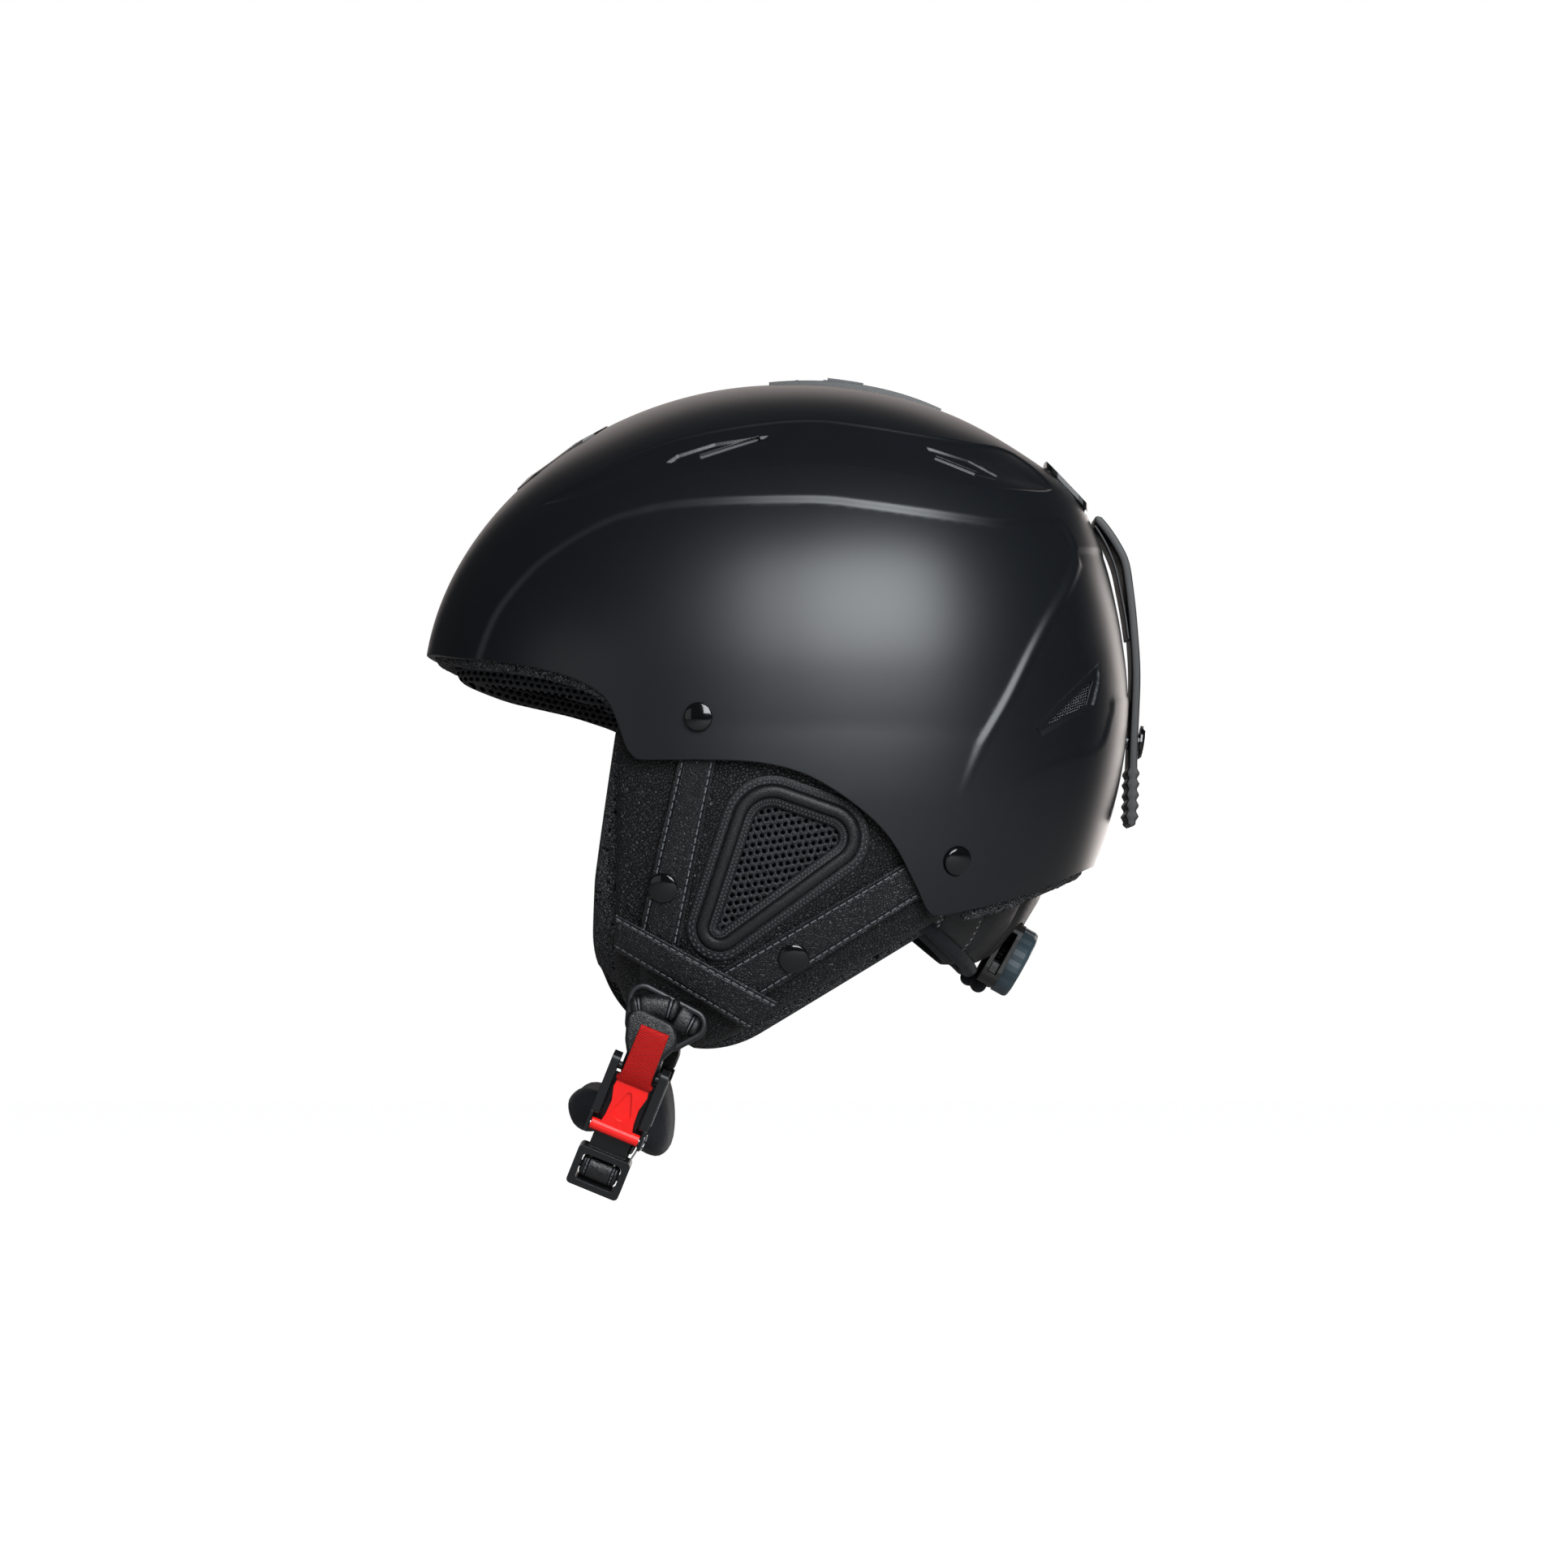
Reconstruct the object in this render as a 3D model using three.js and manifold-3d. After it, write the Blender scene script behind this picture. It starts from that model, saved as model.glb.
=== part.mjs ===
// Ski helmet: hard shell, foam liner, ear pads, chin strap with a buckle and a dial-adjusted fit.
// Millimetres, +Z up, the wearer faces -X and the wearer's left is -Y.
// The origin is the centre of the head, on the plane of symmetry.
import * as THREE from 'three';
import { mergeVertices } from 'three/addons/utils/BufferGeometryUtils.js';
import Module from 'manifold-3d';

const wasm = await Module();
wasm.setup();

// Shell: half sizes of the outer form, measured from the centre of the head
const shellFront = 139.6;
const shellRear = 137.6;
const shellHalfWidth = 107;
const crownHeight = 120;
const sideDrop = 200;
const napeDrop = 158;
const shellWall = 3.2;
const planPower = 2.25;
const crownPower = 2.05;
const crownPowerLean = 0.15;
const skirtPower = 2;

// Proud corner at the rear top of the shell
const rearRidgeHeight = 3.4;
const rearRidgeTilt = 57;
const rearRidgeTiltSpan = 9;
const rearRidgeTurnSpan = 22;

// Steps pressed into the shell
const sidePanelDepth = 1.2;
const rearZoneDepth = 0.6;
const channelDepth = 1.5;
const scoopDepth = 2;

// Layers under the shell, from the outside in
const clearance = 0.3;
const linerThickness = 18;
const comfortThickness = 6;
const edgingThickness = 9;
const edgingShow = 4.6;
const edgingRise = 8;

// Ear pads, and the straps that lie on them
const earLeatherThickness = 9;
const earLiningThickness = 11;
const earLiningShow = 4.6;
const earPadSpace = 1.7;
const earRingWidth = 4.6;
const earRingHeight = 7.4;
const earRingProud = 1.7;
const earMeshThickness = 1.2;
const earMeshSunk = 2.6;
const strapThickness = 1.8;
const crossBandThickness = 2;
const padSnapRadius = 5.7;
const padSnapDome = 2.2;
const padSnapShank = 1.6;

// Shell rivets
const rivetRadius = 5.3;
const rivetDome = 1.9;
const rivetSeat = 0.9;
const rivetShankRadius = 2.4;

// Crown vent: a slider that runs on an arc in a rail
const ventArcRadius = 199;
const ventPlaceTilt = 14.4;
const ventLean = 9.6;
const ventRailLength = 69;
const ventRailWidth = 27;
const ventRailProud = 1.5;
const ventRailSunk = 1.3;
const sliderLength = 42.5;
const sliderWidth = 14.5;
const sliderProud = 1;
const sliderShift = -4.6;
const sliderTravel = 11;
const sliderFinLength = 20;
const sliderFinHeight = 2.9;
const sliderFinWidth = 7;
const sliderRibHeight = 0.7;
const sliderRibWidth = 1.3;
const sliderRibPitch = 3.1;
const stemLength = 8;
const stemWidth = 5;
const keeperLength = 26;
const keeperWidth = 12;
const keeperThickness = 1.6;
const keeperSunk = 1;
const crownWindowLength = 9;
const crownWindowWidth = 11;

// Front vent trim, rear grille and its cover, seen from above
const trimCentre = -85;
const trimLength = 35;
const trimWidth = 50;
const trimCorner = 9;
const trimProud = 1;
const trimSunk = 1.2;
const trimBorder = 4.2;
const trimBars = 3;
const trimBarWidth = 2.4;
const grilleCentre = 112.4;
const grilleLength = 16;
const grilleWidth = 38;
const grilleCorner = 4;
const grilleSunk = 0.9;
const grilleDepth = 2.6;
const grilleBorder = 2.2;
const grilleGaps = 6;
const grilleBarWidth = 2;
const coverCentre = 113;
const coverLength = 16;
const coverWidth = 34;
const coverThickness = 1.8;
const coverLift = 1.6;
const coverPostRadius = 1.6;

// Rear vents
const meshThickness = 1;

// Goggle strap: a rubber band on the rear, hinged at its upper end and snapped below
const gogglesStrapWidth = 21;
const gogglesStrapThickness = 3.6;
const gripToothDepth = 1.2;
const gripToothHeight = 1.9;
const gripToothWidth = 16;
const gripPitch = 4;
const gripTeeth = 5;
const gogglesSnapTilt = 98.3;
const gogglesSnapRadius = 6.7;
const gogglesSnapDome = 2.6;
const gogglesSnapEdge = 0.9;
const gogglesPostRadius = 1.7;
const gogglesSocketRadius = 2.2;
const gogglesShankRadius = 3.6;

// Neck pad and the fit dial behind it
const neckPadThickness = 15;
const neckPadSink = 13;
const dialSeatBack = 89.9;
const dialSeatDrop = 105.6;
const dialTurn = 119;
const dialRadius = 14;
const dialThickness = 6.8;
const dialLobes = 10;
const dialLobeDepth = 0.7;
const dialBevel = 1.6;
const housingWidth = 56;
const housingHeight = 27;
const housingCorner = 6;
const housingWall = 1.8;
const pinionTeeth = 10;
const toothModule = 1;
const pinionWidth = 3;
const toothGap = 0.22;
const rackLength = 31;
const rackBack = 2.6;
const rackOverlap = 6;
const shaftRadius = 2.3;
const dialBoreDepth = 4;

// Chin strap, hung on a yoke ring at each side
const yokeForward = 43;
const yokeDrop = 132.2;
const yokeHalfSpan = 79;
const yokeRingRadius = 12.9;
const yokeRingSection = 2;
const hangerPuff = 3;
const loopPuff = 1.9;
const loopTurn = 20;
const loopSlack = 0.6;
const strapTilt = 22.3;
const buckleLean = 18;
const buckleShift = 2.5;
const bandWidth = 15;
const bandThickness = 2;

// Buckle, measured down from the bar at its upper end
const buckleBarDrop = 18.6;
const buckleBarRadius = 1.5;
const buckleWidth = 22.6;
const railAbove = 4.3;
const railLength = 20.2;
const railWidth = 3.2;
const railBack = 3.6;
const railFront = 4.4;
const basePlate = 2.1;
const leverTop = 3.9;
const leverPivot = 23.9;
const leverWidth = 13.4;
const leverThickness = 2.5;
const leverStand = 3.9;
const leverBarWidth = 19.2;
const leverBarRadius = 2.2;
const leverHollowDepth = 0.7;
const leverPinRadius = 0.8;
const earWall = 1.3;
const tonguePlateWidth = 14.6;
const tonguePlateThickness = 1.8;
const tongueTop = 6;
const ladderTop = 34.1;
const ladderBottom = 50.2;
const ladderWidth = 20.8;
const ladderDepth = 6;
const ladderRim = 2.6;
const ladderCorner = 1.6;
const ladderBarRadius = 1.3;
const rollRadius = 4.2;
const pullTabTop = 16.7;
const pullTabWidth = 11.4;
const pullTabThickness = 1.5;

// Chin pad
const chinPadWidth = 40;
const chinPadThickness = 15;
const chinPadHalfSpan = 44;
const chinPadDrop = 38.5;
const chinPadSag = 3;
const chinPadShift = -2;

// Facets
const shellColumns = 36;
const shellRows = 18;
const linerColumns = 18;
const linerRows = 9;
const roundSteps = 14;
const smallSteps = 10;
const overrun = 30;
const weldDistance = 1e-4;
const halvings = 40;

const degrees = Math.PI / 180;
const left = -1;
const right = 1;
const sides = [['left', left], ['right', right]];

// Looks of the materials
const material = (color, roughness, metalness = 0) =>
  new THREE.MeshStandardMaterial({ color, roughness, metalness });
const satinBlack = () => material(0x1b1d21, 0.42);
const foamGrey = () => material(0x2c2d30, 0.95);
const fleeceBlack = () => material(0x161719, 1);
const leatherBlack = () => material(0x17181b, 0.62);
const plasticBlack = () => material(0x141518, 0.5);
const rubberBlack = () => material(0x101113, 0.7);
const glossBlack = () => material(0x060607, 0.12);
const meshBlack = () => material(0x0c0c0e, 0.9);
const signalRed = () => material(0xd5100f, 0.45);
const dialBlue = () => material(0x2f3e4b, 0.5);
const housingBrown = () => material(0x35322f, 0.6);
const steel = () => material(0xb9bcc0, 0.25, 1);

// Solids: a closed geometry becomes a solid that can be joined and cut, and back again
const solidOf = (geometry) => {
  const bare = geometry.clone();
  bare.deleteAttribute('normal');
  bare.deleteAttribute('uv');
  const welded = mergeVertices(bare, weldDistance);
  const vertProperties = new Float32Array(welded.attributes.position.array);
  const triVerts = new Uint32Array(welded.index.array);
  return new wasm.Manifold(new wasm.Mesh({ numProp: 3, vertProperties, triVerts }));
};

const geometryOf = (solid) => {
  const { vertProperties, triVerts } = solid.getMesh();
  const geometry = new THREE.BufferGeometry();
  geometry.setAttribute('position', new THREE.BufferAttribute(new Float32Array(vertProperties), 3));
  geometry.setIndex(new THREE.BufferAttribute(new Uint32Array(triVerts), 1));
  geometry.computeVertexNormals();
  return geometry;
};

const joined = (first, ...others) => others.reduce((whole, piece) => whole.add(piece), first);
const cutBy = (first, ...cutters) => cutters.reduce((whole, cutter) => whole.subtract(cutter), first);

// A geometry turned over the plane of symmetry, with its faces still pointing out
const mirrored = (geometry) => {
  const flipped = geometry.index ? geometry.clone() : mergeVertices(geometry.clone(), weldDistance);
  flipped.scale(1, -1, 1);
  const order = flipped.index.array;
  for (let i = 0; i < order.length; i += 3) {
    [order[i], order[i + 1]] = [order[i + 1], order[i]];
  }
  return flipped;
};
const forSide = (geometry, side) => (side === left ? geometry : mirrored(geometry));

// Outer form of the helmet: how far it lies from the centre in a direction
const headRadius = (dir) => {
  const flat = Math.hypot(dir.x, dir.y) || Number.EPSILON;
  const reach = dir.x < 0 ? shellFront : shellRear;
  const plan = (Math.abs(dir.x) / reach) ** planPower + (Math.abs(dir.y) / shellHalfWidth) ** planPower;
  const across = plan ** (1 / planPower);
  const along = (dir.x / flat) ** 2;
  const height = dir.z >= 0 ? crownHeight : sideDrop * (1 - along) + napeDrop * along;
  const power = dir.z >= 0 ? crownPower + crownPowerLean * (dir.x / flat) : skirtPower;
  const radius = (across ** power + (Math.abs(dir.z) / height) ** power) ** (-1 / power);
  const tilt = (Math.acos(dir.z) / degrees - rearRidgeTilt) / rearRidgeTiltSpan;
  const turn = Math.atan2(Math.abs(dir.y), dir.x) / degrees / rearRidgeTurnSpan;
  return radius + rearRidgeHeight * Math.exp(-(tilt ** 2)) * Math.exp(-(turn ** 2));
};

const flatDepth = (depth) => () => depth;

// A closed form that follows the helmet's outside, sunk by a depth that may vary with direction
const headForm = (depthAt, columns = shellColumns, rows = shellRows) => {
  const at = (tilt, turn) => {
    const dir = new THREE.Vector3(Math.sin(tilt) * Math.cos(turn), Math.sin(tilt) * Math.sin(turn), Math.cos(tilt));
    return dir.clone().multiplyScalar(headRadius(dir) - depthAt(dir));
  };
  const points = [at(0, 0), at(Math.PI, 0)];
  for (let row = 1; row < rows; row += 1) {
    for (let column = 0; column < columns; column += 1) {
      points.push(at((row / rows) * Math.PI, (column / columns) * 2 * Math.PI));
    }
  }
  const ring = (row, column) => 2 + (row - 1) * columns + (column % columns);
  const index = [];
  for (let column = 0; column < columns; column += 1) {
    index.push(0, ring(1, column), ring(1, column + 1));
    index.push(1, ring(rows - 1, column + 1), ring(rows - 1, column));
    for (let row = 1; row < rows - 1; row += 1) {
      const [a, b, c, d] = [ring(row, column), ring(row + 1, column), ring(row + 1, column + 1), ring(row, column + 1)];
      index.push(a, b, c, a, c, d);
    }
  }
  return solidOf(outward(points, index));
};

// Sideways place of the helmet's surface, sunk by a depth, at a point of the side view
const sideReach = (x, z, depth) => {
  const point = new THREE.Vector3(x, 0, z);
  const dir = new THREE.Vector3();
  let inside = 0;
  let outside = 2 * shellHalfWidth;
  for (let i = 0; i < halvings; i += 1) {
    point.y = (inside + outside) / 2;
    dir.copy(point).normalize();
    if (point.length() < headRadius(dir) - depth) inside = point.y;
    else outside = point.y;
  }
  return point.y;
};

// Point of the surface in the plane of symmetry, by its tilt from straight up to the rear
const midPoint = (tilt, depth) => {
  const dir = new THREE.Vector3(Math.sin(tilt * degrees), 0, Math.cos(tilt * degrees));
  return dir.multiplyScalar(headRadius(dir) - depth);
};

// Outlines in the side view: shares of the shell's reach and of the crown's height
const sideOutline = (shares) => shares.map(([along, up]) => new THREE.Vector2(
  along * (along < 0 ? shellFront : shellRear), up * crownHeight));
const lowered = (outline, drop) => outline.map((point) => new THREE.Vector2(point.x, point.y - drop));

// Outline round a set of circles, as a belt would lie, grown by a margin
const beltOutline = (circles, grow, steps = roundSteps * 2) => Array.from({ length: steps }, (_, i) => {
  const turn = (i / steps) * 360 * degrees;
  const way = new THREE.Vector2(Math.cos(turn), Math.sin(turn));
  const furthest = circles.reduce((best, circle) => {
    const reach = circle.x * way.x + circle.y * way.y + circle.r;
    return reach > best.reach ? { reach, circle } : best;
  }, { reach: -Infinity, circle: circles[0] }).circle;
  return new THREE.Vector2(furthest.x + way.x * (furthest.r + grow), furthest.y + way.y * (furthest.r + grow));
});

// Prisms: an outline of the side view pushed across, and an outline of the top view pushed up
const sidePrism = (outline, from, to) => {
  const geometry = new THREE.ExtrudeGeometry(new THREE.Shape(outline), { depth: to - from, bevelEnabled: false });
  return solidOf(geometry.rotateX(90 * degrees).translate(0, to, 0));
};
const throughBoth = (outline) => sidePrism(outline, -shellHalfWidth - overrun, shellHalfWidth + overrun);
const throughLeft = (outline) => sidePrism(outline, -shellHalfWidth - overrun, 0);
const throughRight = (outline) => sidePrism(outline, 0, shellHalfWidth + overrun);
const throughSide = (outline, side) => (side === left ? throughLeft(outline) : throughRight(outline));
const topPrism = (outline, from, to) => {
  const geometry = new THREE.ExtrudeGeometry(new THREE.Shape(outline), { depth: to - from, bevelEnabled: false });
  return solidOf(geometry.translate(0, 0, from));
};

// Rounded box with its middle at the origin, rounded seen along Z
const plateOutline = (length, width, radius, cornerSteps = 3) => {
  const corners = [[1, 1, 0], [-1, 1, 90], [-1, -1, 180], [1, -1, 270]];
  return corners.flatMap(([alongSign, acrossSign, start]) => Array.from({ length: cornerSteps + 1 }, (_, i) => {
    const turn = (start + (i / cornerSteps) * 90) * degrees;
    return new THREE.Vector2(
      alongSign * (length / 2 - radius) + radius * Math.cos(turn),
      acrossSign * (width / 2 - radius) + radius * Math.sin(turn));
  }));
};
const plate = (length, width, thickness, radius, cornerSteps = 3) => new THREE.ExtrudeGeometry(
  new THREE.Shape(plateOutline(length, width, radius, cornerSteps)),
  { depth: thickness, bevelEnabled: false }).translate(0, 0, -thickness / 2);
const slab = (length, width, thickness) => new THREE.BoxGeometry(length, width, thickness);

// Turned piece about Z from a closed profile of radius and height
const turned = (profile, steps = roundSteps) =>
  new THREE.LatheGeometry(profile.map(([radius, height]) => new THREE.Vector2(radius, height)), steps)
    .rotateX(90 * degrees);

// Closed ring: a section carried round a loop of stations, each with a centre and two section axes
const sweptRing = (stations, section) => {
  const sides3 = section.length;
  const points = stations.flatMap(({ centre, axisA, axisB }) => section.map(([a, b]) =>
    centre.clone().addScaledVector(axisA, a).addScaledVector(axisB, b)));
  const index = [];
  for (let i = 0; i < stations.length; i += 1) {
    const here = i * sides3;
    const next = ((i + 1) % stations.length) * sides3;
    for (let j = 0; j < sides3; j += 1) {
      const k = (j + 1) % sides3;
      index.push(here + j, next + j, next + k, here + j, next + k, here + k);
    }
  }
  return outward(points, index);
};

// Open sweep with flat ends
const sweptBar = (stations, section) => {
  const count = section.length;
  const points = stations.flatMap(({ centre, axisA, axisB }) => section.map(([a, b]) =>
    centre.clone().addScaledVector(axisA, a).addScaledVector(axisB, b)));
  const index = [];
  for (let i = 0; i < stations.length - 1; i += 1) {
    for (let j = 0; j < count; j += 1) {
      const k = (j + 1) % count;
      const here = i * count;
      const next = here + count;
      index.push(here + j, next + j, next + k, here + j, next + k, here + k);
    }
  }
  const last = (stations.length - 1) * count;
  for (let j = 1; j < count - 1; j += 1) {
    index.push(0, j, j + 1, last, last + j + 1, last + j);
  }
  return outward(points, index);
};

// Geometry from points and triangles, turned so that its faces point out
function outward(points, index) {
  const geometry = new THREE.BufferGeometry().setFromPoints(points);
  let volume = 0;
  for (let i = 0; i < index.length; i += 3) {
    const [a, b, c] = [points[index[i]], points[index[i + 1]], points[index[i + 2]]];
    volume += a.dot(new THREE.Vector3().crossVectors(b, c));
  }
  const ordered = volume > 0 ? index : index.map((_, i) => index[i - (i % 3) + (2 - (i % 3))]);
  geometry.setIndex(ordered);
  geometry.computeVertexNormals();
  return geometry;
}

const ovalSection = (halfA, halfB, steps = 10) => Array.from({ length: steps }, (_, i) => {
  const turn = (i / steps) * 360 * degrees;
  return [halfA * Math.cos(turn), halfB * Math.sin(turn)];
});

// Puffed pad on the left side: rings of an outline, drawn in at its edge, set in from a sunk surface
const padFaceShares = [[1, 0.5], [0.975, 0.16], [0.9, 0], [0.5, 0]];
const sheetFaceShares = [[1, 0], [0.5, 0]];
const puffedPad = (outline, depth, inset, thickness, faceShares = padFaceShares) => {
  const centre = outline.reduce((sum, point) => sum.add(point), new THREE.Vector2()).divideScalar(outline.length);
  const rings = [
    ...faceShares.slice().reverse(),
    ...faceShares.filter(([, share]) => share !== 0.5).map(([scale, share]) => [scale, 1 - share]),
  ];
  const at = (point, share) => new THREE.Vector3(
    point.x, inset + thickness * share - sideReach(point.x, point.y, depth), point.y);
  const points = rings.flatMap(([scale, share]) => outline.map((point) =>
    at(centre.clone().lerp(point, scale), share)));
  const count = outline.length;
  const index = [];
  for (let i = 0; i < rings.length - 1; i += 1) {
    for (let j = 0; j < count; j += 1) {
      const k = (j + 1) % count;
      const here = i * count;
      const next = here + count;
      index.push(here + j, next + j, next + k, here + j, next + k, here + k);
    }
  }
  const front = points.length;
  const back = front + 1;
  const last = (rings.length - 1) * count;
  points.push(at(centre, 0), at(centre, 1));
  for (let j = 0; j < count; j += 1) {
    const k = (j + 1) % count;
    index.push(front, j, k, back, last + k, last + j);
  }
  return outward(points, index);
};

// Strip on the left side that lies over a pad: four corners of the side view, between two depths
const surfaceStrip = (corners, depth, thickness, lengthSteps = 8, widthSteps = 3) => {
  const [startA, startB, endB, endA] = corners;
  const at = (u, v, share) => {
    const edgeA = startA.clone().lerp(endA, u);
    const edgeB = startB.clone().lerp(endB, u);
    const point = edgeA.lerp(edgeB, v);
    return new THREE.Vector3(point.x, thickness * share - sideReach(point.x, point.y, depth), point.y);
  };
  const across = Array.from({ length: widthSteps + 1 }, (_, i) => i / widthSteps);
  const stations = Array.from({ length: lengthSteps + 1 }, (_, i) => {
    const u = i / lengthSteps;
    return [...across.map((v) => at(u, v, 0)), ...across.slice().reverse().map((v) => at(u, v, 1))];
  });
  const count = stations[0].length;
  const points = stations.flat();
  const index = [];
  for (let i = 0; i < lengthSteps; i += 1) {
    for (let j = 0; j < count; j += 1) {
      const k = (j + 1) % count;
      const here = i * count;
      index.push(here + j, here + count + j, here + count + k, here + j, here + count + k, here + k);
    }
  }
  const last = lengthSteps * count;
  for (let j = 0; j < widthSteps; j += 1) {
    const [a, b, c, d] = [j, j + 1, count - 2 - j, count - 1 - j];
    index.push(a, b, c, a, c, d, last + a, last + c, last + b, last + a, last + d, last + c);
  }
  return outward(points, index);
};

// Scene graph: the helmet, and a group for each moving part
const helmet = new THREE.Group();
const place = (parent, name, shape, look) => {
  const geometry = shape.isBufferGeometry ? shape : geometryOf(shape);
  const mesh = new THREE.Mesh(geometry, look);
  mesh.name = name;
  parent.add(mesh);
  return mesh;
};

// Lower edge of the shell in the side view, from the brow round the ear to the nape
const rimShares = [
  [-0.993, 0.108], [-0.889, 0.073], [-0.792, 0.055], [-0.699, 0.036], [-0.564, -0.008], [-0.486, -0.053],
  [-0.449, -0.099], [-0.425, -0.167], [-0.405, -0.23], [-0.381, -0.263], [-0.344, -0.271], [-0.193, -0.272],
  [-0.042, -0.283], [0.087, -0.325], [0.216, -0.419], [0.303, -0.518], [0.369, -0.654], [0.398, -0.724],
  [0.425, -0.749], [0.481, -0.741], [0.662, -0.688], [0.895, -0.581],
];
const aboveRimShares = [[1.25, -0.42], [1.25, 1.25], [-1.25, 1.25], [-1.25, 0.118]];
const rimOutline = sideOutline([...rimShares, ...aboveRimShares]);

// Side panel, rear zone and the channel beside the crown, as seen from the side
const sidePanelShares = [
  [-0.83, 0.02], [-0.825, 0.073], [-0.782, 0.195], [-0.733, 0.275], [-0.661, 0.362], [-0.59, 0.421],
  [-0.519, 0.468], [-0.449, 0.505], [-0.378, 0.526], [-0.308, 0.542], [-0.167, 0.554], [0.097, 0.558],
  [0.234, 0.543], [0.374, 0.523], [0.516, 0.505], [0.624, 0.497], [0.776, 0.523], [0.833, 0.426],
  [0.828, 0.372], [0.795, 0.281], [0.748, 0.192], [0.696, 0.082], [0.623, -0.084], [0.552, -0.222],
  [0.47, -0.45], [-0.6, -0.45],
];
const rearZoneShares = [
  [0.475, -0.45], [0.633, -0.352], [0.78, -0.267], [0.896, -0.217], [0.937, -0.097], [0.967, -0.049],
  [1.25, 0.02], [1.25, 0.44], [0.84, 0.43], [0.832, 0.372], [0.799, 0.281], [0.752, 0.192], [0.7, 0.082],
  [0.627, -0.084], [0.556, -0.222],
];
const channelShares = [
  [-0.644, 0.556], [-0.525, 0.635], [-0.335, 0.743], [-0.102, 0.805], [0.089, 0.826], [0.238, 0.807],
  [0.381, 0.783], [0.526, 0.764], [0.661, 0.747], [0.767, 0.623], [0.598, 0.601], [0.418, 0.621],
  [0.264, 0.651], [0.088, 0.663], [-0.131, 0.648], [-0.307, 0.619],
];
const frontScoopShares = [[-0.32, 0.674], [-0.28, 0.713], [-0.176, 0.753], [0, 0.785], [-0.05, 0.748], [-0.22, 0.682]];
const frontSlotShares = [[-0.215, 0.701], [-0.055, 0.764], [-0.05, 0.75], [-0.21, 0.684]];
const rearScoopShares = [[0.4, 0.75], [0.534, 0.709], [0.624, 0.654], [0.6, 0.636], [0.52, 0.652], [0.43, 0.69]];
const rearSlotShares = [[0.432, 0.705], [0.548, 0.655], [0.54, 0.64], [0.428, 0.69]];
const rearRecessShares = [[0.682, -0.182], [0.879, 0.06], [0.856, -0.082], [0.699, -0.201]];
const rearOpeningShares = [[0.716, -0.152], [0.847, 0.002], [0.829, -0.084], [0.722, -0.17]];
const creaseFadeShare = -0.39;
const creaseFadeSpanShare = 0.22;
const channelTopTilt = 33;
const channelLowTilt = 46;

const faded = (depth) => (dir) => {
  const up = (headRadius(dir) * dir.z) / crownHeight;
  return depth * THREE.MathUtils.clamp((up - creaseFadeShare) / creaseFadeSpanShare, -1, 1);
};
const channelDepthAt = (dir) => {
  const tilt = Math.atan2(Math.abs(dir.y), dir.z) / degrees;
  return channelDepth * THREE.MathUtils.clamp((channelLowTilt - tilt) / (channelLowTilt - channelTopTilt), -1, 1);
};

// A recess: what an outline takes from the shell above a sunk floor
const recess = (prism, depthAt) => prism.subtract(headForm(depthAt));

// Crown vent: arcs about one far centre, measured along the arc from the middle of the rail
const ventMiddle = midPoint(ventPlaceTilt, 0);
const ventCentre = new THREE.Vector3(
  ventMiddle.x - ventArcRadius * Math.sin(ventLean * degrees), 0,
  ventMiddle.z - ventArcRadius * Math.cos(ventLean * degrees));
const arcBlock = (from, to, width, lowRadius, highRadius, steps = 8) => {
  const at = (radius, along) => {
    const turn = along / ventArcRadius + ventLean * degrees;
    return new THREE.Vector2(ventCentre.x + radius * Math.sin(turn), ventCentre.z + radius * Math.cos(turn));
  };
  const stops = Array.from({ length: steps + 1 }, (_, i) => from + ((to - from) * i) / steps);
  const outline = [...stops.map((s) => at(highRadius, s)), ...stops.slice().reverse().map((s) => at(lowRadius, s))];
  return sidePrism(outline, -width / 2, width / 2);
};
const railFrom = -ventRailLength / 2;
const railTo = ventRailLength / 2;
const sliderFrom = sliderShift - sliderLength / 2;
const sliderTo = sliderShift + sliderLength / 2;
const sliderFloor = ventArcRadius - ventRailSunk;
const stemFrom = sliderShift - stemLength / 2;
const stemTo = sliderShift + stemLength / 2;
const crownWindowFrom = sliderTo + clearance;
const crownWindowTo = crownWindowFrom + crownWindowLength;

// Trim, grille and cover outlines from above
const shifted = (outline, along) => outline.map((point) => new THREE.Vector2(point.x + along, point.y));
const trimOutline = (grow) => shifted(plateOutline(trimLength + 2 * grow, trimWidth + 2 * grow, trimCorner + grow), trimCentre);
const grilleOutline = (grow) => shifted(
  plateOutline(grilleLength + 2 * grow, grilleWidth + 2 * grow, grilleCorner + grow), grilleCentre);
const throughTop = (outline) => topPrism(outline, 0, crownHeight + overrun);

// Rivets: two each side, set square to the shell in a shallow seat
const rivetShares = { front: [-0.212, -0.14], rear: [0.483, -0.581] };
const surfaceAt = ([along, up], depth = 0) => {
  const x = along * (along < 0 ? shellFront : shellRear);
  const z = up * crownHeight;
  return new THREE.Vector3(x, -sideReach(x, z, depth), z);
};
const surfaceFrame = (point, depth) => {
  const step = shellWall;
  const at = (x, z) => new THREE.Vector3(x, -sideReach(x, z, depth), z);
  const alongX = at(point.x + step, point.z).sub(at(point.x - step, point.z));
  const alongZ = at(point.x, point.z + step).sub(at(point.x, point.z - step));
  const out = new THREE.Vector3().crossVectors(alongX, alongZ).normalize();
  return new THREE.Quaternion().setFromUnitVectors(new THREE.Vector3(0, 0, 1), out);
};
const setOn = (geometry, point, depth) =>
  geometry.clone().applyQuaternion(surfaceFrame(point, depth)).translate(point.x, point.y, point.z);
const rivetPlaces = Object.entries(rivetShares);
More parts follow.
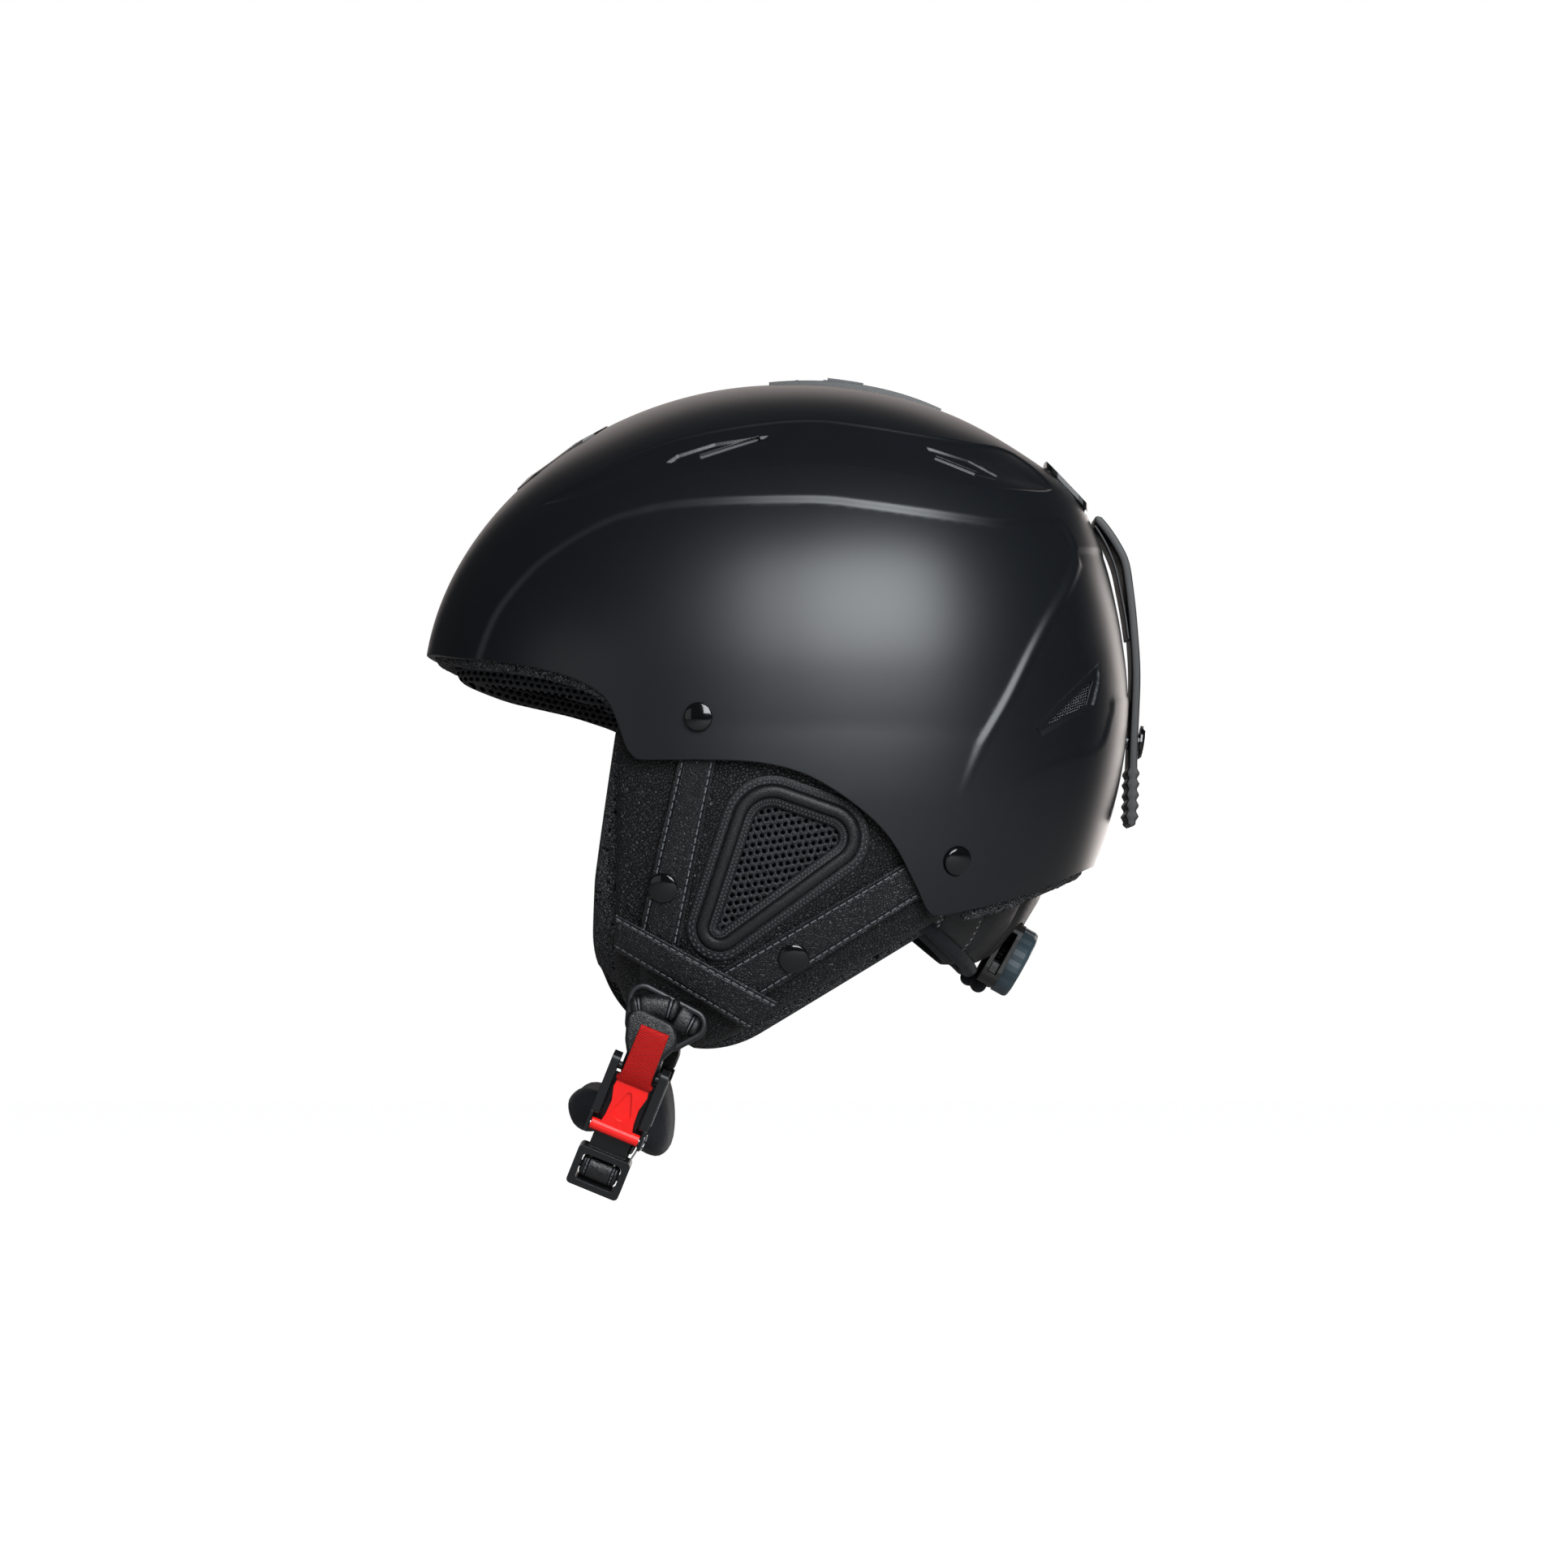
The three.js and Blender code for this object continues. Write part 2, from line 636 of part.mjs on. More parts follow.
const rivetSeatCut = (grow) => turned([
  [0, -shellWall * 2], [rivetShankRadius + grow, -shellWall * 2], [rivetShankRadius + grow, -rivetSeat],
  [rivetRadius + grow, -rivetSeat], [rivetRadius + grow, rivetDome * 2], [0, rivetDome * 2],
], smallSteps);

function buildShell() {
  const body = headForm(flatDepth(0)).subtract(headForm(flatDepth(shellWall))).intersect(throughBoth(rimOutline));
  const creases = [
    recess(throughBoth(sideOutline(sidePanelShares)), faded(sidePanelDepth)),
    recess(throughBoth(sideOutline(rearZoneShares)), faded(rearZoneDepth)),
    recess(throughBoth(sideOutline(channelShares)), channelDepthAt),
    recess(throughBoth(sideOutline(frontScoopShares)), flatDepth(scoopDepth)),
    recess(throughBoth(sideOutline(rearScoopShares)), flatDepth(scoopDepth)),
    recess(throughBoth(sideOutline(rearRecessShares)), flatDepth(scoopDepth)),
  ];
  const openings = [
    throughBoth(sideOutline(frontSlotShares)),
    throughBoth(sideOutline(rearSlotShares)),
    throughBoth(sideOutline(rearOpeningShares)),
    throughTop(trimOutline(-trimBorder)),
    throughTop(grilleOutline(clearance)),
    recess(throughTop(trimOutline(clearance)), flatDepth(trimSunk + clearance)),
  ];
  const vent = [
    arcBlock(railFrom - clearance, railTo + clearance, ventRailWidth + 2 * clearance,
      sliderFloor - clearance, ventArcRadius + overrun),
    arcBlock(stemFrom - clearance, stemTo + sliderTravel + clearance, stemWidth + 2 * clearance,
      ventArcRadius - overrun, ventArcRadius + overrun, 3),
    arcBlock(crownWindowFrom, crownWindowTo, crownWindowWidth, ventArcRadius - overrun, ventArcRadius + overrun, 2),
  ];
  const seats = rivetPlaces.flatMap(([, shares]) => sides.map(([, side]) =>
    solidOf(forSide(setOn(rivetSeatCut(clearance), surfaceAt(shares), 0), side))));
  return cutBy(body, ...creases, ...openings, ...vent, ...seats, gogglesStudHole());
}

// Goggle strap: its outer face stands off the shell by shares of its thickness, at tilts from straight up
const gogglesPlaces = [
  [61.5, 1.2], [64, 1.7], [67, 2.15], [70, 2.35], [74, 1.95], [80, 1.45], [88, 1.24], [98, 1.24],
  [103, 1.6], [109, 2.4], [111.5, 2.8],
];
const gogglesCurve = new THREE.CatmullRomCurve3(gogglesPlaces.map(([tilt, standShare]) =>
  midPoint(tilt, -(standShare - 0.5) * gogglesStrapThickness)));
const gogglesSteps = 16;
const gogglesPivot = gogglesCurve.getPoint(0);
const gogglesSnapPoint = midPoint(gogglesSnapTilt, 0);
const gogglesSnapStand = 1.24 * gogglesStrapThickness;
const tiltedOn = (geometry) => geometry.rotateY(gogglesSnapTilt * degrees)
  .translate(gogglesSnapPoint.x, gogglesSnapPoint.y, gogglesSnapPoint.z);

function gogglesStudHole() {
  const radius = gogglesPostRadius + clearance;
  return solidOf(tiltedOn(turned([[0, -shellWall * 2], [radius, -shellWall * 2], [radius, shellWall], [0, shellWall]], smallSteps)));
}

function buildGogglesStrap() {
  const spots = Array.from({ length: gogglesSteps + 1 }, (_, i) => i / gogglesSteps);
  const edge = (sign) => spots.map((u) => {
    const middle = gogglesCurve.getPoint(u);
    const way = gogglesCurve.getTangent(u);
    return new THREE.Vector2(middle.x - sign * way.z * gogglesStrapThickness / 2,
      middle.z + sign * way.x * gogglesStrapThickness / 2);
  });
  const band = sidePrism([...edge(1), ...edge(-1).reverse()], -gogglesStrapWidth / 2, gogglesStrapWidth / 2);
  const roundEnd = (at, inset) => solidOf(new THREE.CylinderGeometry(
    gogglesStrapThickness / 2, gogglesStrapThickness / 2, gogglesStrapWidth - inset, roundSteps)
    .translate(at.x, at.y, at.z));
  const teeth = Array.from({ length: gripTeeth }, (_, i) => {
    const u = 1 - ((i + 0.6) * gripPitch) / gogglesCurve.getLength();
    const middle = gogglesCurve.getPoint(u);
    const way = gogglesCurve.getTangent(u);
    const depth = gogglesStrapThickness + 2 * gripToothDepth;
    return solidOf(slab(depth, gripToothWidth, gripToothHeight)
      .rotateY(-Math.atan2(way.x, -way.z)).translate(middle.x, middle.y, middle.z));
  });
  const radius = gogglesShankRadius + clearance;
  const hole = solidOf(tiltedOn(turned([[0, 0], [radius, 0], [radius, shellWall * 4], [0, shellWall * 4]])));
  return joined(band, roundEnd(gogglesPivot, 0), roundEnd(gogglesCurve.getPoint(1), 0), ...teeth).subtract(hole);
}

function buildGogglesSnapCap() {
  const low = gogglesSnapStand - gogglesStrapThickness;
  const face = gogglesSnapStand + 3 * clearance;
  const top = face + gogglesSnapDome;
  const socketTop = face - clearance;
  return tiltedOn(turned([
    [gogglesSocketRadius, low], [gogglesShankRadius, low], [gogglesShankRadius, face],
    [gogglesSnapRadius, face], [gogglesSnapRadius, face + gogglesSnapEdge],
    [gogglesSnapRadius * 0.86, face + gogglesSnapDome * 0.7], [gogglesSnapRadius * 0.5, face + gogglesSnapDome * 0.95],
    [0, top], [0, socketTop], [gogglesSocketRadius, socketTop], [gogglesSocketRadius, low],
  ]));
}

function buildGogglesSnapStud() {
  const low = -shellWall;
  const high = gogglesSnapStand - clearance;
  const neck = gogglesPostRadius - clearance;
  return tiltedOn(turned([
    [0, low], [gogglesPostRadius, low], [gogglesPostRadius, 0], [neck, clearance],
    [neck, high / 2], [gogglesPostRadius, (high * 3) / 4], [neck, high], [0, high],
  ], smallSteps));
}

// Layers below the shell
const linerTop = shellWall + clearance;
const linerBottom = linerTop + linerThickness;
const comfortTop = linerBottom + clearance;
const comfortBottom = comfortTop + comfortThickness;
const linerForm = (depth) => headForm(flatDepth(depth), linerColumns, linerRows);
const layer = (top, bottom) => linerForm(top).subtract(linerForm(bottom));
const swollen = (outline, margin) => {
  const centre = outline.reduce((sum, point) => sum.add(point), new THREE.Vector2()).divideScalar(outline.length);
  return outline.map((point) => point.clone().add(point.clone().sub(centre).setLength(margin)));
};

// Ear pad outline: a belt round four circles, in shares of the shell's reach and the crown's height
const earPadShares = [[-0.365, -0.19, 0.084], [-0.24, -0.905, 0.245], [0.37, -0.7, 0.1], [0.07, -0.44, 0.25]];
const beltCircles = (shares) => shares.map(([along, up, radius]) => ({
  x: along * (along < 0 ? shellFront : shellRear), y: up * crownHeight, r: radius * crownHeight }));
const earPadCircles = beltCircles(earPadShares);
const earZone = (grow) => throughBoth(beltOutline(earPadCircles, grow));

const channelMargin = 1.6;
const meshMargin = 3;
const grilleFloor = 60;
const grilleCut = (grow) => topPrism(grilleOutline(grow), grilleFloor, crownHeight + overrun);

function buildLiner() {
  const body = layer(linerTop, linerBottom).intersect(throughBoth(lowered(rimOutline, -edgingRise)));
  const keeperRoom = arcBlock(
    sliderShift - keeperLength / 2 - clearance, sliderShift + keeperLength / 2 + sliderTravel + clearance,
    keeperWidth + 2 * clearance, ventArcRadius - shellWall - keeperSunk - keeperThickness - clearance,
    ventArcRadius + overrun, 3);
  return cutBy(body,
    earZone(earLiningShow + 2 * clearance),
    throughBoth(swollen(sideOutline(frontSlotShares), channelMargin)),
    throughBoth(swollen(sideOutline(rearSlotShares), channelMargin)),
    throughBoth(swollen(sideOutline(rearOpeningShares), meshMargin + clearance)),
    throughTop(trimOutline(-trimBorder)),
    grilleCut(clearance),
    keeperRoom,
    arcBlock(crownWindowFrom, crownWindowTo, crownWindowWidth, ventArcRadius - overrun, ventArcRadius + overrun, 2));
}

function buildEdging(isFront) {
  const low = throughBoth(lowered(rimOutline, edgingShow));
  const high = throughBoth(lowered(rimOutline, clearance - edgingRise));
  const ends = isFront ? [[-1.25, -1], [-0.3, -1], [-0.3, 0.6], [-1.25, 0.6]] : [[0.3, -1], [1.25, -1], [1.25, 0.6], [0.3, 0.6]];
  const band = layer(linerTop, linerTop + edgingThickness).intersect(low).subtract(high);
  return band.intersect(throughBoth(sideOutline(ends))).subtract(earZone(earLiningShow + clearance));
}

const browPadShares = [[-1.25, 0.12], [-0.56, 0.01], [-0.47, 0.01], [-0.44, 0.34], [-1.25, 0.4]];
const sidePadShares = [[-0.4, 0.02], [0.4, 0.02], [0.36, 0.36], [-0.36, 0.36]];
const napePadShares = [[0.47, -0.12], [0.56, -0.48], [1.25, -0.4], [1.25, 0.22], [0.44, 0.28]];
const crownPadLength = 112;
const crownPadWidth = 84;
const crownPadCorner = 32;
const comfortLayer = () => layer(comfortTop, comfortBottom);
const buildBrowPad = () => comfortLayer().intersect(throughBoth(sideOutline(browPadShares)));
const buildNapePad = () => comfortLayer().intersect(throughBoth(sideOutline(napePadShares)));
const buildSidePad = (side) => comfortLayer().intersect(throughSide(sideOutline(sidePadShares), side));
const buildCrownPad = () => comfortLayer().intersect(
  throughTop(plateOutline(crownPadLength, crownPadWidth, crownPadCorner, 6)));

// Vent pieces
function buildRearMesh(side) {
  const sheet = layer(linerTop, linerTop + meshThickness);
  return sheet.intersect(throughSide(swollen(sideOutline(rearOpeningShares), meshMargin), side));
}

function buildFrontTrim() {
  const band = headForm(flatDepth(-trimProud)).subtract(headForm(flatDepth(trimSunk)));
  const frame = throughTop(trimOutline(0)).subtract(throughTop(trimOutline(-trimBorder)));
  const pitch = (trimWidth - 2 * trimBorder) / (trimBars + 1);
  const bars = Array.from({ length: trimBars }, (_, i) => solidOf(
    slab(trimLength - trimBorder, trimBarWidth, 2 * crownHeight)
      .translate(trimCentre, (i + 1 - (trimBars + 1) / 2) * pitch, 0)));
  return band.intersect(joined(frame, ...bars).intersect(throughTop(trimOutline(0))));
}

function buildGrille() {
  const band = headForm(flatDepth(grilleSunk)).subtract(headForm(flatDepth(grilleSunk + grilleDepth)));
  const inner = grilleLength - 2 * grilleBorder;
  const pitch = (grilleWidth - 2 * grilleBorder) / grilleGaps;
  const gaps = Array.from({ length: grilleGaps }, (_, i) => topPrism(
    shifted(plateOutline(inner, pitch - grilleBarWidth, clearance, 1), grilleCentre)
      .map((point) => new THREE.Vector2(point.x, point.y + (i + 0.5 - grilleGaps / 2) * pitch)),
    0, crownHeight + overrun));
  return cutBy(band.intersect(grilleCut(0)), ...gaps);
}

function buildCover() {
  const outline = shifted(plateOutline(coverLength, coverWidth, grilleCorner), coverCentre);
  const cap = headForm(flatDepth(-coverLift - coverThickness)).subtract(headForm(flatDepth(-coverLift)));
  const sheet = cap.intersect(topPrism(outline, grilleFloor, crownHeight + overrun));
  const reach = headForm(flatDepth(-coverLift - coverThickness / 2)).subtract(headForm(flatDepth(grilleSunk - clearance)));
  const posts = sides.map(([, side]) => solidOf(new THREE.CylinderGeometry(
    coverPostRadius, coverPostRadius, 2 * crownHeight, roundSteps / 2)
    .rotateX(90 * degrees).translate(grilleCentre, side * (grilleWidth / 2 - grilleBorder * 2), 0)));
  const upper = topPrism(outline, grilleFloor, crownHeight + overrun);
  return joined(sheet, ...posts.map((post) => reach.intersect(post).intersect(upper)));
}

function buildVentRail() {
  const bar = arcBlock(railFrom, railTo, ventRailWidth, sliderFloor, ventArcRadius + ventRailProud);
  const room = arcBlock(sliderFrom - clearance, sliderTo + sliderTravel + clearance, sliderWidth + 2 * clearance,
    ventArcRadius - overrun, ventArcRadius + overrun);
  return bar.subtract(room);
}

function buildVentSlider() {
  const top = ventArcRadius + sliderProud;
  const body = arcBlock(sliderFrom, sliderTo, sliderWidth, sliderFloor, top);
  const fin = (length, width, height) => arcBlock(
    sliderShift - length / 2, sliderShift + length / 2, width, top - clearance, top + height, 4);
  const finSteps = [1, 0.86, 0.7].map((share, i) =>
    fin(sliderFinLength * share, sliderFinWidth * share, (sliderFinHeight * (i + 1)) / 3));
  const ribs = [-1, 1].flatMap((end) => [0, 1, 2].map((i) => {
    const middle = sliderShift + end * (sliderLength / 2 - sliderRibPitch * (i + 0.8));
    return arcBlock(middle - sliderRibWidth / 2, middle + sliderRibWidth / 2, sliderWidth * 0.7,
      top - clearance, top + sliderRibHeight, 1);
  }));
  return joined(body, ...finSteps, ...ribs);
}

function buildVentKeeper() {
  const plateTop = ventArcRadius - shellWall - keeperSunk;
  const sheet = arcBlock(sliderShift - keeperLength / 2, sliderShift + keeperLength / 2, keeperWidth,
    plateTop - keeperThickness, plateTop, 4);
  const stem = arcBlock(stemFrom, stemTo, stemWidth, plateTop - keeperThickness / 2, sliderFloor - clearance, 2);
  return sheet.add(stem);
}

// Rivet: a domed head in its seat, with a shank through the shell
function buildRivet(shares, side) {
  const low = -shellWall;
  const seat = -rivetSeat + clearance;
  const rivet = turned([
    [0, low], [rivetShankRadius, low], [rivetShankRadius, seat], [rivetRadius, seat],
    [rivetRadius, rivetDome * 0.3], [rivetRadius * 0.7, rivetDome * 0.85], [0, rivetDome],
  ], smallSteps);
  return forSide(setOn(rivet, surfaceAt(shares), 0), side);
}

// Ear pads: a leather pad over a fleece lining, with a ring and a mesh over the ear
const strapDepth = shellWall + 3 * clearance;
const earLeatherTop = strapDepth + strapThickness + clearance;
const crossBandTop = strapDepth - clearance - crossBandThickness;
const earRingShares = [[-0.158, -0.788, 0.05], [0.131, -0.508, 0.079], [-0.018, -0.475, 0.104]];
const earRingCircles = beltCircles(earRingShares);
const earPadSteps = 20;
const earRingSteps = 18;

function buildEarLeather(side) {
  const pad = solidOf(puffedPad(beltOutline(earPadCircles, 0, earPadSteps), earLeatherTop, 0, earLeatherThickness));
  const hole = throughLeft(beltOutline(earRingCircles, clearance, earRingSteps));
  return forSide(geometryOf(pad.subtract(hole)), side);
}

function buildEarLining(side) {
  const pad = solidOf(puffedPad(
    beltOutline(earPadCircles, earLiningShow, earPadSteps), earLeatherTop, earLeatherThickness + earPadSpace, earLiningThickness));
  const hole = throughLeft(beltOutline(earRingCircles, -earRingWidth, earRingSteps));
  return forSide(geometryOf(pad.subtract(hole)), side);
}

function buildEarRing(side) {
  const depth = earLeatherTop - earRingProud + earRingHeight / 2;
  const stations = beltOutline(earRingCircles, -earRingWidth / 2, earRingSteps).map((point, i) => {
    const turn = (i / earRingSteps) * 360 * degrees;
    return {
      centre: new THREE.Vector3(point.x, -sideReach(point.x, point.y, depth), point.y),
      axisA: new THREE.Vector3(Math.cos(turn), 0, Math.sin(turn)),
      axisB: new THREE.Vector3(0, -1, 0),
    };
  });
  return forSide(sweptRing(stations, ovalSection(earRingWidth / 2, earRingHeight / 2, 8)), side);
}

function buildEarMesh(side) {
  const outline = beltOutline(earRingCircles, -earRingWidth - clearance, earRingSteps);
  return forSide(puffedPad(outline, earLeatherTop, earMeshSunk, earMeshThickness, sheetFaceShares), side);
}

const frontStrapShares = [[-0.252, -0.2], [-0.152, -0.2], [-0.268, -0.86], [-0.385, -0.84]];
const rearStrapShares = [[0.378, -0.562], [0.42, -0.67], [-0.079, -1.03], [-0.168, -0.926]];
const crossBandShares = [[-0.438, -0.742], [-0.443, -0.855], [-0.086, -1.107], [0.001, -1.018]];
const frontSnapShares = [-0.308, -0.664];
const rearSnapShares = [0.04, -0.882];

function buildStrap(cornerShares, snapShares, side) {
  const strip = solidOf(surfaceStrip(sideOutline(cornerShares), strapDepth, strapThickness));
  const radius = padSnapShank + clearance;
  const hole = turned([[0, -strapThickness * 2], [radius, -strapThickness * 2], [radius, strapThickness], [0, strapThickness]], smallSteps);
  const point = surfaceAt(snapShares, strapDepth);
  return forSide(geometryOf(strip.subtract(solidOf(setOn(hole, point, strapDepth)))), side);
}

const buildCrossBand = (side) => forSide(
  surfaceStrip(sideOutline(crossBandShares), crossBandTop, crossBandThickness), side);

function buildPadSnap(shares, side) {
  const snap = turned([
    [0, -strapThickness], [padSnapShank, -strapThickness], [padSnapShank, clearance], [padSnapRadius, clearance],
    [padSnapRadius, padSnapDome * 0.4], [padSnapRadius * 0.7, padSnapDome * 0.88], [0, padSnapDome],
  ], smallSteps);
  return forSide(setOn(snap, surfaceAt(shares, strapDepth), strapDepth), side);
}

// Yoke rings and the leather hangers that hold them at the foot of each ear pad
const ringStations = (from, to, steps, radius = yokeRingRadius) => Array.from({ length: steps }, (_, i) => {
  const turn = (from + ((to - from) * i) / (to - from === 360 ? steps : steps - 1)) * degrees;
  const out = new THREE.Vector3(Math.cos(turn), 0, Math.sin(turn));
  return { centre: out.clone().multiplyScalar(radius), axisA: out, axisB: new THREE.Vector3(0, 1, 0) };
});
const ringSteps = 24;
const yokeRing = (grow = 0) => sweptRing(ringStations(0, 360, ringSteps),
  ovalSection(yokeRingSection + grow, yokeRingSection + grow, 8));
const ringWrap = (middle, halfTurn, radius, steps = 4) => solidOf(sweptBar(
  ringStations(middle - halfTurn, middle + halfTurn, steps), ovalSection(radius, radius, 8)));
const atYoke = (geometry) => geometry.translate(-yokeForward, -yokeHalfSpan, -yokeDrop);

const hangerTurns = [[124, 32], [42, 30]];
const hangerRootShares = [[-0.37, -0.9], [-0.235, -0.94], [-0.222, -1.0], [-0.37, -0.985]];

function buildYokeHanger(side) {
  const wraps = hangerTurns.map(([middle, halfTurn]) => solidOf(atYoke(geometryOf(
    ringWrap(middle, halfTurn, yokeRingSection + clearance + hangerPuff)))));
  const root = solidOf(surfaceStrip(sideOutline(hangerRootShares), strapDepth, strapThickness, 4, 3));
  const ringRoom = solidOf(atYoke(yokeRing(clearance)));
  const bandRoom = solidOf(surfaceStrip(swollen(sideOutline(crossBandShares), clearance),
    crossBandTop - overrun, overrun + crossBandThickness + clearance));
  const padRoom = solidOf(surfaceStrip(swollen(sideOutline(hangerRootShares), overrun / 2), earLeatherTop - clearance, overrun));
  return forSide(geometryOf(cutBy(joined(root, ...wraps), ringRoom, bandRoom, padRoom)), side);
}

// Neck pad: a padded band round the nape, with room for the fit mechanism
const neckPadShares = [[0.34, -0.827], [0.4, -0.711], [0.655, -0.7], [0.72, -0.69], [0.72, -0.83], [0.58, -1.03], [0.44, -0.92]];
const dialSeat = new THREE.Group();
dialSeat.position.set(dialSeatBack, 0, -dialSeatDrop);
dialSeat.rotation.y = dialTurn * degrees;
dialSeat.updateMatrix();
const atDial = (geometry) => geometry.clone().applyMatrix4(dialSeat.matrix);
const chamberDepth = pinionWidth + 2 * clearance;
const housingDepth = chamberDepth + 2 * housingWall;
const housingMiddle = -clearance - housingDepth / 2;

function buildNeckPad() {
  const band = layer(neckPadSink, neckPadSink + neckPadThickness);
  const room = plate(housingHeight + 2 * clearance, housingWidth + 2 * clearance, housingDepth + 2 * clearance + overrun,
    housingCorner).translate(0, 0, housingMiddle + overrun / 2);
  return cutBy(band.intersect(throughBoth(sideOutline(neckPadShares))),
    earZone(earLiningShow + clearance), solidOf(atDial(room)));
}

// Fit mechanism, in the dial's own frame: Z along its axis, Y across the head, X downwards
const pitchRadius = (toothModule * pinionTeeth) / 2;
const toothPitch = Math.PI * toothModule;
const addendum = 0.8 * toothModule;
const dedendum = 1.1 * toothModule;
const toothSlopeShare = 0.36;
const chamberHalf = pitchRadius + dedendum + rackBack + clearance;

function buildDialHousing() {
  const body = solidOf(plate(housingHeight, housingWidth, housingDepth, housingCorner).translate(0, 0, housingMiddle));
  const chamber = solidOf(slab(2 * chamberHalf, housingWidth + overrun, chamberDepth).translate(0, 0, housingMiddle));
  const shaftHole = solidOf(new THREE.CylinderGeometry(shaftRadius + clearance, shaftRadius + clearance, housingDepth, roundSteps)
    .rotateX(90 * degrees).translate(0, 0, housingMiddle + housingDepth / 2));
  return geometryOf(cutBy(body, chamber, shaftHole));
}

function buildFitDial() {
  const outline = Array.from({ length: dialLobes * 4 }, (_, i) => {
    const turn = (i / (dialLobes * 4)) * 360 * degrees;
    const radius = dialRadius - dialLobeDepth * (0.5 - 0.5 * Math.cos(turn * dialLobes));
    return new THREE.Vector2(radius * Math.cos(turn), radius * Math.sin(turn));
  });
  const bevel = { depth: dialThickness - dialBevel, bevelThickness: dialBevel, bevelSize: dialBevel, bevelOffset: -dialBevel,
    bevelSegments: 2, bevelEnabled: true };
  const knob = solidOf(new THREE.ExtrudeGeometry(new THREE.Shape(outline), bevel).translate(0, 0, 0));
  const back = solidOf(slab(4 * dialRadius, 4 * dialRadius, 4 * dialBevel).translate(0, 0, -2 * dialBevel));
  const boreRadius = shaftRadius + clearance;
  const bore = solidOf(new THREE.CylinderGeometry(boreRadius, boreRadius, 2 * dialBoreDepth, roundSteps).rotateX(90 * degrees));
  return geometryOf(cutBy(knob, back, bore));
}

function buildPinion() {
  const tipHalf = toothPitch / 4 - toothGap - addendum * toothSlopeShare;
  const footHalf = toothPitch / 4 - toothGap + dedendum * toothSlopeShare * 0.6;
  const rootRadius = pitchRadius - dedendum;
  const outline = Array.from({ length: pinionTeeth }, (_, i) => {
    const turn = (i / pinionTeeth) * 360 * degrees;
    const at = (radius, half) => new THREE.Vector2(
      radius * Math.cos(turn) - half * Math.sin(turn), radius * Math.sin(turn) + half * Math.cos(turn));
    return [at(rootRadius, -footHalf), at(pitchRadius + addendum, -tipHalf), at(pitchRadius + addendum, tipHalf),
      at(rootRadius, footHalf)];
  }).flat();
  const wheel = solidOf(new THREE.ExtrudeGeometry(new THREE.Shape(outline), { depth: pinionWidth, bevelEnabled: false })
    .translate(0, 0, housingMiddle - pinionWidth / 2));
  const shaftTop = dialBoreDepth - clearance;
  const shaftLength = shaftTop - housingMiddle;
  const shaft = solidOf(new THREE.CylinderGeometry(shaftRadius, shaftRadius, shaftLength, roundSteps)
    .rotateX(90 * degrees).translate(0, 0, shaftTop - shaftLength / 2));
  return geometryOf(wheel.add(shaft));
}

// Rack along Y: its teeth point to the pinion, from below (1) or from above (-1)
function buildRack(sign) {
  const from = -rackOverlap;
  const to = rackLength - rackOverlap;
  const tipHalf = toothPitch / 4 - toothGap - addendum * toothSlopeShare;
  const footHalf = toothPitch / 4 - toothGap + dedendum * toothSlopeShare;
  const first = Math.ceil((from + footHalf) / toothPitch - 0.5);
  const last = Math.floor((to - footHalf) / toothPitch - 0.5);
  const teeth = Array.from({ length: last - first + 1 }, (_, i) => {
    const middle = (first + i + 0.5) * toothPitch;
    return [[pitchRadius + dedendum, middle - footHalf], [pitchRadius - addendum, middle - tipHalf],
      [pitchRadius - addendum, middle + tipHalf], [pitchRadius + dedendum, middle + footHalf]];
  }).flat();
  const back = pitchRadius + dedendum + rackBack;
  const outline = [[back, from], [pitchRadius + dedendum, from], ...teeth, [pitchRadius + dedendum, to], [back, to]]
    .map(([x, y]) => new THREE.Vector2(sign * x, -sign * y));
  return new THREE.ExtrudeGeometry(new THREE.Shape(outline), { depth: pinionWidth, bevelEnabled: false })
    .translate(0, 0, housingMiddle - pinionWidth / 2);
}

// Chin strap, in a frame hung from the yoke pivots: X across the strap, Z up it, Y across the head
const swing = new THREE.Group();
swing.position.set(-yokeForward, 0, -yokeDrop);
swing.rotation.y = strapTilt * degrees;
const buckle = new THREE.Group();
buckle.position.set(-buckleShift, -yokeHalfSpan, -buckleBarDrop);
buckle.rotation.x = buckleLean * degrees;
buckle.updateMatrix();
const atBuckle = (geometry) => geometry.clone().applyMatrix4(buckle.matrix);
const barAcross = (radius, length, down, stand, steps = 12) => new THREE.CylinderGeometry(radius, radius, length, steps)
  .rotateZ(90 * degrees).translate(0, -stand, -down);
const blockAt = (width, height, thickness, top, stand) =>
  slab(width, thickness, height).translate(0, -stand, -top - height / 2);
const loopRadius = yokeRingSection + loopSlack + loopPuff;

// Lever outline, widest at its lower end, and the tongue-shaped hollow in its face
const leverShares = [[-0.47, 0], [-0.5, 0.14], [-0.4, 0.42], [-0.42, 0.72], [-0.5, 1], [0.5, 1], [0.42, 0.72],
  [0.4, 0.42], [0.5, 0.14], [0.47, 0]];
const leverHollowCircles = [
  { x: 0, y: -leverTop - leverWidth * 0.3, r: leverWidth * 0.08 },
  { x: 0, y: -leverTop - leverWidth * 0.85, r: leverWidth * 0.26 },
];
const pullTabShares = [[1, 0.62], [0.5, 0.62], [0.05, 0.5], [-0.2, 0.15]];

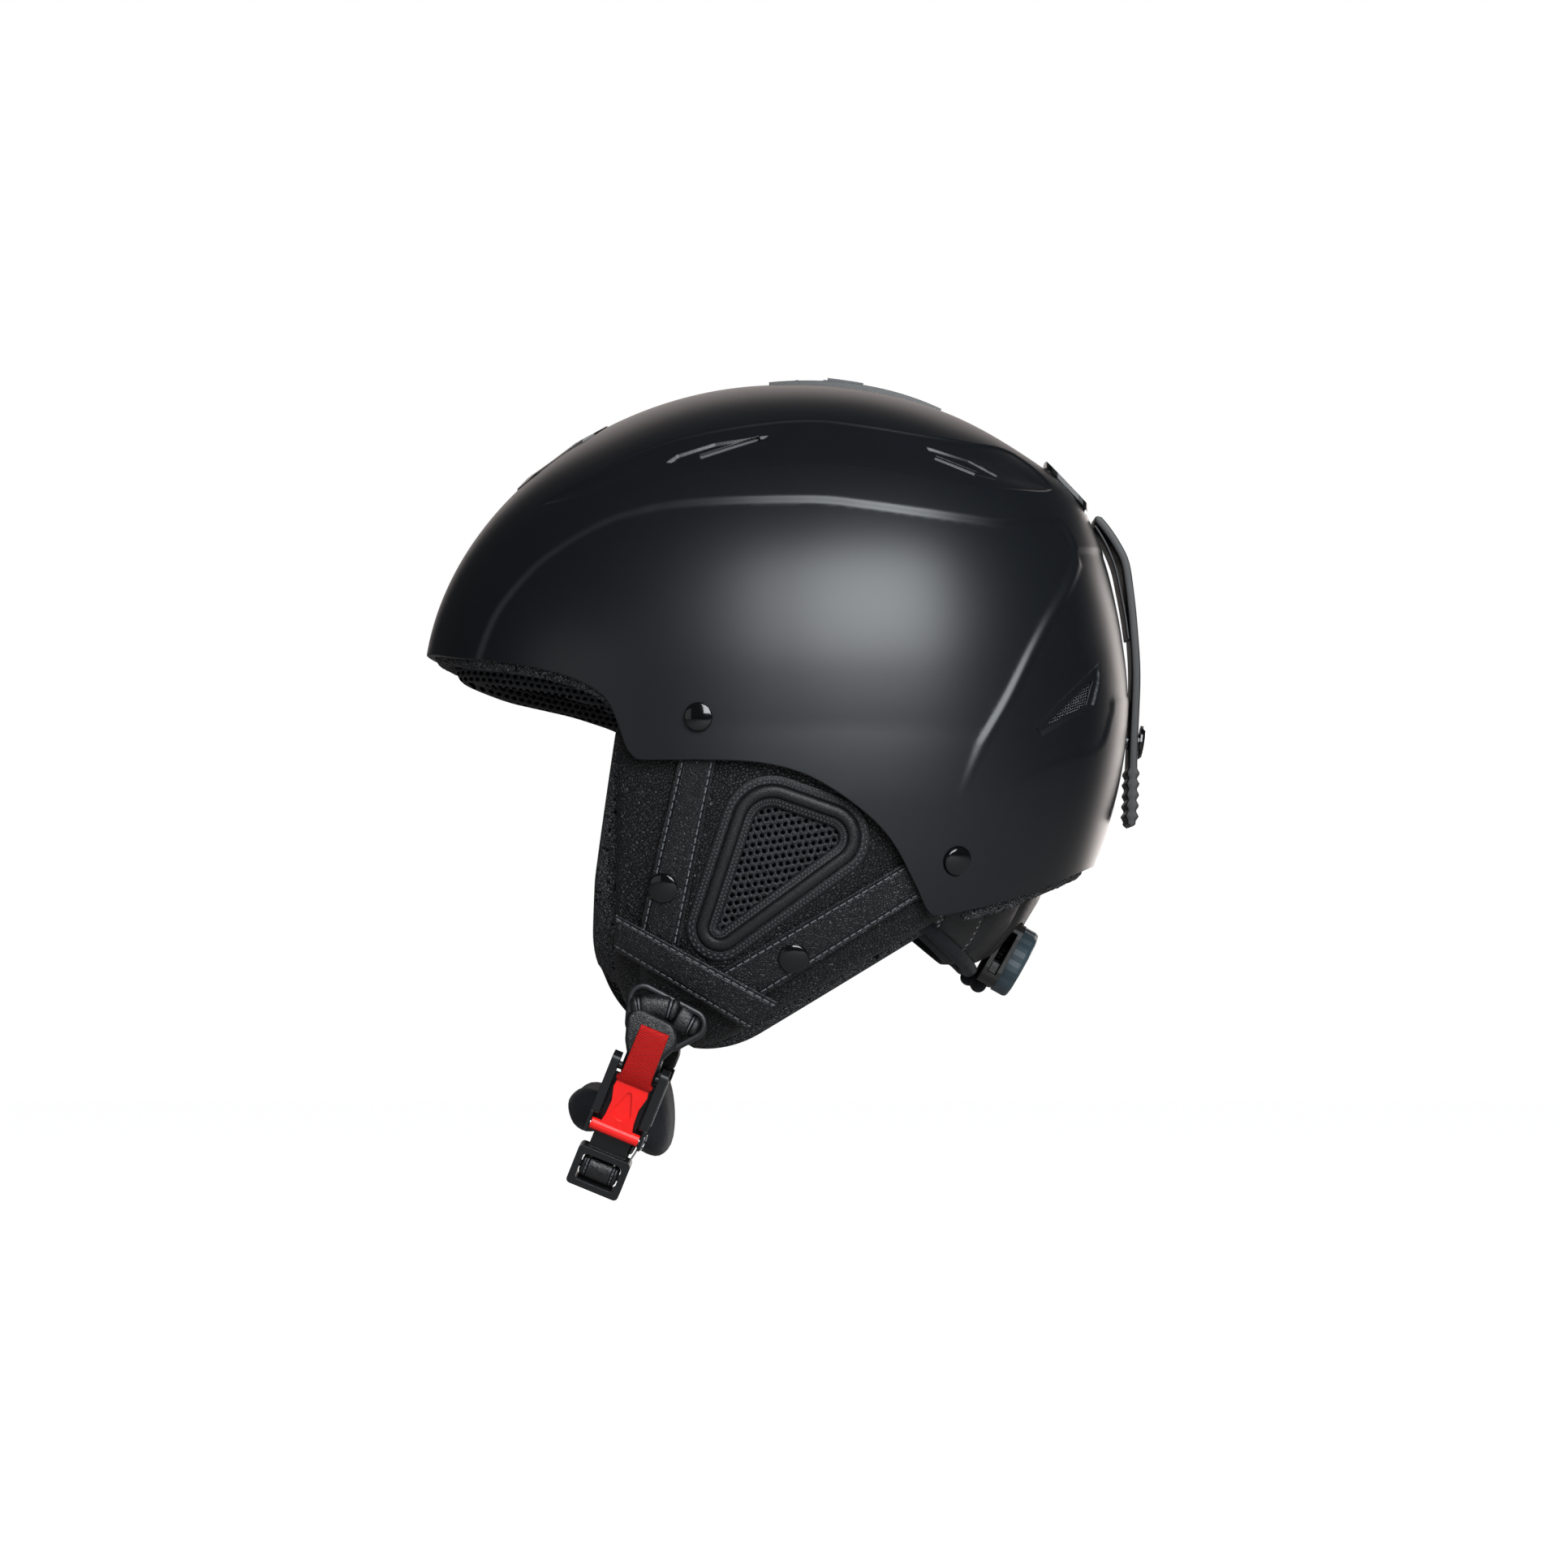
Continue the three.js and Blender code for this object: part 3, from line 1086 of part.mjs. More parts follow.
// Leather loop round the lower part of a yoke ring, with a tab below it
function yokeLoop(sign, tabLength, tabShift) {
  const aside = Math.atan2(tabShift, yokeRingRadius) / degrees;
  const band = ringWrap(270 + aside, loopTurn, loopRadius);
  const tab = solidOf(slab(bandWidth * 0.86, loopRadius * 1.2, tabLength)
    .translate(tabShift, 0, -yokeRingRadius - yokeRingSection - tabLength / 2));
  return solidOf(geometryOf(joined(band, tab)).translate(0, sign * yokeHalfSpan, 0));
}
const ringRoomAt = (sign) => solidOf(yokeRing(loopSlack).translate(0, sign * yokeHalfSpan, 0));

function buildStrapLoopLeft() {
  const tabLength = buckleBarDrop - yokeRingRadius - yokeRingSection;
  const wrapRadius = buckleBarRadius + clearance + loopPuff;
  const width = buckleWidth - 2 * railWidth - 2 * clearance;
  const wrap = solidOf(atBuckle(barAcross(wrapRadius, width, 0, 0, 12)));
  const bore = solidOf(atBuckle(barAcross(buckleBarRadius + clearance, buckleWidth, 0, 0)));
  return geometryOf(cutBy(yokeLoop(left, tabLength, -buckleShift).add(wrap), bore, ringRoomAt(left)));
}

function buildBuckleBody() {
  const depth = railBack + railFront;
  const railMiddle = (railFront - railBack) / 2;
  const rail = (sign) => solidOf(plate(depth, railAbove + railLength, railWidth, railWidth / 2).rotateY(90 * degrees)
    .rotateX(90 * degrees).translate(sign * (buckleWidth - railWidth) / 2, -railMiddle, (railAbove - railLength) / 2));
  const ear = (sign) => solidOf(slab(earWall, depth * 0.6, leverPivot - railLength + 2 * leverBarRadius)
    .translate(sign * (buckleWidth - earWall) / 2, -leverStand + depth * 0.12, -leverPivot + railWidth / 4));
  const base = solidOf(blockAt(buckleWidth, leverPivot + leverBarRadius - leverTop, basePlate, leverTop,
    basePlate / 2 - railBack));
  const bar = solidOf(barAcross(buckleBarRadius, buckleWidth - railWidth, 0, 0));
  const pinRoom = solidOf(barAcross(leverPinRadius + clearance, buckleWidth + overrun, leverPivot, leverStand));
  return geometryOf(joined(rail(-1), rail(1), ear(-1), ear(1), base, bar).subtract(pinRoom));
}

function buildLever() {
  const length = leverPivot - leverTop;
  const outline = leverShares.map(([across, down]) => new THREE.Vector2(across * leverWidth, -leverTop - down * length));
  const standing = (points, thickness, stand) => solidOf(
    new THREE.ExtrudeGeometry(new THREE.Shape(points), { depth: thickness, bevelEnabled: false })
      .rotateX(90 * degrees).translate(0, -stand + thickness / 2, 0));
  const body = standing(outline, leverThickness, leverStand);
  const hollow = standing(beltOutline(leverHollowCircles, 0, roundSteps), 2 * leverHollowDepth,
    leverStand + leverThickness / 2);
  const bar = solidOf(barAcross(leverBarRadius, leverBarWidth, leverPivot, leverStand));
  const bore = solidOf(barAcross(leverPinRadius + clearance, leverBarWidth + overrun, leverPivot, leverStand));
  return geometryOf(joined(body, bar).subtract(hollow).subtract(bore));
}

// Webbing tab: folded over the top of the lever and up over the leather loop
function buildPullTab() {
  const slope = pullTabShares.map(([up, out]) => new THREE.Vector2(-leverStand - out * leverStand, up * pullTabTop));
  slope.push(new THREE.Vector2(-leverStand + pullTabThickness / 2, clearance - leverTop));
  const outer = slope.map((point) => new THREE.Vector2(point.x - pullTabThickness, point.y));
  const outline = [...slope, ...outer.reverse()];
  const band = new THREE.ExtrudeGeometry(new THREE.Shape(outline), { depth: pullTabWidth, bevelEnabled: false });
  return band.rotateX(90 * degrees).rotateZ(90 * degrees).translate(-pullTabWidth / 2, 0, 0);
}

const buildLeverPin = () => barAcross(leverPinRadius, buckleWidth, leverPivot, leverStand);

// Tongue that slides into the buckle, with the ladder frame that holds the chin band
function buildTongue() {
  const standing = (outline, thickness, stand) => solidOf(
    new THREE.ExtrudeGeometry(new THREE.Shape(outline), { depth: thickness, bevelEnabled: false })
      .rotateX(90 * degrees).translate(0, -stand + thickness / 2, 0));
  const down = (outline, drop) => outline.map((point) => new THREE.Vector2(point.x, point.y - drop));
  const height = ladderBottom - ladderTop;
  const middle = ladderTop + height / 2;
  const frame = standing(down(plateOutline(ladderWidth, height, ladderCorner), middle), ladderDepth, 0);
  const window = standing(down(plateOutline(ladderWidth - 2 * ladderRim, height - 2 * ladderRim, ladderCorner), middle),
    ladderDepth + overrun, 0);
  const tongue = solidOf(blockAt(tonguePlateWidth, ladderTop + ladderRim / 2 - tongueTop, tonguePlateThickness, tongueTop,
    clearance + tonguePlateThickness / 2 + basePlate - railBack));
  const bar = solidOf(barAcross(ladderBarRadius, ladderWidth - ladderRim, middle, 0));
  return geometryOf(joined(frame.subtract(window), tongue, bar));
}

// Chin band: from the roll in the ladder frame, under the chin pad, to the loop on the right yoke ring
const padPuff = (t) => (1 - Math.abs(t) ** 4) ** 0.25;
const padMiddle = (t) => new THREE.Vector3(chinPadShift, t * chinPadHalfSpan, -chinPadDrop - chinPadSag * (1 - t * t));
const bandUnderPad = [-0.86, -0.5, 0, 0.5, 0.86];

function buildChinBand() {
  const middle = (ladderTop + ladderBottom) / 2;
  const length = ladderWidth - 2 * ladderRim - 2 * clearance;
  const roll = solidOf(atBuckle(barAcross(rollRadius, length, middle, 0, 12)));
  const bore = solidOf(atBuckle(barAcross(ladderBarRadius + clearance, ladderWidth, middle, 0)));
  const inward = (stand) => new THREE.Vector3(0, stand, -middle).applyMatrix4(buckle.matrix);
  const tabLength = buckleBarDrop - yokeRingRadius - yokeRingSection;
  const end = new THREE.Vector3(0, yokeHalfSpan, -yokeRingRadius - yokeRingSection - tabLength);
  const route = [
    inward(rollRadius - bandThickness), inward(rollRadius + 2 * bandThickness),
    ...bandUnderPad.map((t) => {
      const drop = (chinPadThickness / 2) * padPuff(t) + 3 * clearance + bandThickness / 2;
      return padMiddle(t).add(new THREE.Vector3(0, 0, -drop));
    }),
    end.clone().add(new THREE.Vector3(0, -bandWidth / 2, -bandWidth / 2)), end,
  ];
  const curve = new THREE.CatmullRomCurve3(route);
  const steps = 26;
  const across = new THREE.Vector3(1, 0, 0);
  const stations = Array.from({ length: steps + 1 }, (_, i) => ({
    centre: curve.getPoint(i / steps),
    axisA: across,
    axisB: new THREE.Vector3().crossVectors(across, curve.getTangent(i / steps)).normalize(),
  }));
  const [halfA, halfB] = [bandWidth / 2, bandThickness / 2];
  const band = solidOf(sweptBar(stations, [[-halfA, -halfB], [halfA, -halfB], [halfA, halfB], [-halfA, halfB]]));
  return geometryOf(cutBy(joined(band, roll, yokeLoop(right, tabLength, 0)), bore, ringRoomAt(right)));
}

const padStops = [-0.99, -0.94, -0.8, -0.4, 0, 0.4, 0.8, 0.94, 0.99];
const padSectionPower = 2.6;
function buildChinPad() {
  const round = (value) => Math.sign(value) * Math.abs(value) ** (2 / padSectionPower);
  const section = Array.from({ length: roundSteps }, (_, i) => {
    const turn = (i / roundSteps) * 360 * degrees;
    return [round(Math.cos(turn)) * chinPadWidth / 2, round(Math.sin(turn)) * chinPadThickness / 2];
  });
  const stations = padStops.map((t) => ({
    centre: padMiddle(t),
    axisA: new THREE.Vector3(padPuff(t), 0, 0),
    axisB: new THREE.Vector3(0, 0, padPuff(t)),
  }));
  return sweptBar(stations, section);
}

// The helmet: what stays still
place(helmet, 'outer_shell', buildShell(), satinBlack());
place(helmet, 'impact_liner', buildLiner(), foamGrey());
place(helmet, 'front_edging', buildEdging(true), fleeceBlack());
place(helmet, 'rear_edging', buildEdging(false), fleeceBlack());
place(helmet, 'brow_pad', buildBrowPad(), fleeceBlack());
place(helmet, 'crown_pad', buildCrownPad(), fleeceBlack());
place(helmet, 'nape_pad', buildNapePad(), fleeceBlack());
place(helmet, 'vent_rail', buildVentRail(), plasticBlack());
place(helmet, 'front_vent_trim', buildFrontTrim(), plasticBlack());
place(helmet, 'exhaust_grille', buildGrille(), plasticBlack());
place(helmet, 'exhaust_cover', buildCover(), plasticBlack());
place(helmet, 'goggle_snap_stud', buildGogglesSnapStud(), glossBlack());
place(helmet, 'neck_pad', buildNeckPad(), leatherBlack());

for (const [name, side] of sides) {
  place(helmet, `side_pad_${name}`, buildSidePad(side), fleeceBlack());
  place(helmet, `rear_mesh_${name}`, buildRearMesh(side), meshBlack());
  for (const [where, shares] of rivetPlaces) {
    place(helmet, `rivet_${where}_${name}`, buildRivet(shares, side), glossBlack());
  }
  place(helmet, `ear_pad_${name}`, buildEarLeather(side), leatherBlack());
  place(helmet, `ear_lining_${name}`, buildEarLining(side), fleeceBlack());
  place(helmet, `ear_ring_${name}`, buildEarRing(side), leatherBlack());
  place(helmet, `ear_mesh_${name}`, buildEarMesh(side), meshBlack());
  place(helmet, `front_strap_${name}`, buildStrap(frontStrapShares, frontSnapShares, side), leatherBlack());
  place(helmet, `rear_strap_${name}`, buildStrap(rearStrapShares, rearSnapShares, side), leatherBlack());
  place(helmet, `cross_band_${name}`, buildCrossBand(side), leatherBlack());
  place(helmet, `front_snap_${name}`, buildPadSnap(frontSnapShares, side), glossBlack());
  place(helmet, `rear_snap_${name}`, buildPadSnap(rearSnapShares, side), glossBlack());
  place(helmet, `yoke_ring_${name}`, forSide(atYoke(yokeRing()), side), plasticBlack());
  place(helmet, `yoke_hanger_${name}`, buildYokeHanger(side), leatherBlack());
}

// Crown vent slider, turned about the far centre of its arc
const slider = new THREE.Group();
place(slider, 'vent_slider', buildVentSlider(), plasticBlack());
place(slider, 'slider_keeper', buildVentKeeper(), plasticBlack());

// Goggle strap, turned about its upper end
const gogglesStrap = new THREE.Group();
place(gogglesStrap, 'goggle_strap', buildGogglesStrap(), rubberBlack());
place(gogglesStrap, 'goggle_snap_cap', buildGogglesSnapCap(), glossBlack());

// Fit mechanism: housing, dial with its pinion, and two racks
place(dialSeat, 'dial_housing', buildDialHousing(), housingBrown());
place(dialSeat, 'fit_dial', buildFitDial(), dialBlue());
place(dialSeat, 'dial_pinion', buildPinion(), plasticBlack());
place(dialSeat, 'rack_left', buildRack(1), plasticBlack());
place(dialSeat, 'rack_right', buildRack(-1), plasticBlack());

// Chin strap with its buckle and release lever
place(swing, 'strap_loop_left', buildStrapLoopLeft(), leatherBlack());
place(swing, 'chin_band', buildChinBand(), leatherBlack());
place(swing, 'chin_pad', buildChinPad(), fleeceBlack());
place(buckle, 'buckle_body', buildBuckleBody(), plasticBlack());
place(buckle, 'buckle_tongue', buildTongue(), plasticBlack());
place(buckle, 'lever_pin', buildLeverPin(), steel());
place(buckle, 'release_lever', buildLever(), signalRed());
place(buckle, 'pull_tab', buildPullTab(), signalRed());
swing.add(buckle);

helmet.add(slider, gogglesStrap, dialSeat, swing);
export default helmet;
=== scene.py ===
# %% [markdown]
# A ski helmet, dressed for its portrait
#
# The CAD model fixes where everything is and how it moves. This notebook loads it as a frame,
# and then builds the surfaces that the eye judges: satin paint, pebbled leather, fleece, mesh,
# rubber and a small red buckle. Every length below is in millimetres and becomes metres at the
# last moment, because Blender works in metres and a helmet is easier to think of in millimetres.

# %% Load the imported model
import math
import bmesh
import bpy
import numpy as np
from mathutils import Matrix, Vector


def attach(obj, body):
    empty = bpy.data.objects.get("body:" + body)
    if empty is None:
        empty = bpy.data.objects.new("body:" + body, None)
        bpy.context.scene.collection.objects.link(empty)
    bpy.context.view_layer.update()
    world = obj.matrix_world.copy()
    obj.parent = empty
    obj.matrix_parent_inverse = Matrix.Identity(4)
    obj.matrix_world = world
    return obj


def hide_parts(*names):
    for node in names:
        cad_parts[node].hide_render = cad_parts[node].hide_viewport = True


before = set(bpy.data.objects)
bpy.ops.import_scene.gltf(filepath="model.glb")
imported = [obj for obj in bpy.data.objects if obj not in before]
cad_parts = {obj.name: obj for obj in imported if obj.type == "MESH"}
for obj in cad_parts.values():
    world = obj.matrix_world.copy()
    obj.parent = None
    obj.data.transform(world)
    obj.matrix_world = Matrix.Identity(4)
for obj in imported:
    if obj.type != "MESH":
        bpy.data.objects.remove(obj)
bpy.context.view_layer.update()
mm = 0.001
LEFT, RIGHT = -1, 1
SIDES = {"left": LEFT, "right": RIGHT}
print("nodes in the frame:", len(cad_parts))

# %% [markdown]
# The camera stands 1.6 m from the helmet, a little below its middle, and looks slightly up.
# A long lens was used for the photograph, so the far ear pad hides exactly behind the near one.
# The camera could be placed by eye, but its height and distance were worked out from the way the
# far side of the brow shows below the near rim, and then written here as plain numbers.

# %% Camera
CAMERA_DISTANCE = 1600
CAMERA_RISE = math.radians(2.5)
CAMERA_TARGET = Vector((1.76, 0, -37.1))
CAMERA_LENS = 93.17

lens = bpy.data.cameras.new("portrait_lens")
lens.lens = CAMERA_LENS
lens.sensor_width = 36
camera = bpy.data.objects.new("portrait_camera", lens)
bpy.context.scene.collection.objects.link(camera)
look = Vector((0, math.cos(CAMERA_RISE), math.sin(CAMERA_RISE)))
camera.location = (CAMERA_TARGET - look * CAMERA_DISTANCE) * mm
camera.rotation_euler = look.to_track_quat("-Z", "Y").to_euler()
bpy.context.scene.camera = camera
bpy.context.scene.view_settings.view_transform = "Standard"
print("camera at", [round(v, 3) for v in camera.location])

# %% [markdown]
# Materials are graphs of nodes, and long graphs are hard to read as code. Two small classes make
# them read like sums: a Wire is one output of a node and knows how to add and multiply, and a
# Finish is one material that makes nodes on request. A pattern is then an ordinary expression.

# %% Wires and finishes
class Wire:
    """One output socket of a shader node, usable in plain maths."""

    def __init__(self, finish, socket):
        self.finish = finish
        self.socket = socket

    def maths(self, operation, *others):
        values = {i: other for i, other in enumerate(others)}
        return self.finish.node("ShaderNodeMath", {"operation": operation}, values)

    def __add__(self, other):
        return self.maths("ADD", self, other)

    def __radd__(self, other):
        return self.maths("ADD", other, self)

    def __sub__(self, other):
        return self.maths("SUBTRACT", self, other)

    def __rsub__(self, other):
        return self.maths("SUBTRACT", other, self)

    def __mul__(self, other):
        return self.maths("MULTIPLY", self, other)

    def __rmul__(self, other):
        return self.maths("MULTIPLY", other, self)

    def __truediv__(self, other):
        return self.maths("DIVIDE", self, other)

    def __gt__(self, other):
        return self.maths("GREATER_THAN", self, other)

    def __lt__(self, other):
        return self.maths("LESS_THAN", self, other)

    def __abs__(self):
        return self.maths("ABSOLUTE", self)

    def wrapped(self, period):
        """The value folded into 0 to period."""
        return self.maths("WRAP", self, period, 0)

    def ramp(self, low, high):
        """0 below low, 1 above high, and smooth between them."""
        return self.finish.node(
            "ShaderNodeMapRange", {"interpolation_type": "SMOOTHSTEP"},
            {"Value": self, "From Min": low, "From Max": high})


class Finish:
    """One material, with a method that makes its nodes."""

    def __init__(self, name):
        self.material = bpy.data.materials.new(name)
        self.material.use_nodes = True
        self.tree = self.material.node_tree
        self.tree.nodes.clear()

    def node(self, kind, settings=None, sockets=None, output=0):
        made = self.tree.nodes.new(kind)
        for name, value in (settings or {}).items():
            if name == "stops":
                for i, (position, color) in enumerate(value):
                    stop = made.color_ramp.elements[i] if i < 2 else made.color_ramp.elements.new(position)
                    stop.position = position
                    stop.color = (*color, 1)
            else:
                setattr(made, name, value)
        for name, value in (sockets or {}).items():
            if isinstance(value, Wire):
                self.tree.links.new(value.socket, made.inputs[name])
            else:
                made.inputs[name].default_value = value
        return None if output is None else Wire(self, made.outputs[output])

    def place(self):
        """Where a point lies on the object, in metres."""
        return self.node("ShaderNodeTexCoord", output="Object")

    def along(self, name="UVMap"):
        """The piece's own strip coordinates, in metres along and across."""
        return self.node("ShaderNodeUVMap", {"uv_map": name})

    def parts(self, vector):
        """The three numbers of a vector."""
        made = self.tree.nodes.new("ShaderNodeSeparateXYZ")
        self.tree.links.new(vector.socket, made.inputs[0])
        return [Wire(self, output) for output in made.outputs]

    def noise(self, vector, size, detail=2.0, rough=0.5):
        """Cloudy noise whose blobs are about size millimetres across."""
        return self.node("ShaderNodeTexNoise", {}, {
            "Vector": vector, "Scale": 1 / (size * mm), "Detail": detail, "Roughness": rough})

    def cells(self, vector, size, feature="F1", output="Distance", randomness=1.0):
        """Cells about size millimetres across."""
        return self.node("ShaderNodeTexVoronoi", {"feature": feature}, {
            "Vector": vector, "Scale": 1 / (size * mm), "Randomness": randomness}, output)

    def mix(self, share, first, second):
        """Two colours mixed by a share from 0 to 1."""
        sockets = {0: share, 6: first if isinstance(first, Wire) else (*first, 1),
                   7: second if isinstance(second, Wire) else (*second, 1)}
        return self.node("ShaderNodeMix", {"data_type": "RGBA"}, sockets, 2)

    def bump(self, height, depth, strength=1.0, under=None):
        """A surface pushed out by height times depth millimetres."""
        sockets = {"Height": height, "Distance": depth * mm, "Strength": strength}
        if under is not None:
            sockets["Normal"] = under
        return self.node("ShaderNodeBump", {}, sockets)

    def eased(self, radius):
        """Edges seen as if rounded by a radius in millimetres."""
        return self.node("ShaderNodeBevel", {"samples": 6}, {"Radius": radius * mm})

    def surface(self, color, roughness, solid=None, **sockets):
        """The finished surface. Extra sockets use their names with underscores for spaces.
        Where solid is 0 the surface is painted as the shade inside a hole: a flat black that gives no light back."""
        values = {"Base Color": color if isinstance(color, Wire) else (*color, 1), "Roughness": roughness}
        values.update({name.replace("_", " "): value for name, value in sockets.items()})
        shader = self.node("ShaderNodeBsdfPrincipled", {}, values)
        if solid is not None:
            # painted shade: this near-black, unreflecting surface stands in for the darkness inside holes and gaps
            hole = self.node("ShaderNodeBsdfPrincipled", {}, {
                "Base Color": (0.0008, 0.0008, 0.001, 1), "Roughness": 1.0, "Specular IOR Level": 0.0})
            shader = self.node("ShaderNodeMixShader", {}, {0: solid, 1: hole, 2: shader})
        self.node("ShaderNodeOutputMaterial", {}, {"Surface": shader}, None)
        return self.material

# %% [markdown]
# Nearly everything on a helmet follows the same egg, so the egg is written down once as a formula:
# how far the surface lies from the middle of the head in any direction. It is a superellipse in the
# plan view, a rounder one over the crown, and a gentle taper below the ears, with one proud ridge
# at the rear top. A sculpted mesh would also work, but with a formula every layer, pad and strap
# can ask for the same surface at its own depth, and so they always nest.

# %% The egg that everything follows
SHELL_FRONT, SHELL_REAR, SHELL_HALF_WIDTH = 139.6, 137.6, 107
CROWN_HEIGHT, SIDE_DROP, NAPE_DROP = 120, 200, 158
SHELL_WALL = 3.2


def head_radius(ways):
    """Distance of the surface from the middle, for unit vectors, one a row."""
    x, y, z = ways.T
    flat = np.maximum(np.hypot(x, y), 1e-9)
    reach = np.where(x < 0, SHELL_FRONT, SHELL_REAR)
    across = ((np.abs(x) / reach) ** 2.25 + (np.abs(y) / SHELL_HALF_WIDTH) ** 2.25) ** (1 / 2.25)
    along = (x / flat) ** 2
    height = np.where(z >= 0, CROWN_HEIGHT, SIDE_DROP * (1 - along) + NAPE_DROP * along)
    power = np.where(z >= 0, 2.05 + 0.15 * x / flat, 2.0)
    radius = (across ** power + (np.abs(z) / height) ** power) ** (-1 / power)
    tilt = (np.degrees(np.arccos(np.clip(z, -1, 1))) - 57) / 9
    turn = np.degrees(np.arctan2(np.abs(y), x)) / 22
    return radius + 3.4 * np.exp(-tilt ** 2) * np.exp(-turn ** 2)


def side_reach(x, z, depth):
    """How far out sideways the surface lies, sunk by a depth, at points of the side view."""
    x, z = np.broadcast_arrays(np.asarray(x, float), np.asarray(z, float))
    inside, outside = np.zeros(x.shape), np.full(x.shape, 2.0 * SHELL_HALF_WIDTH)
    for _ in range(32):
        middle = (inside + outside) / 2
        points = np.stack([x.ravel(), middle.ravel(), z.ravel()], -1)
        length = np.maximum(np.linalg.norm(points, axis=1), 1e-9)
        within = (length < head_radius(points / length[:, None]) - depth).reshape(x.shape)
        inside, outside = np.where(within, middle, inside), np.where(within, outside, middle)
    return (inside + outside) / 2


def mid_point(tilt, depth):
    """Point on the middle plane, by its tilt in degrees from straight up towards the rear."""
    way = np.array([math.sin(math.radians(tilt)), 0, math.cos(math.radians(tilt))])
    return way * (head_radius(way[None])[0] - depth)


print("crown stands", round(mid_point(0, 0)[2], 1), "mm above the middle of the head")

# %% [markdown]
# A new piece starts life as a bmesh, which is Blender's own editable mesh. These helpers turn a
# bmesh in millimetres into an object in metres, tie it to the moving body it belongs to, and say
# which CAD nodes it stands for. They are small on purpose, because they are used for every piece.

# %% From a bmesh to a piece on the helmet
def piece(name, shape, finish, body="helmet", stands_for=(), smooth=30):
    """An object from a bmesh in millimetres, riding on a body."""
    bmesh.ops.scale(shape, vec=(mm, mm, mm), verts=shape.verts)
    mesh = bpy.data.meshes.new(name)
    shape.to_mesh(mesh)
    shape.free()
    made = bpy.data.objects.new(name, mesh)
    bpy.context.scene.collection.objects.link(made)
    return dress(made, finish, body, stands_for, smooth)


def dress(made, finish, body="helmet", stands_for=(), smooth=30):
    """Gives an object its material, shading and place in the frame."""
    made.data.materials.clear()
    made.data.materials.append(finish)
    made.data.shade_smooth()
    made.data.set_sharp_from_angle(angle=math.radians(smooth))
    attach(made, body)
    if stands_for:
        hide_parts(*stands_for)
    return made


def settle(made):
    """Applies an object's modifiers to its mesh."""
    bpy.context.view_layer.update()
    seen = made.evaluated_get(bpy.context.evaluated_depsgraph_get())
    mesh = bpy.data.meshes.new_from_object(seen)
    made.modifiers.clear()
    made.data = mesh
    return made


def loose(name, shape):
    """A tool for cutting, made from a bmesh in millimetres."""
    bmesh.ops.scale(shape, vec=(mm, mm, mm), verts=shape.verts)
    mesh = bpy.data.meshes.new(name)
    shape.to_mesh(mesh)
    shape.free()
    made = bpy.data.objects.new(name, mesh)
    bpy.context.scene.collection.objects.link(made)
    return made


def carve(target, tool, operation="DIFFERENCE", keep=False):
    """Cuts, joins or intersects target with a tool, and removes the tool."""
    cut = target.modifiers.new("cut", "BOOLEAN")
    cut.operation = operation
    cut.solver = "MANIFOLD"
    cut.object = tool
    settle(target)
    if not keep:
        bpy.data.objects.remove(tool)
    return target


def head_form(depth_at, around=120, down=60):
    """A closed egg in a bmesh, sunk by a depth that may vary with direction."""
    shape = bmesh.new()
    bmesh.ops.create_uvsphere(shape, u_segments=around, v_segments=down, radius=1)
    ways = np.array([v.co.normalized() for v in shape.verts])
    depth = depth_at(ways) if callable(depth_at) else depth_at
    for vert, co in zip(shape.verts, ways * (head_radius(ways) - depth)[:, None]):
        vert.co = co
    return shape


def side_outline(shares):
    """Points of the side view from shares of the shell's reach and the crown's height."""
    return [(a * (SHELL_FRONT if a < 0 else SHELL_REAR), b * CROWN_HEIGHT) for a, b in shares]


def flowing(points, steps=6, closed=True):
    """The same outline with a smooth curve through its points."""
    points = np.asarray(points, float)
    count = len(points)
    found = []
    for i in range(count if closed else count - 1):
        p0, p1, p2, p3 = (points[k % count] if closed else points[min(max(k, 0), count - 1)]
                          for k in (i - 1, i, i + 1, i + 2))
        for t in np.arange(steps) / steps:
            found.append(0.5 * (2 * p1 + (p2 - p0) * t + (2 * p0 - 5 * p1 + 4 * p2 - p3) * t ** 2
                                + (3 * p1 - p0 - 3 * p2 + p3) * t ** 3))
    if not closed:
        found.append(points[-1])
    return [tuple(p) for p in found]


def prism(outline, low, high, axis="Y"):
    """A bmesh prism: an outline of the side view pushed across, or of the top view pushed up."""
    shape = bmesh.new()
    at = (lambda a, b: (a, low, b)) if axis == "Y" else (lambda a, b: (a, b, low))
    face = shape.faces.new([shape.verts.new(at(a, b)) for a, b in outline])
    grown = bmesh.ops.extrude_face_region(shape, geom=[face])["geom"]
    way = (0, high - low, 0) if axis == "Y" else (0, 0, high - low)
    bmesh.ops.translate(shape, vec=way, verts=[g for g in grown if isinstance(g, bmesh.types.BMVert)])
    bmesh.ops.recalc_face_normals(shape, faces=shape.faces)
    return shape


THROUGH = 140


def sunk_tool(name, outline, depth_at, around=220, down=110, axis="Y", low=-THROUGH, high=THROUGH):
    """What a recess takes away: a prism, less the egg at the depth of the recess floor."""
    tool = loose(name, prism(outline, low, high, axis))
    return carve(tool, loose(name + "_floor", head_form(depth_at, around, down)))

# %% [markdown]
# The photograph was taken against pure white, with one big soft light above and to the right of
# the lens, and weaker wide ones from the left and from behind. The floor here is white as well, and keeps only a
# faint shadow. The white that the camera sees comes from the world and the floor's own colour, so
# that the lamps can stay at a plain level and the black paint keeps its depth.

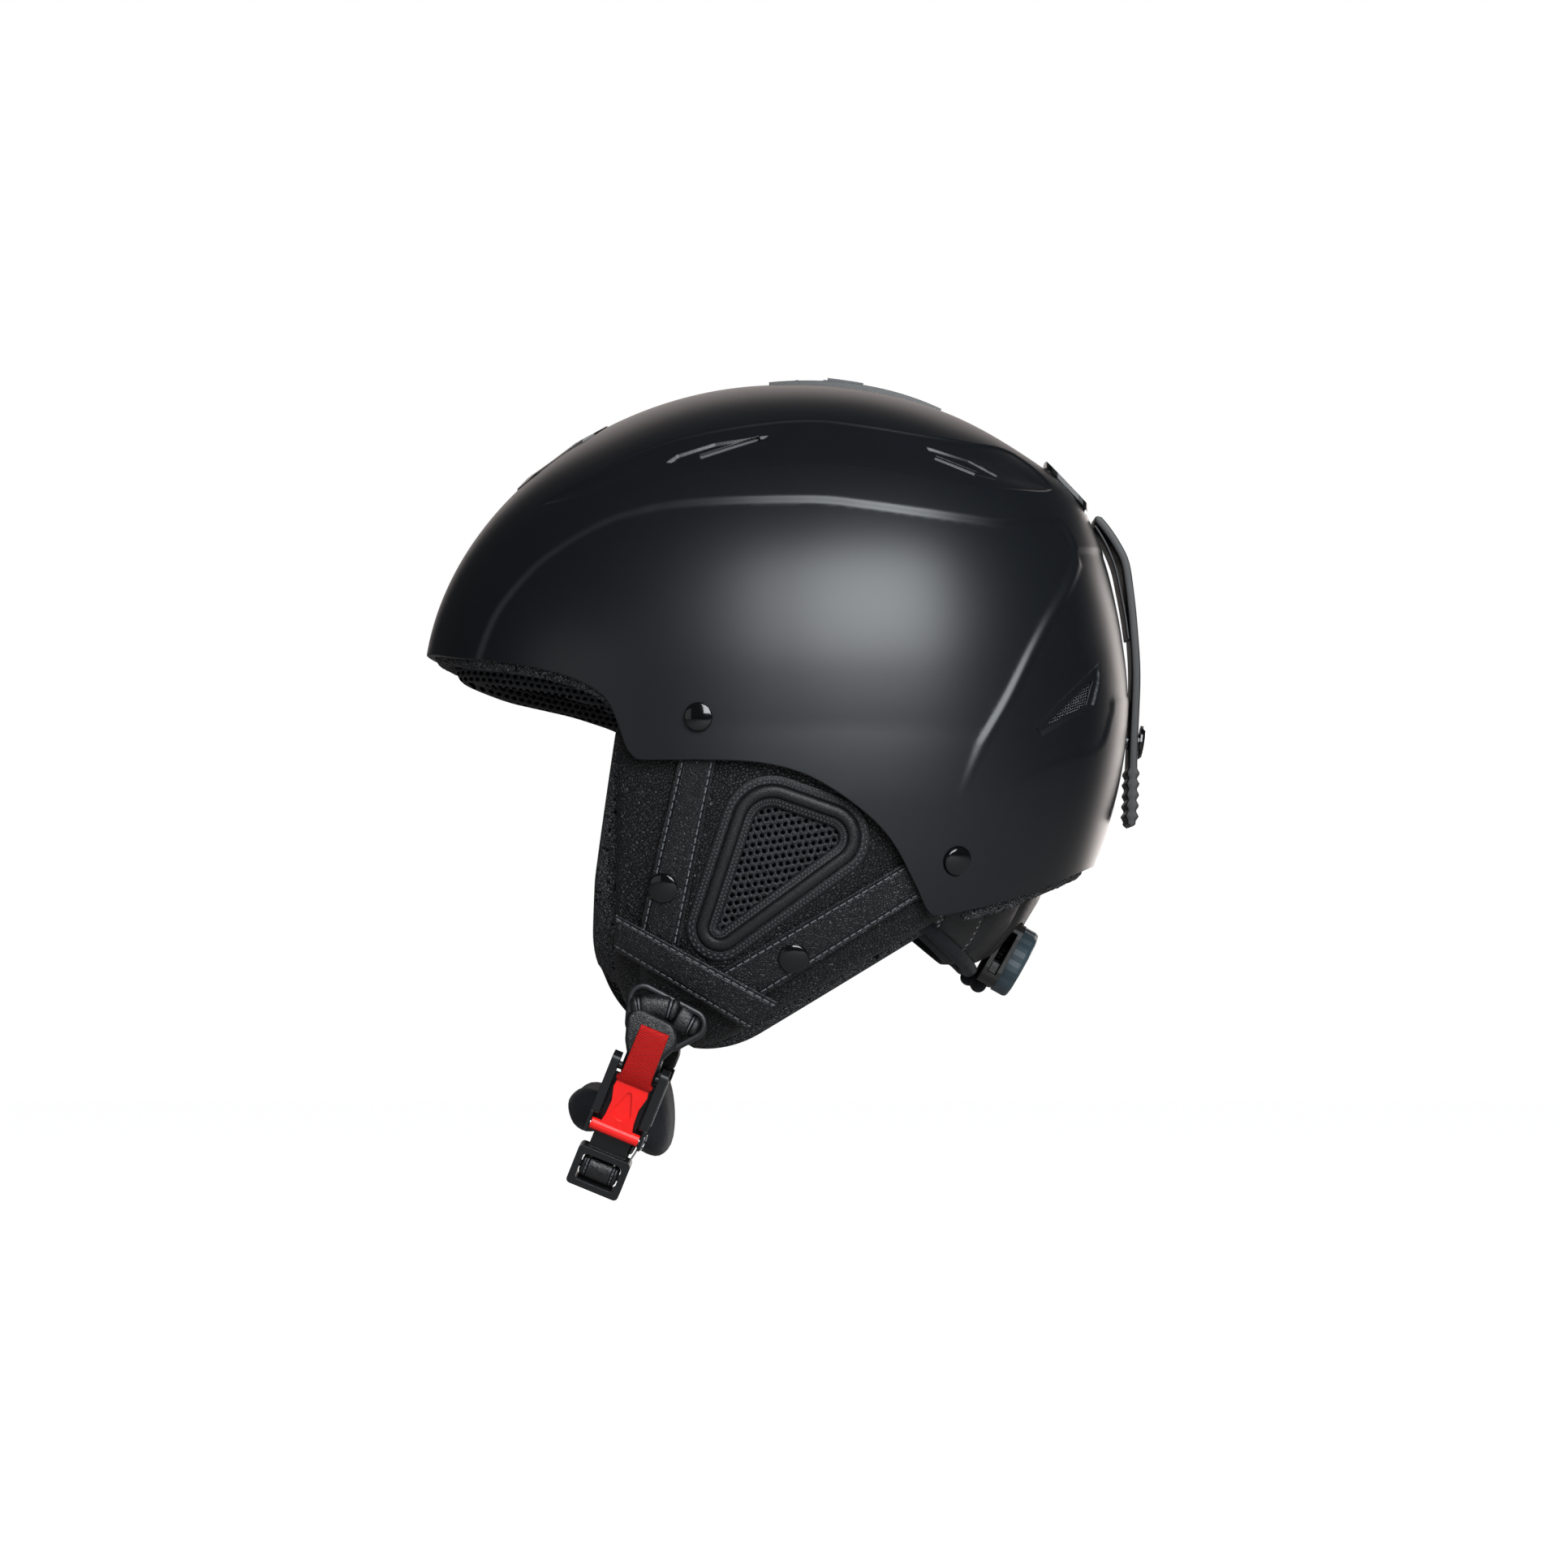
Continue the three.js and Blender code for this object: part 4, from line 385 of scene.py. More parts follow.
# %% Stage and light
def white_world():
    world = bpy.data.worlds.new("studio_world")
    bpy.context.scene.world = world
    world.use_nodes = True
    tree = world.node_tree
    tree.nodes.clear()
    path = tree.nodes.new("ShaderNodeLightPath")
    share = tree.nodes.new("ShaderNodeMath")
    share.operation = "MAXIMUM"
    plain = tree.nodes.new("ShaderNodeBackground")
    plain.inputs["Color"].default_value = (0.86, 0.93, 1, 1)
    plain.inputs["Strength"].default_value = 0.045
    seen = tree.nodes.new("ShaderNodeBackground")
    seen.inputs["Color"].default_value = (1, 1, 1, 1)
    seen.inputs["Strength"].default_value = 1
    blend = tree.nodes.new("ShaderNodeMixShader")
    out = tree.nodes.new("ShaderNodeOutputWorld")
    tree.links.new(path.outputs["Is Camera Ray"], share.inputs[0])
    tree.links.new(path.outputs["Is Transmission Ray"], share.inputs[1])
    tree.links.new(share.outputs[0], blend.inputs[0])
    tree.links.new(plain.outputs[0], blend.inputs[1])
    tree.links.new(seen.outputs[0], blend.inputs[2])
    tree.links.new(blend.outputs[0], out.inputs[0])


def white_floor():
    paper = Finish("white_floor")
    bright = paper.node("ShaderNodeEmission", {}, {"Strength": 0.97})
    flat = paper.node("ShaderNodeBsdfDiffuse", {}, {"Color": (0.42, 0.42, 0.42, 1)})
    both = paper.node("ShaderNodeAddShader", {}, {0: bright, 1: flat})
    path = paper.node("ShaderNodeLightPath", output="Is Camera Ray")
    shown = paper.node("ShaderNodeMixShader", {}, {0: path, 1: flat, 2: both})
    paper.node("ShaderNodeOutputMaterial", {}, {"Surface": shown}, None)
    shape = bmesh.new()
    bmesh.ops.create_grid(shape, x_segments=1, y_segments=1, size=4)
    mesh = bpy.data.meshes.new("floor")
    shape.to_mesh(mesh)
    shape.free()
    floor = bpy.data.objects.new("floor", mesh)
    mesh.transform(Matrix.Translation((0, 0, -0.3)))
    mesh.materials.append(paper.material)
    bpy.context.scene.collection.objects.link(floor)


def soft_light(name, way, distance, size, power, aim=(0.02, 0, 0), tint=(1, 1, 1)):
    """A square area light that stands off in a direction and looks at a point."""
    lamp = bpy.data.lights.new(name, "AREA")
    lamp.size = size
    lamp.energy = power
    lamp.color = tint
    holder = bpy.data.objects.new(name, lamp)
    bpy.context.scene.collection.objects.link(holder)
    way = Vector(way).normalized()
    holder.location = Vector(aim) + way * distance
    holder.rotation_euler = (-way).to_track_quat("-Z", "Y").to_euler()
    return holder


white_world()
white_floor()
soft_light("key_light", (0.29, -0.92, 0.42), 1.5, 0.95, 30, tint=(0.93, 0.97, 1))
soft_light("left_fill", (-0.75, -0.65, 0.0), 2.2, 1.4, 3)
soft_light("rear_rim", (0.55, 1.0, 0.03), 1.6, 0.9, 9, tint=(1, 0.92, 0.88))
soft_light("top_rim", (-0.05, 1.0, 0.5), 2.0, 1.5, 7, tint=(1, 0.9, 0.86))

# %% [markdown]
# The shell is soft-touch paint over moulded plastic: nearly black, with a slight blue cast, and so
# matt that a lamp becomes one wide glow. Up close it has a very fine sand-like grain. A plain grey
# with medium roughness gives the glow, and a tiny noise in the roughness and the bump gives grain.

# %% Satin paint
def satin_paint():
    paint = Finish("satin_paint")
    place = paint.place()
    grain = paint.noise(place, 0.5, 2)
    clouds = paint.noise(place, 14, 3)
    color = paint.mix(clouds, (0.0042, 0.0052, 0.0068), (0.0056, 0.0068, 0.0088))
    normal = paint.bump(grain, 0.012, 0.6, paint.eased(0.8))
    return paint.surface(color, 0.33 + 0.06 * grain, Normal=normal, Specular_IOR_Level=0.5)


shell_paint = satin_paint()

# %% [markdown]
# The moulded steps of the shell are what makes it this helmet and not a plain egg: a proud spine
# over the crown, a channel on each side of it with two vent scoops, a long side panel, and a rear
# zone that falls away behind a soft ridge. They could be painted on with a bump, but they also show
# on the outline, so they are shape. Walls cut straight in would face away from the light and look
# like pen lines. The real walls are slopes a millimetre or two wide, so the mesh is made finer
# along each outline and then pressed in by an amount that grows with the distance from it.

# %% Outlines of the steps in the side view
RIM = [(-0.993, 0.108), (-0.889, 0.073), (-0.792, 0.055), (-0.699, 0.036), (-0.564, -0.008),
       (-0.486, -0.053), (-0.449, -0.099), (-0.425, -0.167), (-0.405, -0.23), (-0.381, -0.263),
       (-0.344, -0.271), (-0.193, -0.272), (-0.042, -0.283), (0.087, -0.325), (0.216, -0.419),
       (0.303, -0.518), (0.369, -0.654), (0.398, -0.724), (0.425, -0.749), (0.481, -0.741),
       (0.662, -0.688), (0.895, -0.581)]
ABOVE_RIM = [(1.25, -0.42), (1.25, 1.25), (-1.25, 1.25), (-1.25, 0.118)]
SIDE_PANEL = [(-0.83, 0.02), (-0.825, 0.073), (-0.782, 0.195), (-0.733, 0.275), (-0.661, 0.362),
              (-0.59, 0.421), (-0.519, 0.468), (-0.449, 0.505), (-0.378, 0.526), (-0.308, 0.542),
              (-0.167, 0.554), (0.097, 0.558), (0.234, 0.543), (0.374, 0.523), (0.516, 0.505),
              (0.624, 0.497), (0.776, 0.523), (0.833, 0.426), (0.828, 0.372), (0.795, 0.281),
              (0.748, 0.192), (0.696, 0.082), (0.623, -0.084), (0.552, -0.222)]
SIDE_PANEL_FOOT = [(0.47, -0.45), (-0.6, -0.45)]
REAR_ZONE = [(0.475, -0.45), (0.633, -0.352), (0.78, -0.267), (0.896, -0.217), (0.937, -0.097),
             (0.967, -0.049), (1.25, 0.02), (1.25, 0.44), (0.84, 0.43), (0.832, 0.372),
             (0.799, 0.281), (0.752, 0.192), (0.7, 0.082), (0.627, -0.084), (0.556, -0.222)]
CHANNEL = [(-0.644, 0.556), (-0.525, 0.635), (-0.335, 0.743), (-0.102, 0.805), (0.089, 0.826),
           (0.238, 0.807), (0.381, 0.783), (0.526, 0.764), (0.661, 0.747), (0.767, 0.623),
           (0.598, 0.601), (0.418, 0.621), (0.264, 0.651), (0.088, 0.663), (-0.131, 0.648),
           (-0.307, 0.619)]
FRONT_SCOOP = [(-0.32, 0.674), (-0.28, 0.713), (-0.176, 0.753), (0, 0.785), (-0.05, 0.748), (-0.22, 0.682)]
FRONT_SLOT = [(-0.215, 0.701), (-0.055, 0.764), (-0.05, 0.75), (-0.21, 0.684)]
REAR_SCOOP = [(0.4, 0.75), (0.534, 0.709), (0.624, 0.654), (0.6, 0.636), (0.52, 0.652), (0.43, 0.69)]
REAR_SLOT = [(0.432, 0.705), (0.548, 0.655), (0.54, 0.64), (0.428, 0.69)]
REAR_RECESS = [(0.701, -0.165), (0.778, -0.066), (0.903, 0.069), (0.899, -0.007), (0.88, -0.087), (0.72, -0.193)]
REAR_OPENING = [(0.726, -0.156), (0.788, -0.086), (0.867, 0.0), (0.846, -0.083)]


def inside_by(outline, points):
    """Distance of side-view points from an outline, positive inside it."""
    corners = np.asarray(outline)
    nearest = np.full(len(points), 1e9)
    crossings = np.zeros(len(points), int)
    for a, b in zip(corners, np.roll(corners, -1, axis=0)):
        run = b - a
        share = np.clip(((points - a) @ run) / max(run @ run, 1e-12), 0, 1)
        nearest = np.minimum(nearest, np.linalg.norm(points - a - share[:, None] * run, axis=1))
        spans = (a[1] > points[:, 1]) != (b[1] > points[:, 1])
        at = a[0] + (points[:, 1] - a[1]) * run[0] / (run[1] if abs(run[1]) > 1e-12 else 1e-12)
        crossings += spans & (points[:, 0] < at)
    return np.where(crossings % 2 == 1, nearest, -nearest)


def eased(value, width):
    """0 at nothing, 1 past a width, and smooth between."""
    share = np.clip(value / width, 0, 1)
    return share * share * (3 - 2 * share)


rim_line = flowing(side_outline(RIM), 5, closed=False)
rim_outline = rim_line + side_outline(ABOVE_RIM)
panel_outline = flowing(side_outline(SIDE_PANEL), 5, closed=False) + side_outline(SIDE_PANEL_FOOT)
channel_outline = flowing(side_outline(CHANNEL), 5)
rear_outline = flowing(side_outline(REAR_ZONE), 4)
scoop_outlines = [side_outline(o) for o in (FRONT_SCOOP, REAR_SCOOP, REAR_RECESS)]
print("rim outline has", len(rim_outline), "points")


def step_depth(ways):
    """How deep the moulded steps lie below the plain egg, in each direction."""
    spots = ways * head_radius(ways)[:, None]
    flat = spots[:, [0, 2]]
    fade = np.clip((flat[:, 1] / CROWN_HEIGHT + 0.39) / 0.22, 0, 1)
    tilt = np.degrees(np.arctan2(np.abs(ways[:, 1]), ways[:, 2]))
    panel = 1.15 * eased(inside_by(panel_outline, flat), 2.6) * fade
    rear_in = inside_by(rear_outline, flat)
    rear = (0.5 * eased(rear_in, 2.2) + 1.1 * eased(rear_in, 26)) * fade
    channel_in = inside_by(channel_outline, flat)
    channel = (0.55 * eased(channel_in, 0.9) + 0.9 * eased(channel_in, 7)) * np.clip((47 - tilt) / 13, 0, 1)
    scoops = [np.where(eased(inside_by(o, flat), 1.2) > 0, 1.9 * eased(inside_by(o, flat), 1.2), 0)
              for o in scoop_outlines]
    return np.maximum.reduce([panel, rear, channel, *scoops])


def near_steps(spots, reach, fine):
    """Which points lie close to an outline of the steps."""
    flat = spots[:, [0, 2]]
    lines = [channel_outline, *scoop_outlines] + ([] if fine else [panel_outline, rear_outline])
    found = np.zeros(len(flat), bool)
    for outline in lines:
        found |= np.abs(inside_by(outline, flat)) < reach
    return found & (flat[:, 1] > -50)

# %% The shell, cut step by step
VENT_CENTRE = Vector((-2.8831, 0, -78.1874))
VENT_RADIUS, VENT_LEAN = 199, math.radians(9.6)


def arc_outline(start, end, low, high, steps=24):
    """Side-view outline of a block along the vent's arc, between two radii."""
    def at(radius, along):
        turn = along / VENT_RADIUS + VENT_LEAN
        return VENT_CENTRE.x + radius * math.sin(turn), VENT_CENTRE.z + radius * math.cos(turn)
    stops = np.linspace(start, end, steps + 1)
    return [at(high, s) for s in stops] + [at(low, s) for s in stops[::-1]]


def plate_outline(length, width, radius, steps=8):
    """A rounded rectangle round the origin."""
    found = []
    for sign_a, sign_b, start in ((1, 1, 0), (-1, 1, 90), (-1, -1, 180), (1, -1, 270)):
        for turn in np.radians(start + np.linspace(0, 90, steps + 1)):
            found.append((sign_a * (length / 2 - radius) + radius * math.cos(turn),
                          sign_b * (width / 2 - radius) + radius * math.sin(turn)))
    return found


def moved(outline, along):
    """An outline moved along X."""
    return [(a + along, b) for a, b in outline]


def surface_frame(x, z, depth):
    """Where the near surface is at a point of the side view, and the turn that faces it."""
    here = Vector((x, -float(side_reach(x, z, depth)), z))
    ahead = Vector((x + 3, -float(side_reach(x + 3, z, depth)), z))
    above = Vector((x, -float(side_reach(x, z + 3, depth)), z + 3))
    out = (ahead - here).cross(above - here).normalized()
    return here, Vector((0, 0, 1)).rotation_difference(out)


def turned(profile, steps=48):
    """A bmesh turned about Z from a profile of radius and height, closed at both ends."""
    shape = bmesh.new()
    verts = [shape.verts.new((radius, 0, height)) for radius, height in profile]
    edges = [shape.edges.new(pair) for pair in zip(verts, verts[1:])]
    bmesh.ops.spin(shape, geom=verts + edges, cent=(0, 0, 0), axis=(0, 0, 1), dvec=(0, 0, 0),
                   angle=math.tau, steps=steps, use_merge=True)
    bmesh.ops.remove_doubles(shape, verts=shape.verts, dist=1e-4)
    bmesh.ops.recalc_face_normals(shape, faces=shape.faces)
    return shape


def set_on(shape, x, z, depth, side):
    """Moves a bmesh on to the surface, square to it, on one side of the helmet."""
    here, turn = surface_frame(x, z, depth)
    bmesh.ops.transform(shape, matrix=Matrix.Translation(here) @ turn.to_matrix().to_4x4(), verts=shape.verts)
    return on_side(shape, side)


def on_side(shape, side):
    """Turns a near-side bmesh over to the far side where it is asked for."""
    if side == RIGHT:
        bmesh.ops.scale(shape, vec=(1, -1, 1), verts=shape.verts)
        bmesh.ops.reverse_faces(shape, faces=shape.faces)
    return shape


RIVETS = {"front": (-0.212, -0.14), "rear": (0.483, -0.581)}


def pressed_egg():
    """The outer form of the shell, with finer mesh along its steps."""
    around = 240
    shape = bmesh.new()
    bmesh.ops.create_uvsphere(shape, u_segments=around, v_segments=around // 2, radius=1)
    for reach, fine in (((6, False), (3.6, False), (1.5, True))):
        ways = np.array([v.co.normalized() for v in shape.verts])
        chosen = near_steps(ways * head_radius(ways)[:, None], reach, fine)
        shape.verts.ensure_lookup_table()
        close = [e for e in shape.edges if chosen[e.verts[0].index] and chosen[e.verts[1].index]]
        bmesh.ops.subdivide_edges(shape, edges=close, cuts=1, use_grid_fill=True)
        shape.verts.index_update()
    ways = np.array([v.co.normalized() for v in shape.verts])
    radius = head_radius(ways) - step_depth(ways)
    for vert, co in zip(shape.verts, ways * radius[:, None]):
        vert.co = co
    return shape


def make_shell():
    shell = loose("shell", pressed_egg())
    carve(shell, loose("hollow", head_form(SHELL_WALL, 120, 60)))
    for name, outline in (("front_slot", FRONT_SLOT), ("rear_slot", REAR_SLOT), ("rear_opening", REAR_OPENING)):
        carve(shell, loose(name, prism(side_outline(outline), -THROUGH, THROUGH)))
    carve(shell, sunk_tool("trim_bed", moved(plate_outline(35.6, 50.6, 9.3), -85), 1.5, axis="Z", low=0))
    carve(shell, loose("trim_hole", prism(moved(plate_outline(26.6, 41.6, 4.8), -85), 0, THROUGH, "Z")))
    carve(shell, loose("grille_hole", prism(moved(plate_outline(16.6, 38.6, 4.3), 112.4), 0, THROUGH, "Z")))
    carve(shell, loose("rail_bed", prism(arc_outline(-34.8, 34.8, 197.4, 230), -13.8, 13.8)))
    carve(shell, loose("stem_slot", prism(arc_outline(-8.9, 10.7, 170, 230, 6), -2.8, 2.8)))
    carve(shell, loose("crown_window", prism(arc_outline(16.95, 25.95, 170, 230, 6), -5.5, 5.5)))
    for a, b in side_outline(RIVETS.values()):
        for side in SIDES.values():
            seat = turned([(0, -8), (2.7, -8), (2.7, -0.9), (5.6, -0.9), (5.6, 4), (0, 4)])
            carve(shell, loose("rivet_seat", set_on(seat, a, b, 0, side)))
    carve(shell, loose("rim_cut", prism(rim_outline, -THROUGH, THROUGH)), "INTERSECT")
    return dress(shell, shell_paint, stands_for=["outer_shell"], smooth=24)


shell = make_shell()
print("shell faces:", len(shell.data.polygons))

# %% [markdown]
# Black on black only reads through texture, so each black is a different finish. Leather is made
# from cells with creases between them, bent a little by noise so that no two are alike, and the
# creases are painted darker as shade. The straps use the same hide with a finer, flatter grain, and
# carry a row of stitches near each edge. Stitches follow the strip coordinates of a piece, one metre
# to one unit, so they keep their size.

# %% Leather and stitches
def hide(leather, place, size, depth, color, crease_shade):
    """Colour and bump of pebbled leather with cells of a size in millimetres, its creases painted darker as shade."""
    warp = leather.node("ShaderNodeTexNoise", {}, {"Vector": place, "Scale": 1 / (2.2 * size * mm), "Detail": 1}, 1)
    bent = leather.node("ShaderNodeVectorMath", {"operation": "MULTIPLY_ADD"},
                        {0: warp, 1: (size * mm * 0.9,) * 3, 2: place})
    edge = leather.cells(bent, size, "DISTANCE_TO_EDGE")
    pebble = edge.ramp(0.0, 0.22)
    grain = leather.noise(place, size * 0.3, 2)
    # painted shade: the creases between pebbles, the low parts of the bump, take the darker colour
    shade = leather.mix(pebble, crease_shade, color)
    height = pebble + 0.25 * grain
    return shade, height, leather.bump(height, depth)


def stitch_rows(along, across, half, inset=1.7, pitch=3.1):
    """1 on the threads of two rows of stitches, set in from both edges."""
    row = abs(abs(across) - (half - inset) * mm)
    thread = 1 - row.ramp(0.16 * mm, 0.34 * mm)
    beat = abs(along.wrapped(pitch * mm) - pitch * 0.5 * mm)
    dash = 1 - beat.ramp(pitch * 0.3 * mm, pitch * 0.42 * mm)
    furrow = 1 - row.ramp(0.2 * mm, 0.9 * mm)
    return thread * dash, furrow


def pebbled_leather():
    leather = Finish("pebbled_leather")
    place = leather.place()
    # the second colour is the painted shade of the creases
    color, height, normal = hide(leather, place, 1.3, 0.5, (0.0095, 0.0098, 0.011), (0.0015, 0.0015, 0.0018))
    return leather.surface(color, 0.52 - 0.1 * height, Normal=normal, Specular_IOR_Level=0.42)


def stitched_leather(name, half, rows=True):
    leather = Finish(name)
    place = leather.place()
    # the second colour is the painted shade of the creases
    color, height, normal = hide(leather, place, 0.8, 0.14, (0.0065, 0.0067, 0.0076), (0.003, 0.003, 0.0034))
    wrinkles = leather.noise(place, 7, 2, 0.6)
    normal = leather.bump(wrinkles, 1.1, 0.6, normal)
    if rows:
        along, across, _ = leather.parts(leather.along())
        thread, furrow = stitch_rows(along, across, half)
        color = leather.mix(thread, color, (0.15, 0.155, 0.17))
        normal = leather.bump(thread * 0.8 - furrow, 0.45, 0.9, normal)
    return leather.surface(color, 0.28 + 0.1 * height, Normal=normal, Specular_IOR_Level=0.45)


pad_leather = pebbled_leather()
plain_leather = stitched_leather("plain_leather", 0, rows=False)

# %% [markdown]
# Fleece and knitted fabrics are soft because light catches the tips of their fibres. The sheen of
# the shader gives that edge glow, and noise at the size of a fibre bundle breaks up the surface; the
# gaps between tufts are painted flat black as shade. The spacer mesh over the ear and brow is a grid
# of small holes in staggered rows, written as maths, and the holes are painted flat black as the
# shade inside them.

# %% Fleece, mesh, velvet and foam
def speckled_fleece(name="speckled_fleece", color=(0.02, 0.0205, 0.022), fleck=(0.34, 0.345, 0.36), reach=0.55):
    fleece = Finish(name)
    place = fleece.place()
    tufts = fleece.cells(place, 1.5)
    strands = fleece.noise(place, 0.45, 3, 0.7)
    specks = fleece.noise(place, 0.55, 2, 0.7).ramp(reach, reach + 0.08)
    shade = fleece.mix(specks, color, fleck)
    normal = fleece.bump(strands - tufts, 0.8)
    # the gaps between tufts, where the mask falls to 0, are painted flat black as the shade between them
    return fleece.surface(shade, 0.95, (1 - tufts).ramp(0.08, 0.34), Normal=normal, Specular_IOR_Level=0.25,
                          Sheen_Weight=0.05)


def spacer_mesh(name, pitch=(2.66, 2.9), color=(0.03, 0.031, 0.034), lean=0.16, hole=0.3):
    mesh = Finish(name)
    x, _, z = mesh.parts(mesh.place())
    across = (x + z * lean) / (pitch[0] * mm)
    down = (z - x * lean) / (pitch[1] * mm)
    row = mesh.node("ShaderNodeMath", {"operation": "FLOOR"}, {0: down})
    shift = row.wrapped(2) * 0.5
    u = (across + shift).wrapped(1) - 0.5
    v = down.wrapped(1) - 0.5
    away = mesh.node("ShaderNodeMath", {"operation": "SQRT"}, {0: u * u + v * v * 1.15})
    fibres = mesh.noise(mesh.place(), 0.42, 3, 0.7)
    # where this mask is 0 the holes are painted flat black, as the shade seen inside them
    solid = (away + 0.25 * fibres).ramp(hole + 0.1, hole + 0.19)
    shade = mesh.mix(fibres.ramp(0.4, 0.68), tuple(0.12 * c for c in color), tuple(2.4 * c for c in color))
    normal = mesh.bump(away.ramp(0.2, 0.6) + 0.5 * fibres, 0.7)
    return mesh.surface(shade, 0.7, solid, Normal=normal, Specular_IOR_Level=0.3)


def soft_velvet():
    velvet = Finish("soft_velvet")
    place = velvet.place()
    nap = velvet.noise(place, 4, 3, 0.65)
    tips = velvet.noise(place, 0.3, 1)
    shade = velvet.mix(nap, (0.004, 0.0045, 0.0065), (0.0095, 0.0105, 0.0145))
    normal = velvet.bump(tips, 0.12, 0.8, velvet.bump(nap, 0.8, 0.5))
    return velvet.surface(shade, 0.9, Normal=normal, Sheen_Weight=0.08, Sheen_Roughness=0.35)


def bead_foam():
    foam = Finish("bead_foam")
    beads = foam.cells(foam.place(), 3.2)
    shade = foam.mix(beads, (0.02, 0.02, 0.022), (0.012, 0.012, 0.013))
    return foam.surface(shade, 0.85, Normal=foam.bump(beads, 0.3))


edge_fleece = speckled_fleece()
inner_fleece = speckled_fleece("inner_fleece", (0.009, 0.009, 0.01), (0.025, 0.025, 0.028), 0.6)
ear_mesh_cloth = spacer_mesh("ear_mesh_cloth")
brow_mesh_cloth = spacer_mesh("brow_mesh_cloth", (2.9, 2.3), lean=-0.18)
vent_mesh_cloth = spacer_mesh("vent_mesh_cloth", (1.15, 1.0), (0.11, 0.115, 0.125), lean=0.4, hole=0.33)
velvet = soft_velvet()
foam = bead_foam()

# %% [markdown]
# The hard small parts are glossy black caps, satin black mouldings, bright steel, a red lever and
# a blue-grey dial. Moulded plastic has a very fine spark texture, and its edges are never sharp:
# the shader sees them as rounded, which costs nothing and also works on the plain CAD solids.

# %% Caps, mouldings, metal and rubber
def moulding(name, color, roughness, grain=0.03, round_edge=0.4, **extra):
    plastic = Finish(name)
    spark = plastic.noise(plastic.place(), 0.35, 2)
    stain = plastic.noise(plastic.place(), 9, 2)
    shade = plastic.mix(stain, color, tuple(c * 1.25 for c in color))
    normal = plastic.bump(spark, grain, 0.7, plastic.eased(round_edge))
    return plastic.surface(shade, roughness + 0.08 * spark, Normal=normal, **extra)


def polished_black():
    lacquer = Finish("polished_black")
    wear = lacquer.noise(lacquer.place(), 3, 3)
    return lacquer.surface(lacquer.mix(wear, (0.0025, 0.0025, 0.003), (0.0035, 0.0035, 0.004)),
                           0.07 + 0.05 * wear, Normal=lacquer.eased(0.3), Specular_IOR_Level=0.6)


def bright_steel():
    steel = Finish("bright_steel")
    scratches = steel.noise(steel.place(), 0.4, 3)
    return steel.surface(steel.mix(scratches, (0.5, 0.5, 0.52), (0.62, 0.62, 0.64)), 0.2 + 0.15 * scratches,
                         Metallic=1.0, Normal=steel.eased(0.15))


cap_black = polished_black()
trim_black = moulding("trim_black", (0.0085, 0.009, 0.0105), 0.34)
rail_black = moulding("rail_black", (0.0065, 0.0066, 0.007), 0.26, 0.01)
# painted highlight: the slot lips are coloured light grey to stand in for the light their edge catches
lip_highlight_grey = moulding("lip_highlight_grey", (0.1, 0.104, 0.112), 0.35, 0.02, 0.2)
slider_black = moulding("slider_black", (0.05, 0.052, 0.06), 0.4, 0.05, 0.2)
band_rubber = moulding("band_rubber", (0.008, 0.0082, 0.009), 0.42, 0.02)
signal_red = moulding("signal_red", (0.95, 0.012, 0.009), 0.32, 0.015, 0.35)
dial_blue = moulding("dial_blue", (0.032, 0.052, 0.066), 0.42, 0.03, 0.35)
housing_brown = moulding("housing_brown", (0.012, 0.011, 0.0105), 0.5)
steel = bright_steel()
print("finishes:", len(bpy.data.materials))

# %% [markdown]
# Four rivets hold the liner to the shell, and two press studs on each ear pad hold its straps.
# All are low black domes with a soft shoulder. A dome is a profile turned about its own axis, then
# set square to the surface where it belongs. The photograph shows the light as a small crescent
# on each, which only a true dome gives, so they are geometry and not a bump.

# %% Rivets and press studs
STRAP_DEPTH = SHELL_WALL + 0.9
SNAPS = {"front": (-0.308, -0.664), "rear": (0.04, -0.882)}


def dome(radius, rise, shoulder, foot):
    """Profile of a cap: its foot, a rounded shoulder and a low dome."""
    rim = [(0, foot), (radius - 0.5, foot), (radius, foot + 0.4)]
    over = [(radius - shoulder + shoulder * math.cos(t), shoulder * 0.5 + shoulder * math.sin(t) * 0.6)
            for t in np.radians((0, 25, 50, 75))]
    top = [(radius * s, rise * (1 - (s ** 2) * 0.45)) for s in (0.7, 0.5, 0.3, 0.12, 0)]
    return rim + over + top


def make_caps():
    for side_name, side in SIDES.items():
        for where, (a, b) in RIVETS.items():
            x, z = side_outline([(a, b)])[0]
            piece(f"rivet_cap_{where}_{side_name}", set_on(turned(dome(5.3, 1.9, 1.2, -0.6)), x, z, 0, side), cap_black,
                  stands_for=[f"rivet_{where}_{side_name}"], smooth=50)
        for where, (a, b) in SNAPS.items():
            x, z = side_outline([(a, b)])[0]
            piece(f"stud_cap_{where}_{side_name}", set_on(turned(dome(5.7, 2.2, 1.3, 0.3)), x, z, STRAP_DEPTH, side),
                  cap_black, stands_for=[f"{where}_snap_{side_name}"], smooth=50)


make_caps()
print("caps made for", len(SIDES), "sides")

# %% [markdown]
# Each ear pad is a leather panel over a fleece lining, with a padded ring round a mesh window. All
# three follow one kind of outline, the line a belt would take round a few circles. They are made
# the same way: a profile is turned like a plate on a wheel, and then every point of the plate is
# moved so that its round edge lies on the belt line and its face lies on the helmet's surface.
# A grid projected on to the surface would need trimming, and would leave a stepped edge.

